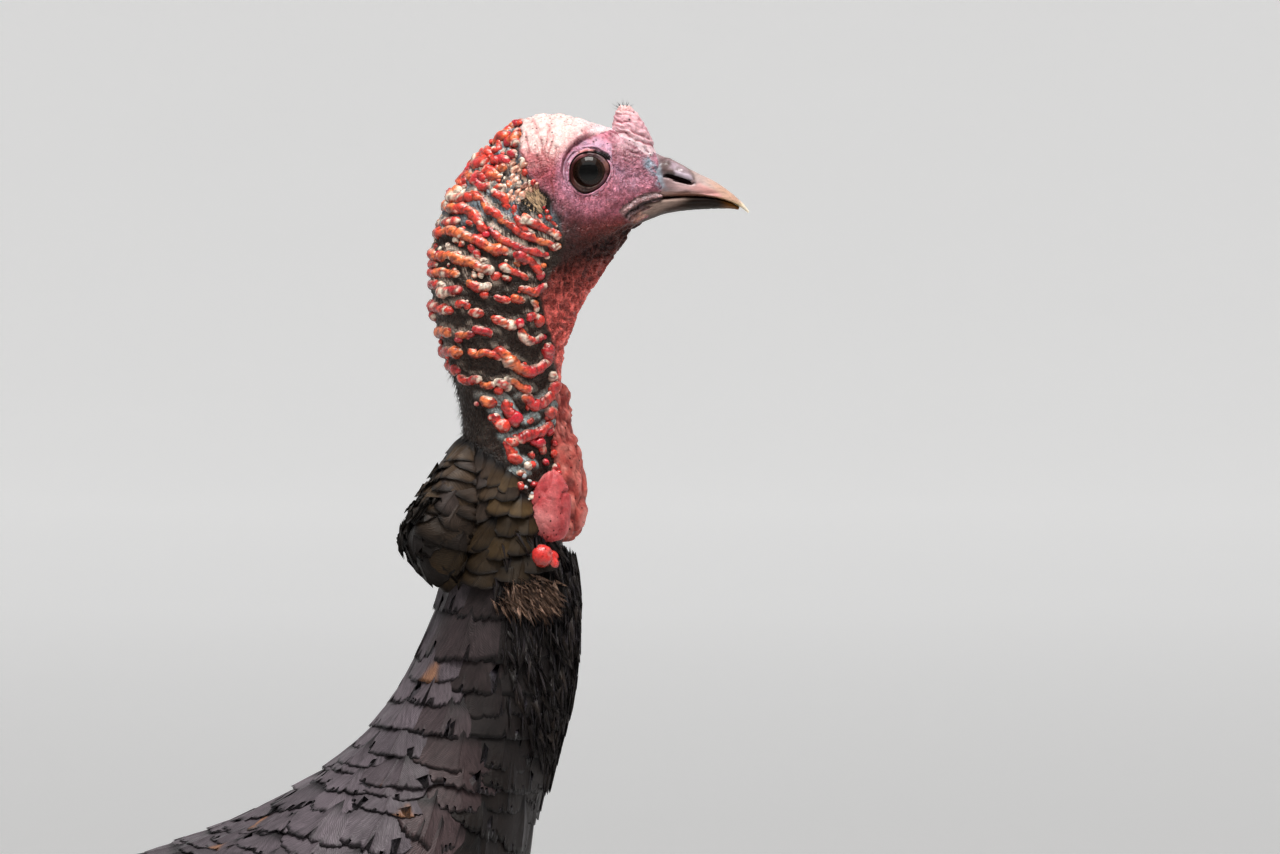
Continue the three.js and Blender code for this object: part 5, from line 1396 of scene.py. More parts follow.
def add_bristles(heap, skin):
    """Hair-like feathers: stubble on the neck, and lashes on the crown and snood."""
    rng = np.random.default_rng(29)
    bed = skin.bed
    zones = [
        (lambda p: (over_lumps(p) > 2) & (over_feathers(p) < 2) & (p[..., 2] < -40), 1.7, (0.9, 2.2), 0.09, (0.014, 0.009, 0.007)),
        (lambda p: (over_lumps(p) > 2) & (p[..., 0] < -40 - 0.25 * (p[..., 2] + 95)) & (p[..., 2] < -72) & (over_feathers(p) < 3), 1.15,
         (2.0, 4.4), 0.14, (0.022, 0.014, 0.010)),
        (lambda p: (over_lumps(p) > 0) & (p[..., 2] > -40), 2.6, (0.8, 1.8), 0.08, (0.014, 0.009, 0.009)),
        (lambda p: (over_lumps(p) < 0) & (p[..., 2] > -30) & (p[..., 2] < 30), 3.2, (0.9, 2.0), 0.07, (0.03, 0.018, 0.018)),
        (lambda p: (over_lumps(p) < -2) & (p[..., 2] < -32) & (over_feathers(p) < 0), 8.0, (1.0, 2.2), 0.06, (0.10, 0.05, 0.035)),
    ]
    for inside, gap, lengths, width, colour in zones:
        test = lambda p, inside=inside: inside(p) & (np.hypot(p[..., 0], p[..., 2]) > 11)
        spots = np.array(spread_spots(bed, test, gap, rng))
        spot, out, lie, across = bed.frame(spots[:, 0], spots[:, 1])
        ways = unit(0.55 * out + 0.8 * lie + 0.25 * rng.normal(size=out.shape))
        long = rng.uniform(*lengths, len(spots))
        flat, faces = hairs(spot - out * 0.3, ways, long, width, (0, 0, -0.1), rng, steps=4)
        heap.add(flat, faces, np.array(colour))
    ways = unit(np.stack([rng.uniform(-1.0, 0.9, 30), rng.normal(0, 0.5, 30), rng.uniform(0.3, 1, 30)], -1))
    crest = np.array((13.6, 0, 23.4)) + ways * 2.6
    flat, faces = hairs(crest, ways, rng.uniform(1.2, 3.4, 30), 0.10, (-0.1, 0, 0), rng)
    heap.add(flat, faces, np.array((0.02, 0.012, 0.012)))


def add_ear_tufts(heap, skin):
    """Stiff tan bristles in locks that fan back and up over each ear."""
    rng = np.random.default_rng(31)
    for sign in (-1, 1):
        locks, each = 96, 4
        turn, far = rng.uniform(-np.pi, np.pi, locks), np.sqrt(rng.uniform(0.0, 1, locks))
        x, z = EAR[0] + 1.2 + 4.1 * far * np.cos(turn), EAR[1] - 0.8 + 4.0 * far * np.sin(turn)
        x, z = (np.repeat(v, each) + rng.normal(0, 0.25, locks * each) for v in (x, z))
        y = skin.side_level(x, z, 11.0)
        roots = np.stack([x, sign * (y - 0.3), z], -1)
        fan = np.arctan2(z - EAR[1] + 7.5, x - EAR[0] - 6.0) + np.repeat(rng.normal(0, 0.13, locks), each) + rng.normal(0, 0.07, locks * each)
        way = np.stack([np.cos(fan), 0 * fan + sign * 0.5, np.sin(fan)], -1)
        flat, faces = hairs(roots, unit(way), rng.uniform(3.0, 5.6, locks * each), 0.30, (0, -0.42 * sign, 0), rng, steps=7, around=5, wander=0.1)
        tone = np.repeat(rng.uniform(0, 1, locks), each) * 0.75 + 0.25 * rng.uniform(0, 1, locks * each)
        shade = mixed(ramp(tone, 0.15, 0.45), (0.05, 0.028, 0.014), (0.74, 0.49, 0.29))
        shade = np.repeat(shade, 7 * 5 + 2, 0) * np.tile(np.append(np.repeat(np.linspace(0.15, 1.1, 7), 5), (0.15, 1.1)), locks * each)[:, None]
        heap.add(flat, faces, shade)


# ---- Eyes and bill ----
def add_eye(heap, sign):
    """A round eye: black pupil, dark brown iris, darker rim."""
    rows, around = 56, 72
    polar = np.concatenate([np.linspace(0.02, 1.1, 40), np.linspace(1.16, np.pi - 0.1, 16)])[:, None]
    angle = np.arange(around)[None, :] * 2 * np.pi / around
    bulge = 1 + 0.012 * bell(polar, 0.55)
    p = np.stack([
        np.sin(polar) * np.cos(angle) * EYE_RADIUS * bulge,
        sign * (EYE_SIDE + np.cos(polar) * EYE_RADIUS * bulge) + 0 * angle,
        np.sin(polar) * np.sin(angle) * EYE_RADIUS * bulge,
    ], -1)
    far = np.degrees(polar + 0 * angle)
    colour = mixed(ramp(far, 23, 25.5), (0.002, 0.002, 0.002), (0.010, 0.005, 0.0035))
    colour = mixed(ramp(far, 34, 41), colour, (0.026, 0.011, 0.006))
    flat, faces = closed_grid(p)
    heap.add(flat, faces, np.vstack([colour.reshape(-1, 3), colour[0, :1], colour[-1, :1]]))


NOSTRIL = [(29.4, -1.2), (32.4, -2.0), (36.2, -3.3), (40.2, -4.5)]
FLAP_EDGE = [(25.5, -1.0), (26.9, 3.2), (31.0, 5.2), (36.3, 2.6), (38.6, 0.8), (40.2, -1.4), (41.0, -4.6)]


def nostril_width(along):
    """Half the width of the nostril's slit at shares of its length."""
    return np.interp(along, [0, 0.3, 0.65, 0.9, 1], [0.35, 0.65, 0.9, 0.75, 0.3])


def add_nostril_shade(heap, skin, sign):
    """A near-black thin lens at the bottom of one nostril's slit: painted shade of its depth."""
    share = np.linspace(0, 1, 24)
    line = smooth_rows(NOSTRIL, share * (len(NOSTRIL) - 1))
    side = skin[skin[:, 1] * sign > 1.5]
    depth = np.array([side[np.argmin(np.hypot(side[:, 0] - x, side[:, 2] - z)), 1] for x, z in line])
    depth = np.convolve(np.pad(depth, 2, "edge"), np.full(5, 0.2), "valid")
    way = np.gradient(line, axis=0)
    way = way / np.linalg.norm(way, axis=1, keepdims=True)
    angle = np.arange(16)[None, :] * 2 * np.pi / 16
    wide = (nostril_width(share) * np.sqrt(np.maximum(1 - (2 * share - 1) ** 6, 0.02)))[:, None] * np.cos(angle)
    x = line[:, :1] - way[:, 1:] * wide
    z = line[:, 1:] + way[:, :1] * wide
    y = depth[:, None] - sign * (0.75 + 0.35 * np.sin(angle) * sign)
    flat, faces = closed_grid(np.stack([x, y, z], -1))
    heap.add(flat, faces, np.array((0.004, 0.002, 0.002)))


def flap_share(x, z):
    """1 on the flap over the nostril and 0 off it."""
    edge, _, side = polyline_distance(x, z, FLAP_EDGE)
    slit, along, below = polyline_distance(x, z, NOSTRIL)
    return ramp(-side * edge, -0.5, 0.8) * ramp(below * slit, 0.9, 1.7) * ramp(x, 25.0, 27.5) * (1 - ramp(x, 40.2, 41.8))


def upper_bill_relief(p):
    """The nostril's slit under its flap, the ridge of the bill and the cutting edge."""
    x, z = p[..., 0], p[..., 2]
    slit, along, _ = polyline_distance(x, z, NOSTRIL)
    flank = ramp(np.abs(p[..., 1]), 1.0, 3.0)
    open_at = nostril_width(along)
    lift = -3.2 * ramp(open_at - slit, -0.3, 0.3) * flank
    lift += (1.0 + 0.35 * rough(p, 2.6, 103) + 0.2 * rough(p, 1.1, 104)) * flap_share(x, z) * flank
    edge, _, side = polyline_distance(x, z, FLAP_EDGE)
    lift -= 0.45 * bell(side * edge - 0.4, 0.6) * flank * ramp(x, 26, 28) * (1 - ramp(x, 39, 41))
    lift += 0.2 * noise(p * (0.3, 1, 1.3), 1.6, 101) * ramp(44 - x, -4, 8) + 0.06 * noise(p, 0.8, 102)
    lift += 0.35 * (worms(p * (0.6, 1, 1), 2.4, 106) - 0.4) * ramp(33 - x, -3, 4)
    lip = z + 10.6 + 0.015 * (x - 40)
    lift -= 0.6 * bell(lip - 2.3, 0.7) * flank * ramp(x, 26, 32) * (1 - ramp(x, 46, 54))
    return lift


def upper_bill_colour(p):
    x, z = p[..., 0], p[..., 2]
    streak = rough(p * (0.25, 1, 1.2), 2.4, 103)
    patch = rough(p, 3.0, 107)
    colour = mixed(ramp(x + 3 * streak, 27, 36), (0.22, 0.14, 0.15), (0.46, 0.32, 0.32))
    colour = mixed(bell(z + 6.0 - 0.05 * (x - 40) + 0.6 * streak, 1.3) * ramp(x, 30, 36) * (1 - ramp(x, 44, 50)), colour, (0.56, 0.36, 0.36))
    colour = mixed(ramp(x + 4 * streak, 38, 46), colour, (0.55, 0.26, 0.24))
    colour = mixed(ramp(x + 3 * streak, 51, 58), colour, (0.58, 0.45, 0.26))
    # Painted light: from the flap forward the top is painted duller and greyer than the flanks, as shade on the top and
    # light on the flanks.
    over = z + 0.55 * (x - 27.5) - 3.6
    colour = mixed(ramp(over + streak, -0.5, 1.6) * ramp(x, 34, 42), colour, mixed(ramp(x, 42, 54), (0.40, 0.30, 0.28), (0.50, 0.30, 0.22)))
    low = ramp(np.interp(x, [28, 42, 46, 52, 58], [-7.6, -7.9, -8.9, -10.2, -12.2]) - z + 0.5 * streak, -0.4, 0.7)
    band = mixed(ramp(x, 28, 37), (0.20, 0.11, 0.09), (0.14, 0.056, 0.034))
    colour = mixed(low * 0.95, colour, mixed(ramp(x, 46, 55), band, (0.34, 0.21, 0.07)))
    colour = mixed(bell(low - 0.3, 0.3) * ramp(x, 27, 30) * (1 - ramp(x, 38, 46)) * 0.7, colour, (0.09, 0.04, 0.035))
    slit, along, _ = polyline_distance(x, z, NOSTRIL)
    flap = mixed(ramp(patch + 0.12 * (x - 34), -0.6, 0.5), (0.085, 0.052, 0.050), (0.36, 0.27, 0.32))
    flap = mixed(ramp(bell(slit - 2.2, 0.9) * ramp(x, 31, 35) + 0.2 * patch, 0.35, 0.7) * 0.85, flap, (0.58, 0.48, 0.57))
    # Painted shade at the edge of the nostril's slit.
    flap = mixed(ramp(1.5 - slit, 0, 0.4) * 0.8, flap, (0.05, 0.03, 0.03))
    colour = mixed(flap_share(x, z) * 0.9, colour, flap)
    grey = ramp(29.5 - x - 0.25 * z + 1.5 * patch, 0, 2.0) * ramp(z, -9, -5)
    colour = mixed(grey * ramp(rough(p, 1.8, 13), -0.5, 0.35) * 0.85, colour, BLUE)
    # Painted shade: the nostril's slit is near-black.
    colour = mixed(ramp(nostril_width(along) + 0.35 - slit + 0.1 * streak, 0, 0.25), colour, (0.002, 0.001, 0.001))
    # Painted shade in the dip along the flap's edge.
    edge, _, side = polyline_distance(x, z, FLAP_EDGE)
    colour = mixed(bell(side * edge - 0.4, 0.55) * 0.65 * ramp(x, 26, 29) * (x < 42), colour, (0.035, 0.02, 0.02))
    colour = mixed(ramp(x, 57.5, 61.5), colour, (0.86, 0.76, 0.60))
    return np.clip(colour * (1 + 0.3 * streak[..., None]), 0.004, 0.95)


def lower_bill_relief(p):
    return 0.75 * ramp(p[..., 2] - np.interp(p[..., 0], [20, 30, 47, 58], [-13.6, -12.6, -12.2, -14.1]), -0.3, 1.2) + 0.08 * noise(p, 0.9, 105)


def lower_bill_colour(p):
    x = p[..., 0]
    streak = rough(p * (0.25, 1, 1.2), 2.2, 104)
    lip = ramp(x + 2 * streak - 2.4 * (p[..., 2] + 15.5), 22.0, 31.0)
    colour = mixed(lip, (0.27, 0.19, 0.16), (0.026, 0.012, 0.008))
    colour = mixed(ramp(x + 2 * streak, 34, 41), colour, (0.010, 0.005, 0.002))
    colour = mixed(ramp(x + 2 * streak, 50, 57), colour, (0.09, 0.030, 0.003))
    return np.clip(colour * (1 + 0.35 * streak[..., None]), 0.003, 0.95)


def bill_part(rows, relief, colour, back=0.0):
    """One half of the bill. It starts a little way inside the head, and its rings close in at the tip."""
    rows = np.array(rows, float)
    first = rows[0] * 2 - rows[1]
    rows = np.vstack([rows[0] + (first - rows[0]) * back, rows]) if back else rows
    steps, around = 96, 88
    at = np.linspace(0, len(rows) - 1, steps)[:, None]
    angle = np.arange(around)[None, :] * 2 * np.pi / around
    p = body_points(rows, at + 0 * angle, angle + 0 * at)
    base = Surface(p, np.gradient(p, axis=0))
    p = p + base.out * relief(p)[..., None]
    flat, faces = closed_grid(p)
    return flat, faces, colour(flat)


# ---- Feathers ----
class Make:
    """How one kind of feather is cut: its faces, its outline, how it lies and how its tip is worn."""

    def __init__(self, along=7, across=5, root=0.45, round_tip=0.3, tip_power=3.0, camber=0.07, thick=0.3, worn=0.03,
                 splits=0.0, yaw=0.08, low=0.2, high=1.6, curl=0.0, taper=0.0, bend=0.05, droop=0.0):
        self.along, self.across, self.root = along, across, root
        self.round_tip, self.tip_power, self.camber, self.thick = round_tip, tip_power, camber, thick
        self.worn, self.splits, self.yaw, self.low, self.high = worn, splits, yaw, low, high
        self.curl, self.taper, self.bend, self.droop = curl, taper, bend, droop

    def faces(self):
        """Faces of one vane: a grid on top, two strips below it and a fan at either end."""
        n, m = self.along, self.across
        grid = np.arange(n * m).reshape(n, m)
        top = np.stack([grid[:-1, :-1], grid[1:, :-1], grid[1:, 1:], grid[:-1, 1:]], -1).reshape(-1, 4)
        keel = n * m + np.arange(n - 1)
        left = np.stack([grid[:-2, 0], keel[:-1], keel[1:], grid[1:-1, 0]], -1)
        right = np.stack([keel[:-1], grid[:-2, -1], grid[1:-1, -1], keel[1:]], -1)
        tip = np.stack([grid[-1, 1:], grid[-1, :-1], np.full(m - 1, keel[-1])], -1)
        root = np.stack([grid[0, :-1], grid[0, 1:], np.full(m - 1, keel[0])], -1)
        corners = [[grid[-2, 0], keel[-1], grid[-1, 0]], [keel[-1], grid[-2, -1], grid[-1, -1]]]
        return [np.vstack([top, left, right]), np.vstack([tip, root, corners])]


def lay_feathers(heap, surface, make, i, j, length, width, paint, rng, spot_uv, yaw=0.0, patch=(0.003, 0.003), mirror=1,
                 bars=0.0):
    """Lays one vane at each grid place of a surface. paint gives the colours from root places, shares and luck."""
    n = len(i)
    s = 1 - (1 - np.linspace(0, 1, make.along)) ** 1.35
    c = np.linspace(-1, 1, make.across)
    s, c = s[None, :, None], c[None, None, :]
    col = lambda v: np.broadcast_to(np.asarray(v, float), (n,))[:, None, None]
    luck = rng.uniform(0, 1, (n, 6))
    teeth = make.splits * (0.3 + 0.7 * (np.arange(make.across) % 2)) * (0.3 + 1.1 * col(luck[:, 5]))
    chance = rng.uniform(0, 1, (n, 1, make.across))
    notch = (0.5 * chance**1.5 + 0.8 * (chance > 0.93)) * teeth
    worn = make.worn * rng.normal(0, 1, (n, 1, make.across)) + notch
    a = s * (1 - make.round_tip * (0.75 + 0.5 * col(luck[:, 0])) * np.abs(c) ** make.tip_power * s**2) - worn * s**5
    half = (make.root + (1 - make.root) * ramp(s, 0, 0.5)) * (1 - make.taper * s**2.5)
    b = c * half
    a, b = a * col(length), b * col(width) / 2
    b = b + make.bend * (col(luck[:, 1]) - 0.5) * 2 * s**2 * col(width)
    turn = col(yaw) + make.yaw * col(rng.normal(0, 1, n))
    a, b = a * np.cos(turn) - b * np.sin(turn), a * np.sin(turn) + b * np.cos(turn)
    spot, out, lie, across = surface.frame(i, j)
    lie_i, lie_j = surface.steps(i, j, lie)
    across_i, across_j = surface.steps(i, j, across)
    at_i = col(i) + a * col(lie_i) + b * col(across_i)
    at_j = col(j) + a * col(lie_j) + b * col(across_j)
    high = make.low + (make.high - make.low) * s * (0.8 + 0.4 * col(luck[:, 2]))
    high = high + make.camber * (1 - c**2) * half * col(width) + make.curl * (0.3 + col(luck[:, 3])) * s**3 * col(length)
    high = high + 0.02 * col(width) * bell(c, 0.12) - make.droop * ramp(s, 0.6, 1.05)
    top = surface.place(at_i, at_j, high)
    keel = surface.place(at_i[:, :-1, make.across // 2], at_j[:, :-1, make.across // 2],
                         (high - make.thick * (0.35 + 0.65 * s) - make.camber * col(width) * half * 0.6)[:, :-1, make.across // 2])
    tint = np.broadcast_to(paint(spot, s, c, luck), (n, make.along, make.across, 3))
    points = np.concatenate([top.reshape(n, -1, 3), keel], 1) * (1, mirror, 1)
    under = tint[:, :-1, make.across // 2] * 0.8
    tints = np.concatenate([tint.reshape(n, -1, 3), under], 1)
    spots = np.stack([a + 0 * b, b + 0 * a], -1)
    vane = np.stack([s * col(length) + 0 * c, c * half * col(width) / 2], -1)
    vane = np.concatenate([vane.reshape(n, -1, 2), vane[:, :-1, make.across // 2]], 1)
    local = np.stack([(c / 2 + 0 * s) * patch[0], (s - 0.5 + 0 * c) * patch[1]], -1)
    local = np.broadcast_to(local, spots.shape)
    bake = spot_uv[:, None, None] + local
    bake = np.concatenate([bake.reshape(n, -1, 2), bake[:, :-1, make.across // 2]], 1)
    per = make.along * make.across + make.along - 1
    shift = (np.arange(n) * per)[:, None, None]
    faces = [(f[None] + shift).reshape(-1, f.shape[1]) for f in make.faces()]
    if mirror < 0:
        faces = [f[:, ::-1] for f in faces]
    heap.add(points, faces, tints.reshape(-1, 3), vane, bake, bars)


def shingle_rows(surface, first, last, exposed, wide, rng, jitter=0.18):
    """Staggered rows of feather roots from one grid row to another: places, row spacing and width of each."""
    lengths = np.linalg.norm(surface.down, axis=-1)
    mean = lengths.mean(1)
    at, number, places = first, 0, []
    while at < last:
        share = (at - first) / max(last - first, 1e-6)
        gap = exposed(share) / np.interp(at, np.arange(surface.rows), mean)
        row = int(np.clip(round(at), 0, surface.rows - 1))
        round_lengths = np.linalg.norm(surface.round[row], axis=-1)
        reach = np.concatenate([[0], np.cumsum(round_lengths)])
        if not surface.closed:
            reach = reach[:-1]
        count = max(int(reach[-1] / wide(share)), 4)
        spots = (np.arange(count) + 0.5 * (number % 2) + rng.uniform(-jitter, jitter, count)) * reach[-1] / count
        j = np.interp(np.mod(spots, reach[-1]), reach, np.arange(len(reach)))
        i = at + rng.uniform(-jitter, jitter, count) * gap
        local = surface.read(lengths[..., None], i, j)[:, 0] * gap
        places.append(np.column_stack([i, j, local, np.full(count, reach[-1] / count)]))
        at += gap
        number += 1
    return np.vstack(places)


def body_unwrap(surface, i, j):
    return np.column_stack([0.02 + 0.96 * j / surface.columns, 0.02 + 0.96 * i / surface.rows])


# ---- Plumage colours ----
BLACK = (0.014, 0.011, 0.012)
BRONZE = (0.085, 0.052, 0.028)
COPPER = (0.15, 0.058, 0.03)
OLIVE = (0.045, 0.052, 0.028)
CHESTNUT = (0.26, 0.12, 0.055)
PALE_BAR = (0.33, 0.30, 0.26)


def column(v):
    return v[:, None, None]


def scale_paint(spot, s, c, luck):
    """Bronze scales with a painted highlight across the middle and painted shade at the tip's edge and over the root;
    greyer high on the nape, black on the tuft.
    """
    base = mixed(column(luck[:, 3]) + 0 * s + 0 * c, (0.018, 0.011, 0.006), (0.062, 0.037, 0.015))
    grey = column(ramp(-spot[:, 0] + 0.5 * (spot[:, 2] + 120), 26, 40) * (0.3 + 0.5 * luck[:, 4])) + 0 * s * c
    base = mixed(column(ramp(spot[:, 0], -25, -15) * ramp(-spot[:, 2], 134, 142)) * 0.85 + 0 * s * c, base, (0.016, 0.011, 0.010))
    base = mixed(grey, base, (0.020, 0.015, 0.015))
    black = column(ramp(-spot[:, 0], 48, 60) * ramp(-spot[:, 2], 104, 124)) + 0 * s * c
    base = mixed(black * 0.85, base, (0.010, 0.008, 0.008))
    base = base * (0.55 + 0.75 * column(ramp(spot[:, 2], -132, -118)))[..., None]
    # Painted highlight across the middle of each scale.
    base = mixed(bell(s - 0.76 + 0.08 * c**2, 0.10) * 0.4, base, base * 1.7 + 0.006)
    # Painted shade at the edge of the tip and over the root under the row above.
    base = mixed(ramp(s + 0.12 * c**2, 0.86, 0.98) * 0.9, base, (0.006, 0.004, 0.003))
    return mixed(ramp(0.55 - s, 0, 0.4) + 0 * c, base, (0.006, 0.005, 0.005))


def neck_paint(spot, s, c, luck):
    """Black in front, purple-brown on the side, lavender-grey behind, here and there rusty. The lavender-grey behind is
    partly a painted sheen and the black in front partly painted shade; the roots carry painted shadow from the row
    above and the tips painted shade.
    """
    # Lavender-grey behind is partly a painted sheen, and the near-black in front partly painted shade.
    back = column(ramp(-spot[:, 0] + 0.3 * (spot[:, 2] + 208) + 4 * noise(spot, 16, 125), 50, 68)) + 0 * s * c
    side = column(ramp(-spot[:, 0] + 0.17 * (spot[:, 2] + 208) + 4 * noise(spot, 12, 124), 34, 52)) + 0 * s * c
    base = mixed(back, (0.066, 0.043, 0.045), (0.092, 0.074, 0.086))
    base = base * (0.78 + 0.3 * column(noise(spot, 14, 122) + 0.5 * luck[:, 3]))[..., None]
    base = base * (1 - 0.3 * column(ramp(-spot[:, 2], 240, 275)))[..., None]
    base = mixed(side, (0.0085, 0.0055, 0.0045), base)
    high = column(ramp(spot[:, 2], -226, -196) * (1 - ramp(-spot[:, 0], 46, 58))) + 0 * s * c
    base = mixed(high * 0.65, base, (0.012, 0.009, 0.009))
    # Painted shadow of the row above over each root, and painted shade at the tip's edge.
    base = mixed(ramp(0.56 - s, 0, 0.12) + 0 * c, base, base * 0.2)
    base = mixed(ramp(s, 0.93, 1.0) * 0.85 + 0 * c, base, base * 0.12)
    rusty = (column(luck[:, 4]) > 0.88) * ramp(s - 1.6 * np.abs(c - 1.2 * (column(luck[:, 2]) - 0.5)), 0.45, 0.75) * side
    return mixed(rusty * 0.55, base, (0.33, 0.145, 0.06))


def body_paint(spot, s, c, luck):
    """Bronze, copper and olive feathers, each with a velvet-black tip band."""
    field = noise(spot, 60, 121) * 0.5 + 0.5
    tone = column(np.clip(field + 0.5 * (luck[:, 3] - 0.5), 0, 1)) + 0 * s + 0 * c
    base = mixed(ramp(tone, 0.25, 0.85), BRONZE, COPPER)
    base = mixed(ramp(column(luck[:, 4]), 0.62, 0.95) * 0.8 + 0 * s * c, base, OLIVE)
    front = column(ramp(spot[:, 0], -330, -150))
    low = column(ramp(-spot[:, 2] + 14 * noise(spot, 25, 129), 330, 420))
    # Near the neck, as on it: the lavender-grey behind is partly a painted sheen and the near-black in front partly
    # painted shade.
    fore = mixed(column(ramp(-spot[:, 0] + 12 * noise(spot, 20, 130), 52, 92)), (0.013, 0.009, 0.008), (0.070, 0.058, 0.066))
    fore = mixed(low, fore, mixed(tone, (0.024, 0.015, 0.010), (0.058, 0.032, 0.018)))
    base = mixed(front * (0.94 - 0.3 * low) + 0 * s * c, base, fore)
    rear = column(ramp(-spot[:, 0], 440, 540))
    band = ramp(s + 0.06 * c**2, 0.80, 0.86)
    base = mixed(band, base, (0.012, 0.010, 0.010))
    tip = ramp(s, 0.95, 0.99) * (0.25 + 0.75 * rear)
    base = mixed(tip + 0 * c, base, mixed(rear, (0.075, 0.055, 0.045), CHESTNUT))
    return mixed(ramp(0.5 - s, 0, 0.4) + 0 * c, base, BLACK)


def thigh_paint(spot, s, c, luck):
    """Dusky brown with pale fringes, turning to the bronze of the belly at the top."""
    tone = column(luck[:, 3]) + 0 * s + 0 * c
    base = mixed(tone, (0.030, 0.022, 0.018), (0.075, 0.052, 0.040))
    base = mixed(ramp(s, 0.86, 1.0) * 0.6, base, (0.13, 0.095, 0.07))
    bronze = mixed(ramp(s, 0.80, 0.86), mixed(tone, (0.050, 0.034, 0.026), (0.085, 0.048, 0.032)), (0.012, 0.010, 0.010))
    return mixed(column(ramp(spot[:, 2] + 15 * noise(spot, 20, 126), -600, -520)) + 0 * s * c, base, bronze)


def covert_paint(spot, s, c, luck):
    """Wing coverts: coppery bronze with a black band and a thin pale edge."""
    tone = column(luck[:, 3]) + 0 * s + 0 * c
    base = mixed(tone, (0.085, 0.055, 0.03), (0.13, 0.068, 0.036))
    base = mixed(ramp(column(luck[:, 4]), 0.6, 0.95) * 0.45 + 0 * s * c, base, (0.055, 0.060, 0.034))
    base = mixed(ramp(s + 0.05 * c**2, 0.80, 0.90) * 0.85, base, (0.014, 0.011, 0.010))
    base = mixed(ramp(s, 0.965, 0.99) * 0.6 + 0 * c, base, (0.16, 0.12, 0.09))
    return mixed(ramp(0.5 - s, 0, 0.4) + 0 * c, base, BLACK)


def flight_paint(spot, s, c, luck):
    base = mixed(column(luck[:, 3]) + 0 * s + 0 * c, (0.05, 0.04, 0.034), (0.075, 0.06, 0.048))
    return mixed(ramp(s, 0.93, 1.0) * 0.5, base, (0.17, 0.14, 0.11))


def tail_paint(spot, s, c, luck):
    base = mixed(column(luck[:, 3]) + 0 * s + 0 * c, (0.15, 0.075, 0.04), (0.19, 0.10, 0.052))
    base = mixed(ramp(s, 0.80, 0.825) * (1 - ramp(s, 0.925, 0.945)) + 0 * c, base, (0.014, 0.011, 0.010))
    return mixed(ramp(s, 0.94, 0.955) + 0 * c, base, (0.34, 0.17, 0.085))


def tail_covert_paint(spot, s, c, luck):
    base = mixed(column(luck[:, 3]) + 0 * s + 0 * c, (0.070, 0.038, 0.024), (0.13, 0.062, 0.034))
    base = mixed(ramp(np.sin(70 * s), 0.2, 0.7) * ramp(s, 0.3, 0.5) * 0.6 + 0 * c, base, (0.020, 0.014, 0.012))
    base = mixed(ramp(s, 0.78, 0.83) + 0 * c, base, (0.013, 0.011, 0.011))
    return mixed(ramp(s + 0.05 * c**2, 0.93, 0.95), base, CHESTNUT)


# ---- The coat of the neck and trunk ----
def part_grid(rows, steps, around, grow=0.0, start=0.0):
    at = np.linspace(start, len(rows) - 1, steps)[:, None]
    angle = np.arange(around)[None, :] * 2 * np.pi / around
    return body_points(rows, at + 0 * angle, angle + 0 * at, grow)


def station_row(skin, station):
    return float(np.interp(station, skin.rows, np.arange(len(skin.rows))))


def add_coat(heap, skin, make, stations, exposed, wide, paint, rng, overlap=2.4, cover=1.75, keep=None, lean=0.0, vary=0.15):
    """Rows of feathers over the neck or trunk between two stations. Sizes are in millimetres."""
    first, last = (station_row(skin, t) for t in stations)
    bed = skin.bed
    places = shingle_rows(bed, first, last, exposed, wide, rng, min(0.18, 1.6 * vary))
    i, j, gap, width = places.T
    spots = bed.place(i, j, np.zeros(len(i)))
    fine = over_feathers(spots) > 0.5
    if keep is not None:
        fine &= keep(spots)
    i, j, gap, width = i[fine], j[fine], gap[fine], width[fine]
    mean = gap.mean()
    length = np.clip(gap, 0.6 * mean, 1.6 * mean) * overlap * rng.uniform(1 - vary, 1 + vary, len(i))
    width = width * cover * rng.uniform(0.8, 1.2, len(i))
    yaw = -lean * np.sign(spots[fine][:, 1])
    lay_feathers(heap, bed, make, i, j, length, width, paint, rng, body_unwrap(bed, i, j), yaw)


def off_wing(p):
    """Leaves out feathers that the folded wings hide."""
    hidden = (p[:, 0] < -150) & (p[:, 0] > -440) & (p[:, 2] < -365) & (p[:, 2] > -470) & (np.abs(p[:, 1]) > 96)
    return ~hidden


def ruff_form(skin):
    """The upper neck and its nape tuft as one form. Returns it with how far the tuft stands out from the neck."""
    at = np.linspace(12.15, 15.25, 110)[:, None]
    angle = skin.angles[None, :]
    neck = body_points(BODY, at + 0 * angle, angle + 0 * at, -2.6)
    stations = np.array(NAPE_TUFT) + np.outer([3, 3, 4, 1, 5, 3], [1.0, 0, 0, 0, 0, 0])
    flat, faces = closed_grid(part_grid(stations, 40, 72, -3.0))
    tuft = BVHTree.FromPolygons(flat.tolist(), faces[0].tolist())
    away = unit(neck - neck.mean(1, keepdims=True))
    push = np.zeros(neck.shape[:2])
    for i, j in np.ndindex(push.shape):
        hit, _, _, far = tuft.ray_cast(Vector(neck[i, j] + 40 * away[i, j]), Vector(-away[i, j]), 40)
        push[i, j] = 0 if hit is None else 40 - far
    for _ in range(5):
        push = (2 * push + np.roll(push, 1, 1) + np.roll(push, -1, 1)) / 4
        push[1:-1] = (2 * push[1:-1] + push[:-2] + push[2:]) / 4
    points = neck + away * push[..., None]
    flow = unit(np.gradient(points, axis=0))
    sweep = 0.55 * ramp(np.abs(points[..., 1]), 3, 12) * bell(points[..., 2] + 130, 24) * ramp(-points[..., 0], 20, 40)
    return Surface(points, flow - sweep[..., None] * np.array((1.0, 0, 0))), push


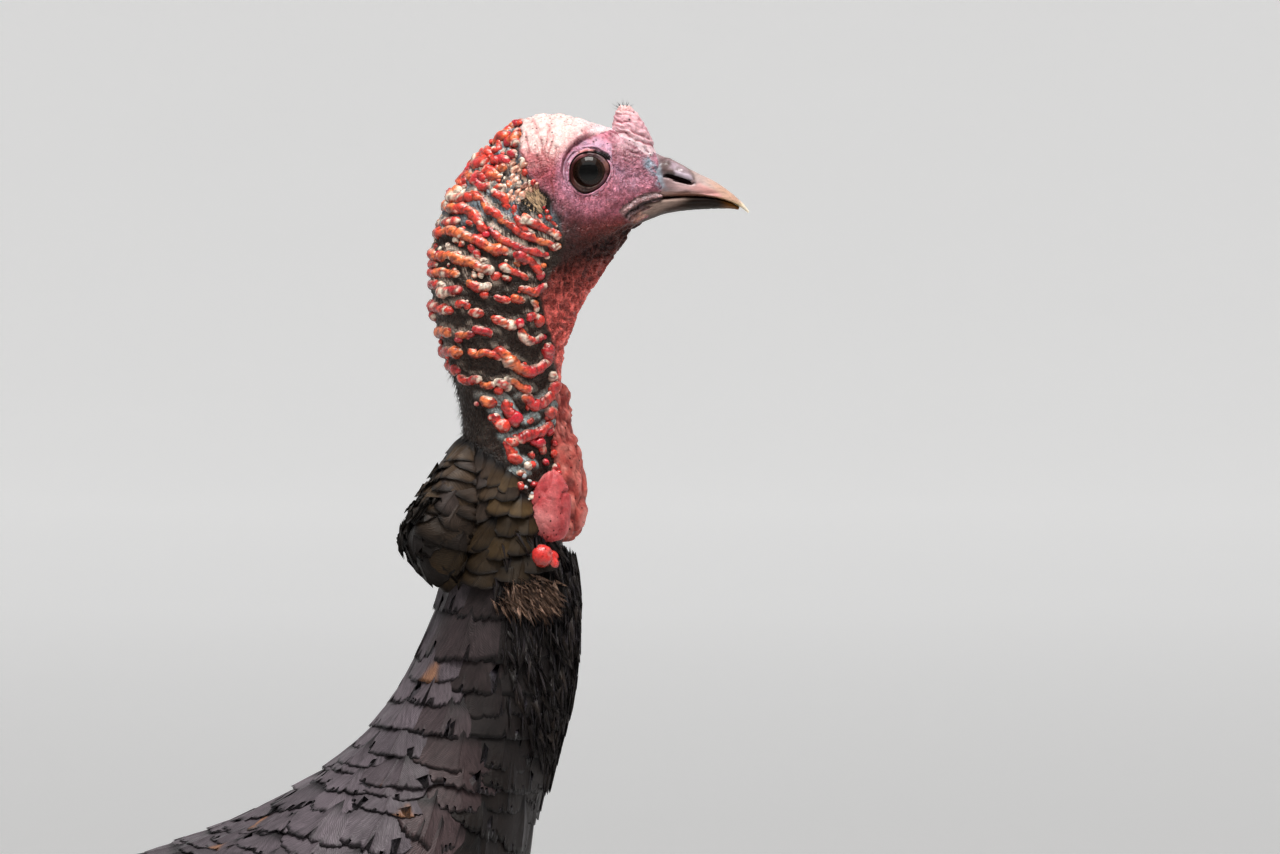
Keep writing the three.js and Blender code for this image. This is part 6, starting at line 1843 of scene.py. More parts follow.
def ruff_coat(heap, skin):
    """Rounded scale-like feathers down the upper neck, looser and more ragged over the tuft on the nape."""
    rng = np.random.default_rng(41)
    form, push = ruff_form(skin)
    flat, faces = closed_grid(part_grid(NAPE_TUFT, 40, 72, -5.0))
    heap.add(flat, faces, np.array(UNDERFEATHER), bake=np.full((len(flat), 2), 0.995))
    smooth = Make(13, 11, root=0.5, round_tip=0.32, tip_power=2.6, low=0.1, high=2.2, camber=0.18, worn=0.015, splits=0.04, yaw=0.12)
    ragged = Make(13, 19, root=0.55, round_tip=0.34, tip_power=2.4, low=0.2, high=2.8, camber=0.09, worn=0.03, splits=0.42,
                  yaw=0.18, curl=0.07)
    places = shingle_rows(form, 0.5, 99, lambda share: 2.8 + 4.6 * share, lambda share: 3.5 + 6.5 * share, rng)
    i, j, gap, width = places.T
    spots = form.place(i, j, np.zeros(len(i)))
    out = form.read(push[..., None], i, j)[:, 0]
    loose = (out > 4.0) & (spots[:, 2] < -108) & (spots[:, 0] < -48 - 6 * rng.random(len(i)))
    for make, chosen in ((smooth, ~loose), (ragged, loose)):
        room = spots[:, 2] + 160 - np.clip(-58 - spots[:, 0], 0, 16) - 13 * ramp(spots[:, 0], -24, -12) + rng.uniform(-1, 3, len(i))
        kept = chosen & (over_feathers(spots) > 0.5) & (room > 5.5) & ((spots[:, 0] < -16) | (spots[:, 2] > -134))
        length = np.minimum(np.clip(gap[kept], 2.8, 9.5) * 2.35 * rng.uniform(0.9, 1.15, kept.sum()), room[kept])
        wide = np.clip(width[kept], 3, 12) * 1.6
        uv = body_unwrap(form, i[kept], j[kept])
        lay_feathers(heap, form, make, i[kept], j[kept], length, wide, scale_paint, rng, uv)


def hair_coat(heap, skin):
    """Below the ruff: a small patch of brown hair-like plumes on either side, and black ones down the front."""
    rng = np.random.default_rng(43)
    strand = Make(9, 3, root=0.6, round_tip=0.7, tip_power=1.5, low=1.6, high=4.4, camber=0.12, yaw=0.26, curl=0.05,
                  taper=0.8, bend=4.0, thick=0.16)
    patch = lambda p: np.hypot((p[:, 0] + 26) / 9.5, (p[:, 2] + 162) / 6) < 1 + 0.35 * noise(p, 4, 127)
    add_coat(heap, skin, strand, (14.6, 15.7), lambda share: 1.3, lambda share: 0.45, hair_paint, rng, 8.0, 0.85, patch, 0.75)
    plume = Make(9, 5, root=0.5, round_tip=0.75, tip_power=1.6, low=0.5, high=3.4, camber=0.10, worn=0.03, yaw=0.22,
                 curl=0.05, taper=0.7, bend=0.9, thick=0.16)
    front = lambda p: p[:, 0] > -33 + 6 * noise(p, 7, 128) + 10 * ramp(-p[:, 2], 190, 225)
    add_coat(heap, skin, plume, (14.1, 17.9), lambda share: 5.0, lambda share: 2.4, plume_paint, rng, 3.2, 1.1, front, 0.3)


def hair_paint(spot, s, c, luck):
    base = mixed(column(luck[:, 3]) + 0 * s + 0 * c, (0.085, 0.050, 0.034), (0.52, 0.32, 0.22))
    base = mixed(column(ramp(spot[:, 0], -22, -13)) * 0.7 + 0 * s * c, base, (0.016, 0.012, 0.011))
    return mixed(ramp(s, 0.6, 1.0) * 0.35 * (column(luck[:, 4]) > 0.5), base, (0.24, 0.16, 0.11))


def plume_paint(spot, s, c, luck):
    base = mixed(column(luck[:, 3] ** 2) + 0 * s + 0 * c, (0.007, 0.005, 0.004), (0.026, 0.018, 0.014))
    return mixed(ramp(0.5 - s, 0, 0.3) + 0 * c, base, (0.006, 0.005, 0.005))


def shingle_coat(heap, skin, stations, exposed, wide, round_tip):
    """Broad square-ended feathers in bands round the lower neck. Their edges are split and comb-like."""
    rng = np.random.default_rng(int(47 + stations[0]))
    square = Make(8, 37, root=0.8, round_tip=round_tip, tip_power=3.6, low=0.25, high=2.1, camber=0.025, worn=0.008,
                  splits=0.28, yaw=0.03 + 0.3 * round_tip, thick=0.2, bend=0.03, droop=0.35)
    size = lambda pair: (lambda share: pair[0] + (pair[1] - pair[0]) * share)
    fitting = lambda p: (p[:, 0] < -16) | (p[:, 2] < -172)
    add_coat(heap, skin, square, stations, size(exposed), size(wide), neck_paint, rng, 1.95, 1.5, fitting, vary=0.5 * round_tip + 0.04)


def upper_shingles(heap, skin):
    shingle_coat(heap, skin, (14.7, 17.6), (13.0, 10.5), (17.0, 19.0), 0.1)
    shingle_coat(heap, skin, (17.6, 19.2), (10.0, 8.6), (18.0, 18.5), 0.2)


def lower_shingles(heap, skin):
    shingle_coat(heap, skin, (19.2, 20.6), (9.0, 10.5), (17.5, 19.5), 0.24)


def breast_coat(heap, skin):
    rng = np.random.default_rng(53)
    broad = Make(10, 13, root=0.6, round_tip=0.26, tip_power=2.6, low=0.5, high=3.4, camber=0.06, worn=0.016, splits=0.14,
                 yaw=0.08, thick=0.35)
    size = lambda a, b: (lambda share: a + (b - a) * share)
    add_coat(heap, skin, broad, (20.4, 22.6), size(12, 15), size(17, 19), body_paint, rng, 2.5, 1.65, off_wing)


def back_coat(heap, skin):
    """Feathers of back, belly and rump, and the long loose ones of the flanks that hang over the tops of the thighs."""
    rng = np.random.default_rng(54)
    broad = Make(9, 11, root=0.6, round_tip=0.26, tip_power=2.6, low=0.5, high=3.4, camber=0.06, worn=0.016, splits=0.14,
                 yaw=0.08, thick=0.35)
    size = lambda a, b: (lambda share: a + (b - a) * share)
    add_coat(heap, skin, broad, (22.6, 27.9), size(15, 22), size(19, 24), body_paint, rng, 2.5, 1.65, off_wing)
    loose = Make(11, 11, root=0.55, round_tip=0.34, tip_power=2.4, low=1.6, high=11.0, camber=0.08, worn=0.02, splits=0.2,
                 yaw=0.12, thick=0.35)
    flank = lambda p: (np.abs(p[:, 0] + 192) < 82) & (np.abs(p[:, 2] + 498) < 22) & (np.abs(p[:, 1]) > 70)
    add_coat(heap, skin, loose, (22.2, 25.4), size(15, 15), size(17, 17), body_paint, rng, 3.9, 1.8, flank, 0.75)


# ---- Wings ----
def side_points(rows, at, angle, grow, power=3.2):
    r = smooth_rows(rows, at)
    c, s = np.cos(angle), np.sin(angle)
    across = np.sign(s) * np.abs(s) ** (2 / power) * (r[..., 4] + grow)
    up = np.sign(c) * np.abs(c) ** (2 / power) * (r[..., 2] + grow)
    return np.stack([r[..., 0] + 0 * angle, r[..., 3] - r[..., 4] + across, r[..., 1] + up], -1)


def even_rings(points, columns):
    """Rings resampled so that their points are evenly spaced."""
    made = []
    for ring in points:
        reach = np.concatenate([[0], np.cumsum(np.linalg.norm(np.diff(ring, axis=0), axis=1))])
        want = np.linspace(0, reach[-1], columns)
        made.append(np.stack([np.interp(want, reach, ring[:, k]) for k in range(3)], -1))
    return np.array(made)


def face_surface(points_of, rows, steps, columns, grow, first, last):
    """The outer face of a flattened form, between two angles."""
    at = np.linspace(0, len(rows) - 1, steps)[:, None]
    angle = np.linspace(first, last, 220)[None, :]
    points = even_rings(points_of(rows, at + 0 * angle, angle + 0 * at, grow), columns)
    whole = points_of(rows, at + 0 * angle, np.linspace(0, 2 * np.pi, 220, endpoint=False)[None, :] + 0 * at, grow)
    middle = whole.mean(1, keepdims=True)
    return Surface(points, np.gradient(points, axis=0), outward=points - middle, closed=False)


def face_unwrap(surface, i, j, corner=(0.02, 0.02), size=(0.96, 0.96)):
    i, j = np.clip(i, 0, surface.rows - 1), np.clip(j, 0, surface.columns - 1)
    return np.column_stack([corner[0] + size[0] * i / surface.rows, corner[1] + size[1] * j / surface.columns])


def column_row(surface, x, z):
    """Grid place on a face nearest to a place in the side view."""
    d = (surface.points[..., 0] - x) ** 2 + (surface.points[..., 2] - z) ** 2
    return np.unravel_index(np.argmin(d), d.shape)


def form_grid(points_of, rows, steps, around, grow, sign):
    at = np.linspace(0.05, len(rows) - 1.02, steps)[:, None]
    angle = np.arange(around)[None, :] * 2 * np.pi / around
    points = points_of(rows, at + 0 * angle, angle + 0 * at, grow) * (1, sign, 1)
    return closed_grid(points)


def wing_coat(heap, quills, sign):
    rng = np.random.default_rng(61)
    face = face_surface(side_points, WING, 90, 70, -7.0, -0.45, np.pi + 0.35)
    flat, faces = form_grid(side_points, WING, 60, 48, -8.5, sign)
    heap.add(flat, faces, np.array(UNDERFEATHER), bake=np.full((len(flat), 2), 0.995))
    covert = Make(11, 11, root=0.6, round_tip=0.28, tip_power=2.5, low=0.8, high=5.2, camber=0.06, worn=0.014, splits=0.08,
                  yaw=0.08, thick=0.5)
    places = shingle_rows(face, 1.0, 54, lambda share: 8 + 17 * share, lambda share: 12 + 14 * share, rng, 0.22)
    i, j, gap, width = places.T
    spots = face.place(i, j, np.zeros(len(i)))
    keep = (spots[:, 2] > -512) & (gap > 2)
    i, j, gap, width = i[keep], j[keep], gap[keep], width[keep]
    length = np.clip(gap, 7, 32) * 2.5 * rng.uniform(0.95, 1.08, len(i))
    uv = face_unwrap(face, i, j)
    lay_feathers(heap, face, covert, i, j, length, width * 1.5, covert_paint, rng, uv, yaw=-0.06, mirror=sign)
    # Flight feathers lie side by side under the coverts, the innermost on top
    long = Make(44, 9, root=0.75, round_tip=0.2, tip_power=2.2, low=0.0, high=0.0, camber=0.03, worn=0.004, splits=0.01,
                yaw=0.0, thick=0.8, taper=0.1, bend=0.02)
    count = 15
    for k in range(count):
        share = k / (count - 1)
        lane = face.columns * (0.07 + 0.8 * share**1.1)
        row = column_row(face, -338 + 30 * share, -440)[0]
        start, end = face.points[row, int(lane)], face.points[-1, int(lane)]
        reach = np.linalg.norm(end - start) * np.interp(share, [0, 0.3, 0.7, 1], [0.72, 0.93, 1.0, 1.02])
        long.low, long.high = 0.2, 5.2 - 4.2 * share
        strip = np.array([[(k + 0.5) / 28, 0.5]])
        lay_feathers(
            quills, face, long, np.array([float(row)]), np.array([lane]), [reach], [44.0], flight_paint, rng, strip, 0.0,
            (0.03, 0.94), sign, bars=0.15 + 0.85 * ramp(share, 0.25, 0.75),
        )
    lower = face_surface(side_points, PRIMARIES, 60, 30, -2.5, -0.2, np.pi + 0.2)
    flat, faces = form_grid(side_points, PRIMARIES, 40, 24, -3.5, sign)
    quills.add(flat, faces, np.array(UNDERFEATHER), bake=np.full((len(flat), 2), 0.995))
    for k in range(9):
        i, j = (np.array([float(v)]) for v in column_row(lower, -310 - 2 * k, -494 - 2.4 * k))
        long.low = long.high = 2.4 - 0.25 * k
        strip = np.array([[(k + 15.5) / 28, 0.5]])
        far = 336 - 13 * k
        lay_feathers(quills, lower, long, i, j, [far], [21.0], primary_paint, rng, strip, 0.0, (0.03, 0.94), sign, bars=1.0)


def primary_paint(spot, s, c, luck):
    return np.broadcast_to(np.array((0.045, 0.038, 0.034)), np.broadcast_shapes(s.shape, c.shape, (len(spot), 1, 1)) + (3,))


# ---- Tail ----
def fan_points(rows, at, angle, grow, power=3):
    r = smooth_rows(np.column_stack([rows, np.zeros(len(rows))]), at)
    c, s = np.cos(angle), np.sin(angle)
    y = np.sign(s) * np.abs(s) ** (2 / power) * (r[..., 2] + grow)
    up = np.sign(c) * np.abs(c) ** (2 / power) * (r[..., 3] + grow)
    return np.stack([r[..., 0] + 0 * angle, y, r[..., 1] + up - TAIL_ARCH * (y / 70) ** 2], -1)


def tail_coat(heap, coverts):
    rng = np.random.default_rng(67)
    vane = Make(40, 9, root=0.35, round_tip=0.14, tip_power=2.4, low=0, high=0, camber=0.012, worn=0.003, splits=0.008, yaw=0,
                thick=0.8, bend=0.0)
    for k in range(18):
        rank = k // 2
        side = 1 if k % 2 else -1
        lean = side * (0.008 + 0.021 * rank)
        root = np.array([-566.0 - rank, side * (1.5 + 2.4 * rank), -446.5 - 0.9 * rank])
        tip = np.array([-862.0 + 4.5 * rank, root[1] + np.tan(lean) * 296 * 1.25, -572.5 - 0.75 * rank])
        middle = (root + tip) / 2 + (0, 0, 3.0)
        t = np.linspace(0, 1, 50)[:, None]
        spine = root * (1 - t) ** 2 + 2 * middle * t * (1 - t) + tip * t**2
        reach = np.linspace(-34, 34, 21)
        y = spine[:, None, 1] + reach[None, :] + 0 * t
        grid = np.stack([spine[:, None, 0] + 0 * y, y, spine[:, None, 2] - TAIL_ARCH * (y / 70) ** 2], -1)
        form = Surface(grid, np.gradient(grid, axis=0), outward=np.broadcast_to((0, 0, 1.0), grid.shape), closed=False)
        i, j = np.array([0.0]), np.array([10.0])
        length = np.linalg.norm(np.diff(form.points[:, 10], axis=0), axis=1).sum() - 1.0
        strip = np.array([[(k + 0.5) / 18, 0.5]])
        wide = np.interp(rank, [0, 8], [62, 52])
        lay_feathers(heap, form, vane, i, j, [length], [wide], tail_paint, rng, strip, 0.0, (0.05, 0.94), bars=1.0)
    make = Make(15, 11, root=0.6, round_tip=0.34, tip_power=2.4, low=-2.0, high=3.4, camber=0.06, worn=0.02, splits=0.12, yaw=0.09,
                thick=0.5)
    for rows, first, last, corner in (
        (UPPER_COVERTS, -np.pi / 2 - 0.25, np.pi / 2 + 0.25, 0.0), (LOWER_COVERTS, np.pi / 2 - 0.25, 3 * np.pi / 2 + 0.25, 0.5),
    ):
        face = face_surface(fan_points, rows, 60, 40, -4.5, first, last)
        flat, faces = form_grid(fan_points, rows, 36, 32, -5.5, 1)
        coverts.add(flat, faces, np.array(UNDERFEATHER), bake=np.full((len(flat), 2), 0.995))
        places = shingle_rows(face, 2.0, 48, lambda share: 13 + 4 * share, lambda share: 11 + 3 * share, rng, 0.18)
        i, j, gap, width = places.T
        uv = face_unwrap(face, i, j, (0.02, corner + 0.01), (0.96, 0.46))
        length = np.minimum(np.clip(gap, 12, 22) * 2.6, (59.5 - i) * np.linalg.norm(face.down, axis=-1).mean() + 6)
        lay_feathers(coverts, face, make, i, j, length, width * 1.8, tail_covert_paint, rng, uv)


# ---- Thighs ----
def thigh_coat(heap, name, sign):
    rng = np.random.default_rng(71)
    rows = [[x, y * sign, z, deep - 4, wide - 3.5] for x, z, deep, wide, y in THIGH]
    at = np.linspace(0, len(rows) - 1, 80)
    r = smooth_rows(rows, at)
    angle = np.arange(64) * 2 * np.pi / 64
    points = np.stack([
        r[:, :1] + stride_shift(name, r[:, 2:3]) + r[:, 3:4] * np.cos(angle), r[:, 1:2] + r[:, 4:5] * np.sin(angle),
        r[:, 2:3] + 0 * angle,
    ], -1)
    form = Surface(points, np.gradient(points, axis=0))
    make = Make(9, 7, root=0.55, round_tip=0.35, tip_power=2.4, low=0.3, high=3.4, camber=0.07, worn=0.02, splits=0.16, yaw=0.10)
    places = shingle_rows(form, 8, 76, lambda share: 17 - 11 * share, lambda share: 17 - 11 * share, rng)
    i, j, gap, width = places.T
    length = np.minimum(np.clip(gap, 5, 20) * 2.3, (79 - i) * np.linalg.norm(form.down, axis=-1).mean() + rng.uniform(1, 9, len(i)))
    uv = body_unwrap(form, i, j) * (1, 0.48) + (0, 0.5 * (sign > 0))
    lay_feathers(heap, form, make, i, j, length, width * 1.7, thigh_paint, rng, uv)


# ---- Beard, shanks, toes, claws and spurs ----
def add_beard(heap):
    """Long stiff bristles that hang from among the breast feathers."""
    rng = np.random.default_rng(73)
    count = 340
    rows = [[-66, -306, -58, -318, 5, 0.5]] + BEARD
    at = np.linspace(0, len(rows) - 1, 26)
    r = smooth_rows(rows, at)
    front, rear, half = r[:, [0, 1]], r[:, [2, 3]], r[:, 4]
    lane, side = rng.uniform(-0.9, 0.9, count), rng.uniform(-0.9, 0.9, count)
    reach = 1 - 0.42 * rng.uniform(0, 1, count) ** 1.6
    share = np.linspace(0, 1, 26)
    paths = np.empty((count, 26, 3))
    for k in range(count):
        s = share * reach[k]
        wave = 0.09 * np.sin(share * rng.uniform(4, 9) + rng.uniform(0, 6)) + 0.25 * rng.normal() * share**3
        u = (lane[k] + wave + 1) / 2
        x = np.interp(s, share, front[:, 0]) * u + np.interp(s, share, rear[:, 0]) * (1 - u)
        z = np.interp(s, share, front[:, 1]) * u + np.interp(s, share, rear[:, 1]) * (1 - u)
        paths[k] = np.stack([x, (side[k] + wave) * np.interp(s, share, half), z], -1)
    radii = 0.46 * (1 - 0.75 * share[None] ** 2) * rng.uniform(0.8, 1.25, (count, 1))
    flat, faces = tube_bundle(paths, radii, 4)
    tone = mixed(rng.uniform(0, 1, count) ** 2, (0.006, 0.005, 0.005), (0.040, 0.021, 0.012))
    # Painted shade: the bristles are darker near their roots, standing for the breast feathers' shade over them.
    painted_root_shade = np.append(np.repeat(0.25 + 0.75 * ramp(share, 0.2, 0.42), 4), (0.25, 1.0))
    heap.add(flat, faces, np.repeat(tone, 26 * 4 + 2, 0) * np.tile(painted_root_shade, count)[:, None])


def shank_ends(name, sign):
    hock = np.array([HOCK[0] + stride_shift(name, HOCK[2]), HOCK[1] * sign, HOCK[2]])
    ankle = np.array([ANKLE[0] + STRIDE[name], ANKLE[1] * sign, FLOOR + ANKLE[2]])
    return hock, ankle


def scute_relief(across, along, high, wide):
    """Rows of overlapping plates: how far each point stands out, and the joints between plates."""
    row = np.floor(along / high)
    rise = along / high - row
    shift = across / wide + 0.5 * np.mod(row, 2)
    edge = np.minimum(np.abs(shift - np.round(shift)) * wide, np.minimum(rise, 1 - rise) * high)
    return ramp(edge, 0.0, 0.7) * (0.55 + 0.45 * rise), edge


LEG_PALE = (0.50, 0.29, 0.25)
LEG_DARK = (0.26, 0.15, 0.135)


def add_shank(heap, name, sign):
    hock, ankle = shank_ends(name, sign)
    steps, around = 260, 96
    rows = np.array(SHANK)
    share = np.linspace(-0.1, 1.03, steps)
    last = rows[-1]
    radii = smooth_rows(np.vstack([rows, [1.03, last[1], last[2]]]), np.interp(share, np.append(rows[:, 0], 1.03), np.arange(len(rows) + 1)))
    angle = np.arange(around)[None, :] * 2 * np.pi / around
    middle = hock + (ankle - hock) * share[:, None]
    p = np.stack([middle[:, :1] + np.cos(angle) * radii[:, 1:2], middle[:, 1:2] + np.sin(angle) * radii[:, 2:3], middle[:, 2:] + 0 * angle], -1)
    away = np.stack([np.cos(angle), np.sin(angle), 0 * angle], -1) + 0 * p
    down = (share * np.linalg.norm(ankle - hock))[:, None] + 0 * angle
    turn = np.mod(angle + np.pi, 2 * np.pi) - np.pi
    front = ramp(np.cos(turn), 0.15, 0.4) + 0 * down
    rear = ramp(-np.cos(turn), 0.5, 0.75) + 0 * down
    plates, edge = scute_relief(turn * 8.2 + 0 * down + 4.1, down + 0.9 * noise(p, 12, 141), 7.4, 11.0)
    back_plates, back_edge = scute_relief((turn - np.pi) * 8 + 0 * down, down, 4.2, 6.0)
    cells = pebbles(p, 2.6, 142)
    grains = ramp(cells[1], 0.02, 0.3)
    relief = front * plates * 0.85 + rear * back_plates * 0.5 + (1 - front) * (1 - rear) * grains * 0.5
    p = p + away * (relief - 0.75)[..., None]
    joint = front * ramp(0.7 - edge, 0, 0.6) + rear * ramp(0.6 - back_edge, 0, 0.5) + (1 - front - rear).clip(0, 1) * (1 - grains)
    tone = rough(p, 9, 143)
    colour = mixed(ramp(tone, -0.5, 0.6), LEG_DARK, LEG_PALE)
    colour = mixed(joint * 0.6, colour, (0.15, 0.075, 0.07))
    flat, faces = closed_grid(p)
    heap.add(flat, faces, np.vstack([colour.reshape(-1, 3), colour[0, :1], colour[-1, :1]]))


def toe_path(name, sign, turn, length):
    """The ankle, and the way along the floor that a toe turned by an angle points."""
    _, ankle = shank_ends(name, sign)
    way = np.array([np.cos(np.radians(turn * sign)), np.sin(np.radians(turn * sign)), 0])
    return ankle, way


def add_toe(heap, claws, name, sign, toe):
    _, turn, length, root, end, claw = toe
    ankle, way = toe_path(name, sign, turn, length)
    steps, around = 110, 56
    share = np.linspace(0, 1, steps)[:, None]
    angle = np.arange(around)[None, :] * 2 * np.pi / around
    side = np.cross((0, 0, 1.0), way)
    reach = 5 + (length - 5) * share
    radius = (root + (end - root) * share) * (1 + 0.07 * np.cos((reach - 5) / 18 * 2 * np.pi))
    radius = radius * np.sqrt(np.clip(1 - np.clip((share - 0.93) / 0.075, 0, 0.995) ** 2, 0, 1))
    middle = FLOOR + np.maximum((root + (end - root) * share) * 0.86, 0) + 4.5 * bell(share, 0.16)
    up = np.sin(angle) * radius
    across = np.cos(angle) * radius * 1.08
    p = ankle * (1, 1, 0) + way * reach[..., None] + side * across[..., None] + np.array((0, 0, 1.0)) * (middle + up)[..., None]
    plates, edge = scute_relief(across * 0.1 + 50, reach + 0 * angle, 4.6, 100.0)
    top = ramp(np.sin(angle), 0.1, 0.45) + 0 * share
    grains = ramp(pebbles(p, 2.0, 151)[1], 0.02, 0.3)
    relief = top * plates * 0.7 + (1 - top) * grains * 0.45 - 0.55
    away = side * np.cos(angle)[..., None] + np.array((0, 0, 1.0)) * np.sin(angle)[..., None] + 0 * p
    p = p + away * relief[..., None]
    p[..., 2] = np.maximum(p[..., 2], FLOOR)
    tone = rough(p, 8, 152)
    colour = mixed(ramp(tone, -0.5, 0.6), LEG_DARK, LEG_PALE)
    colour = mixed(top * ramp(0.7 - edge, 0, 0.6) * 0.6 + (1 - top) * (1 - grains) * 0.5, colour, (0.15, 0.075, 0.07))
    flat, faces = closed_grid(p)
    heap.add(flat, faces, np.vstack([colour.reshape(-1, 3), colour[0, :1], colour[-1, :1]]))
    t = np.linspace(0, 1, 40)
    tip = ankle * (1, 1, 0) + way * (length - 4)
    tip[2] = FLOOR + end * 0.86
    path = tip + way * (claw + 4) * t[:, None] + np.array((0, 0, 1.0)) * (end * 0.3 * np.sin(t * np.pi) - (end * 0.86 - 0.9) * t**1.8)[:, None]
    radii = (end * 0.72) * (1 - t) ** 0.75 + 0.35
    flat, faces = tube_bundle(path[None], radii[None], 28)
    flat = flat.reshape(-1, 3)
    flat[:, 2] = np.maximum(flat[:, 2], FLOOR)
    shade = mixed(rough(flat * (0.4, 1, 1), 2.0, 153) * 0.5 + 0.5, (0.035, 0.022, 0.017), (0.12, 0.085, 0.06))
    claws.add(flat, faces, shade)


def add_spur(heap, name, sign):
    hock, ankle = shank_ends(name, sign)
    start = hock + (ankle - hock) * SPUR_SHARE
    t = np.linspace(0, 1, 44)
    bend = smooth_rows(np.array(SPUR_BEND, float), t * 2)
    path = start + np.stack([bend[:, 0], bend[:, 1] * sign, bend[:, 2]], -1)
    radii = smooth_rows(np.array(SPUR_RADII, float)[:, None], t * 2)[:, 0] * (1 + 0.03 * np.sin(t * 50))
    flat, faces = tube_bundle(path[None], radii[None], 36)
    shade = mixed(ramp(rough(flat.reshape(-1, 3), 4, 154), -0.4, 0.6), (0.05, 0.034, 0.026), (0.16, 0.115, 0.08))
    heap.add(flat, faces, shade)


# ---- Settings ----
class TurkeyStageSettings(bpy.types.PropertyGroup):
    lens: bpy.props.FloatProperty(name="Lens", description="Focal length of the camera in millimetres", default=250, min=50)
    rise: bpy.props.FloatProperty(
        name="Camera rise", description="Angle of the camera above the level", default=np.radians(1.0), subtype="ANGLE"
    )
    frame_width: bpy.props.FloatProperty(
        name="Frame width", description="Width that the picture shows at the head", default=0.4992, unit="LENGTH"
    )
    top_light: bpy.props.FloatProperty(name="Top light", description="Power of the small light overhead", default=64, unit="POWER")
    soft_light: bpy.props.FloatProperty(name="Soft light", description="Power of the wide light overhead", default=64, unit="POWER")
    sky: bpy.props.FloatProperty(name="Sky", description="Strength of the even light from all round", default=0.26, min=0)


class TurkeySkinSettings(bpy.types.PropertyGroup):
    wetness: bpy.props.FloatProperty(name="Skin roughness", description="How matt the bare skin is", default=0.44, subtype="FACTOR")
    glow: bpy.props.FloatProperty(
        name="Glow", description="Share of light that passes through thin flesh", default=0.12, subtype="FACTOR"
    )


# ---- Operators ----
class TURKEY_OT_stage(bpy.types.Operator):
    """Sets up the camera, the soft lights and the pale floor with its backdrop"""

    bl_idname = "turkey.stage"
    bl_label = "Stage"

    def execute(self, context):
        settings = context.scene.turkey_stage
        camera = bpy.data.objects.new("camera", bpy.data.cameras.new("camera"))
        camera.data.lens = settings.lens
        camera.data.clip_end = 500
        distance = settings.frame_width / camera.data.sensor_width * settings.lens
        aim = Vector((EYES[0] + 0.0199, 0, EYES[2] - 0.09945))
        away = Vector((0, -np.cos(settings.rise), np.sin(settings.rise)))
        camera.location = aim + away * distance
        camera.rotation_euler = away.to_track_quat("Z", "Y").to_euler()
        context.scene.collection.objects.link(camera)
        context.scene.camera = camera
        self.lights(context.scene, settings)
        self.backdrop(context.scene)
        context.scene.view_settings.view_transform = "Standard"
        return {"FINISHED"}

    def lights(self, scene, settings):
        world = bpy.data.worlds.new("sky")
        scene.world = world
        world.use_nodes = True
        world.node_tree.nodes["Background"].inputs["Color"].default_value = (0.97, 0.96, 0.95, 1)
        world.node_tree.nodes["Background"].inputs["Strength"].default_value = settings.sky
        self.panel(scene, "top_light", settings.top_light, (1.2, 0.9), (0.02, -0.6, 1.9))
        self.panel(scene, "soft_light", settings.soft_light, (3.6, 3.0), (0.0, -1.2, 2.5))

    def panel(self, scene, name, power, size, place):
        """A lit panel that faces the head, at a place counted from between the eyes."""
        lamp = bpy.data.lights.new(name, "AREA")
        lamp.shape, lamp.energy, lamp.color = "RECTANGLE", power, (1.0, 0.985, 0.96)
        lamp.size, lamp.size_y = size
        light = bpy.data.objects.new(name, lamp)
        light.location = Vector(EYES) + Vector(place)
        towards = light.location - Vector((EYES[0], 0, EYES[2] - 0.1))
        light.rotation_euler = towards.to_track_quat("Z", "Y").to_euler()
        light.visible_camera = False
        scene.collection.objects.link(light)

    def backdrop(self, scene):
        """A level floor that curves up into a wall all round, far away. It glows faintly, dim on the camera's side and
        brighter on the far side: painted light.
        """
        share = np.linspace(0, np.pi / 2, 24)
        radius = np.concatenate([[0.6, 2, 6, 14, 24], 30 + 16 * np.sin(share)])
        height = np.concatenate([[0, 0, 0, 0, 0], 16 * (1 - np.cos(share))])
        radius, height = np.append(radius, 46.2), np.append(height, 30)
        angle = np.arange(96) * 2 * np.pi / 96
        points = np.stack([radius[:, None] * np.cos(angle), radius[:, None] * np.sin(angle), height[:, None] + 0 * angle], -1)
        points = np.vstack([points.reshape(-1, 3), [[0, 0, 0]]])
        faces = grid_faces(len(radius), 96).tolist() + cap_faces(np.arange(96), len(points) - 1).tolist()
        mesh = bpy.data.meshes.new("backdrop")
        mesh.from_pydata(points.tolist(), [], faces)
        mesh.shade_smooth()
        backdrop = bpy.data.objects.new("backdrop", mesh)
        glowing_paper = Finish("glowing_paper")
        tone = glowing_paper.spread(glowing_paper.grain(900, 2), 0.3, 0.7, 0.0, 1.0)
        glowing_paper.set(Base_Color=glowing_paper.blend(tone, (0.815, 0.805, 0.785, 1), (0.825, 0.815, 0.795, 1)), Roughness=0.9)
        # Painted light: the backdrop glows, dim on the camera's side and brighter on the far side, and lights the bird
        # from there.
        side = glowing_paper.node("ShaderNodeSeparateXYZ", {"Vector": glowing_paper.place()}).outputs["Y"]
        glowing_paper.set(Emission_Color=(0.97, 0.98, 1.0, 1), Emission_Strength=glowing_paper.spread(side, -20, 20, 0.03, 0.36))
        mesh.materials.append(glowing_paper.material)
        scene.collection.objects.link(backdrop)


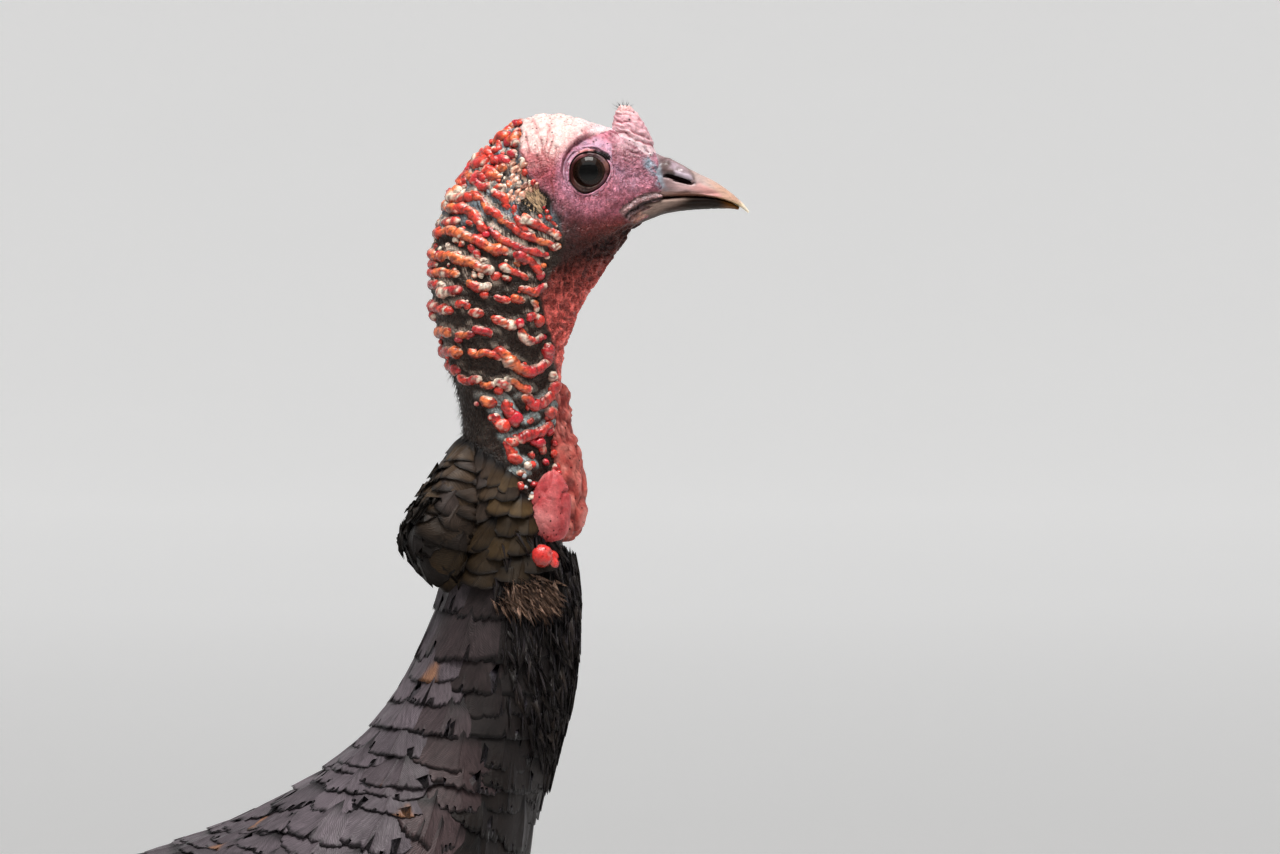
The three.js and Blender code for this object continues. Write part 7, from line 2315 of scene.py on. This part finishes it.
class TURKEY_OT_skin(bpy.types.Operator):
    """Covers head, neck and trunk with one skin: folds, lids, snood, dewlap and wattles"""

    bl_idname = "turkey.skin"
    bl_label = "Skin"

    def execute(self, context):
        settings = context.scene.turkey_skin
        skin = Skin()
        paths = ridge_paths(skin)
        flesh = Heap()
        add_flesh(flesh, skin, paths)
        finish = skin_finish("bare_skin", settings.wetness, glow=settings.glow, gloss=0.2)
        make_piece("skin", flesh, finish, FLESH_NODES)
        lumps = Heap()
        add_lumps(lumps, skin, paths)
        make_piece("neck_lumps", lumps, skin_finish("lump_skin", settings.wetness - 0.2, 1.1, 0.16, settings.glow, 0.5))
        bristles = Heap()
        add_bristles(bristles, skin)
        make_piece("face_bristles", bristles, bristle_finish("face_bristle"))
        tufts = Heap()
        add_ear_tufts(tufts, skin)
        make_piece("ear_tufts", tufts, bristle_finish("ear_bristle"), ("ear_right", "ear_left"))
        return {"FINISHED"}


class TURKEY_OT_face(bpy.types.Operator):
    """Makes the eyes and the two halves of the bill"""

    bl_idname = "turkey.face"
    bl_label = "Eyes and bill"

    def execute(self, context):
        finish = eye_finish("wet_eye")
        for name, sign in SIDES:
            heap = Heap()
            add_eye(heap, sign)
            make_piece(f"eyeball_{name}", heap, finish, [f"eye_{name}"])
        horn, dull = horn_finish("bill_horn", 0.26, 0.42), horn_finish("lower_bill_horn", 0.36, 0.06)
        upper, lower, hollow = Heap(), Heap(), Heap()
        flat, faces, colour = bill_part(BILL_UPPER, upper_bill_relief, upper_bill_colour, 0.8)
        upper.add(flat, faces, colour)
        # Near-black lenses in the nostrils' slits: painted shade of their depth.
        for _, sign in SIDES:
            add_nostril_shade(hollow, bill_part(BILL_UPPER, lambda p: 0 * p[..., 0], upper_bill_colour, 0.8)[0], sign)
        lower.add(*bill_part(BILL_LOWER, lower_bill_relief, lower_bill_colour, 0.6))
        make_piece("upper_bill", upper, horn, ["bill_upper"])
        make_piece("nostril_shade_lenses", hollow, horn_finish("nostril_shade_horn", 0.8, 0.0))
        make_piece("lower_bill", lower, dull, ["bill_lower"])
        return {"FINISHED"}


class TURKEY_OT_plumage(bpy.types.Operator):
    """Feathers the neck, the nape, the trunk and the thighs"""

    bl_idname = "turkey.plumage"
    bl_label = "Body feathers"

    def execute(self, context):
        skin = Skin()
        scaly = vane_finish("ruff_vane", 0.46, 0.0, (0.7, 0.6, 0.5, 1), 0.6, 0.12, fray=0.5)
        dark = vane_finish("neck_vane", 0.46, 0.05, gloss=0.16, fray=0.9)
        bronze = vane_finish("body_vane", 0.48, 0.05, (0.7, 0.62, 0.5, 1), 0.95, 0.2)
        coats = (
            ("ruff_feathers", ruff_coat, scaly, ["nape_tuft"]), ("neck_strands", hair_coat, dark, []),
            ("neck_shingles", upper_shingles, dark, []), ("shoulder_shingles", lower_shingles, dark, []),
            ("breast_feathers", breast_coat, bronze, []), ("back_feathers", back_coat, bronze, []),
        )
        for name, coat, finish, replaced in coats:
            heap = Heap()
            coat(heap, skin)
            make_piece(name, heap, finish, replaced, bake_map=True)
        heap = Heap()
        for name, sign in SIDES:
            thigh_coat(heap, name, sign)
        make_piece("thigh_feathers", heap, dark, bake_map=True)
        return {"FINISHED"}


class TURKEY_OT_wings(bpy.types.Operator):
    """Makes the folded wings: coverts, secondaries and barred primaries"""

    bl_idname = "turkey.wings"
    bl_label = "Wings"

    def execute(self, context):
        finish = vane_finish("wing_vane", 0.48, 0.10, (0.7, 0.6, 0.48, 1), 0.95, 0.28)
        quill = vane_finish("quill_vane", 0.52, 0.14, (0.6, 0.58, 0.55, 1), 1.0, 0.35, bars=(14.0, PALE_BAR))
        for name, sign in SIDES:
            coverts, quills = Heap(), Heap()
            wing_coat(coverts, quills, sign)
            make_piece(f"wing_coverts_{name}", coverts, finish, [f"wing_{name}"], bake_map=True)
            make_piece(f"wing_quills_{name}", quills, quill, [f"primaries_{name}"], bake_map=True)
        return {"FINISHED"}


class TURKEY_OT_tail(bpy.types.Operator):
    """Makes the folded tail and the coverts over and under its root"""

    bl_idname = "turkey.tail"
    bl_label = "Tail"

    def execute(self, context):
        quills, coverts = Heap(), Heap()
        tail_coat(quills, coverts)
        barred = vane_finish("tail_vane", 0.5, 0.14, (0.7, 0.55, 0.4, 1), 1.1, 0.35, bars=(6.5, (0.03, 0.02, 0.016)))
        make_piece("tail_quills", quills, barred, ["tail"], bake_map=True)
        finish = vane_finish("covert_vane", 0.48, 0.10, (0.7, 0.55, 0.42, 1), 1.0, 0.28)
        make_piece("tail_cover_feathers", coverts, finish, ["tail_coverts_upper", "tail_coverts_lower"], bake_map=True)
        return {"FINISHED"}


class TURKEY_OT_legs(bpy.types.Operator):
    """Makes the scaled shanks and toes with their claws and spurs, and the beard"""

    bl_idname = "turkey.legs"
    bl_label = "Legs and beard"

    def execute(self, context):
        scales, horn = scale_finish("leg_scales"), horn_finish("claw_horn", 0.36)
        for name, sign in SIDES:
            leg, claws, spur = Heap(), Heap(), Heap()
            add_shank(leg, name, sign)
            for toe in TOES:
                add_toe(leg, claws, name, sign, toe)
            add_spur(spur, name, sign)
            toes = [f"toe_{toe[0]}_{name}" for toe in TOES]
            make_piece(f"leg_{name}", leg, scales, [f"shank_{name}"] + toes)
            make_piece(f"claws_{name}", claws, horn, [f"claw_{toe[0]}_{name}" for toe in TOES])
            make_piece(f"spur_horn_{name}", spur, horn, [f"spur_{name}"])
        heap = Heap()
        add_beard(heap)
        make_piece("beard_bristles", heap, bristle_finish("beard_bristle"), ["beard"])
        return {"FINISHED"}


FLESH_NODES = [
    "head", "neck_upper", "neck_lower", "trunk", "snood", "dewlap", "wattle_right", "wattle_left", "thigh_right", "thigh_left",
]
SETTINGS = {"turkey_stage": TurkeyStageSettings, "turkey_skin": TurkeySkinSettings}
OPERATORS = [
    TURKEY_OT_stage, TURKEY_OT_skin, TURKEY_OT_face, TURKEY_OT_plumage, TURKEY_OT_wings, TURKEY_OT_tail, TURKEY_OT_legs,
]


class TURKEY_PT_panel(bpy.types.Panel):
    """Lists the steps that dress the turkey"""

    bl_idname = "TURKEY_PT_panel"
    bl_label = "Wild turkey"
    bl_space_type = "VIEW_3D"
    bl_region_type = "UI"
    bl_category = "Turkey"

    def draw(self, context):
        for name, group in SETTINGS.items():
            box = self.layout.box()
            for field in group.__annotations__:
                box.prop(getattr(context.scene, name), field)
        for operator in OPERATORS:
            self.layout.operator(operator.bl_idname)


def register():
    for group in SETTINGS.values():
        bpy.utils.register_class(group)
    for operator in OPERATORS:
        bpy.utils.register_class(operator)
    bpy.utils.register_class(TURKEY_PT_panel)
    for name, group in SETTINGS.items():
        setattr(bpy.types.Scene, name, bpy.props.PointerProperty(type=group))


def unregister():
    for name in SETTINGS:
        delattr(bpy.types.Scene, name)
    bpy.utils.unregister_class(TURKEY_PT_panel)
    for thing in OPERATORS[::-1] + list(SETTINGS.values())[::-1]:
        bpy.utils.unregister_class(thing)


def main():
    register()
    for operator in OPERATORS:
        group, name = operator.bl_idname.split(".")
        getattr(getattr(bpy.ops, group), name)()


if __name__ == "__main__":
    main()
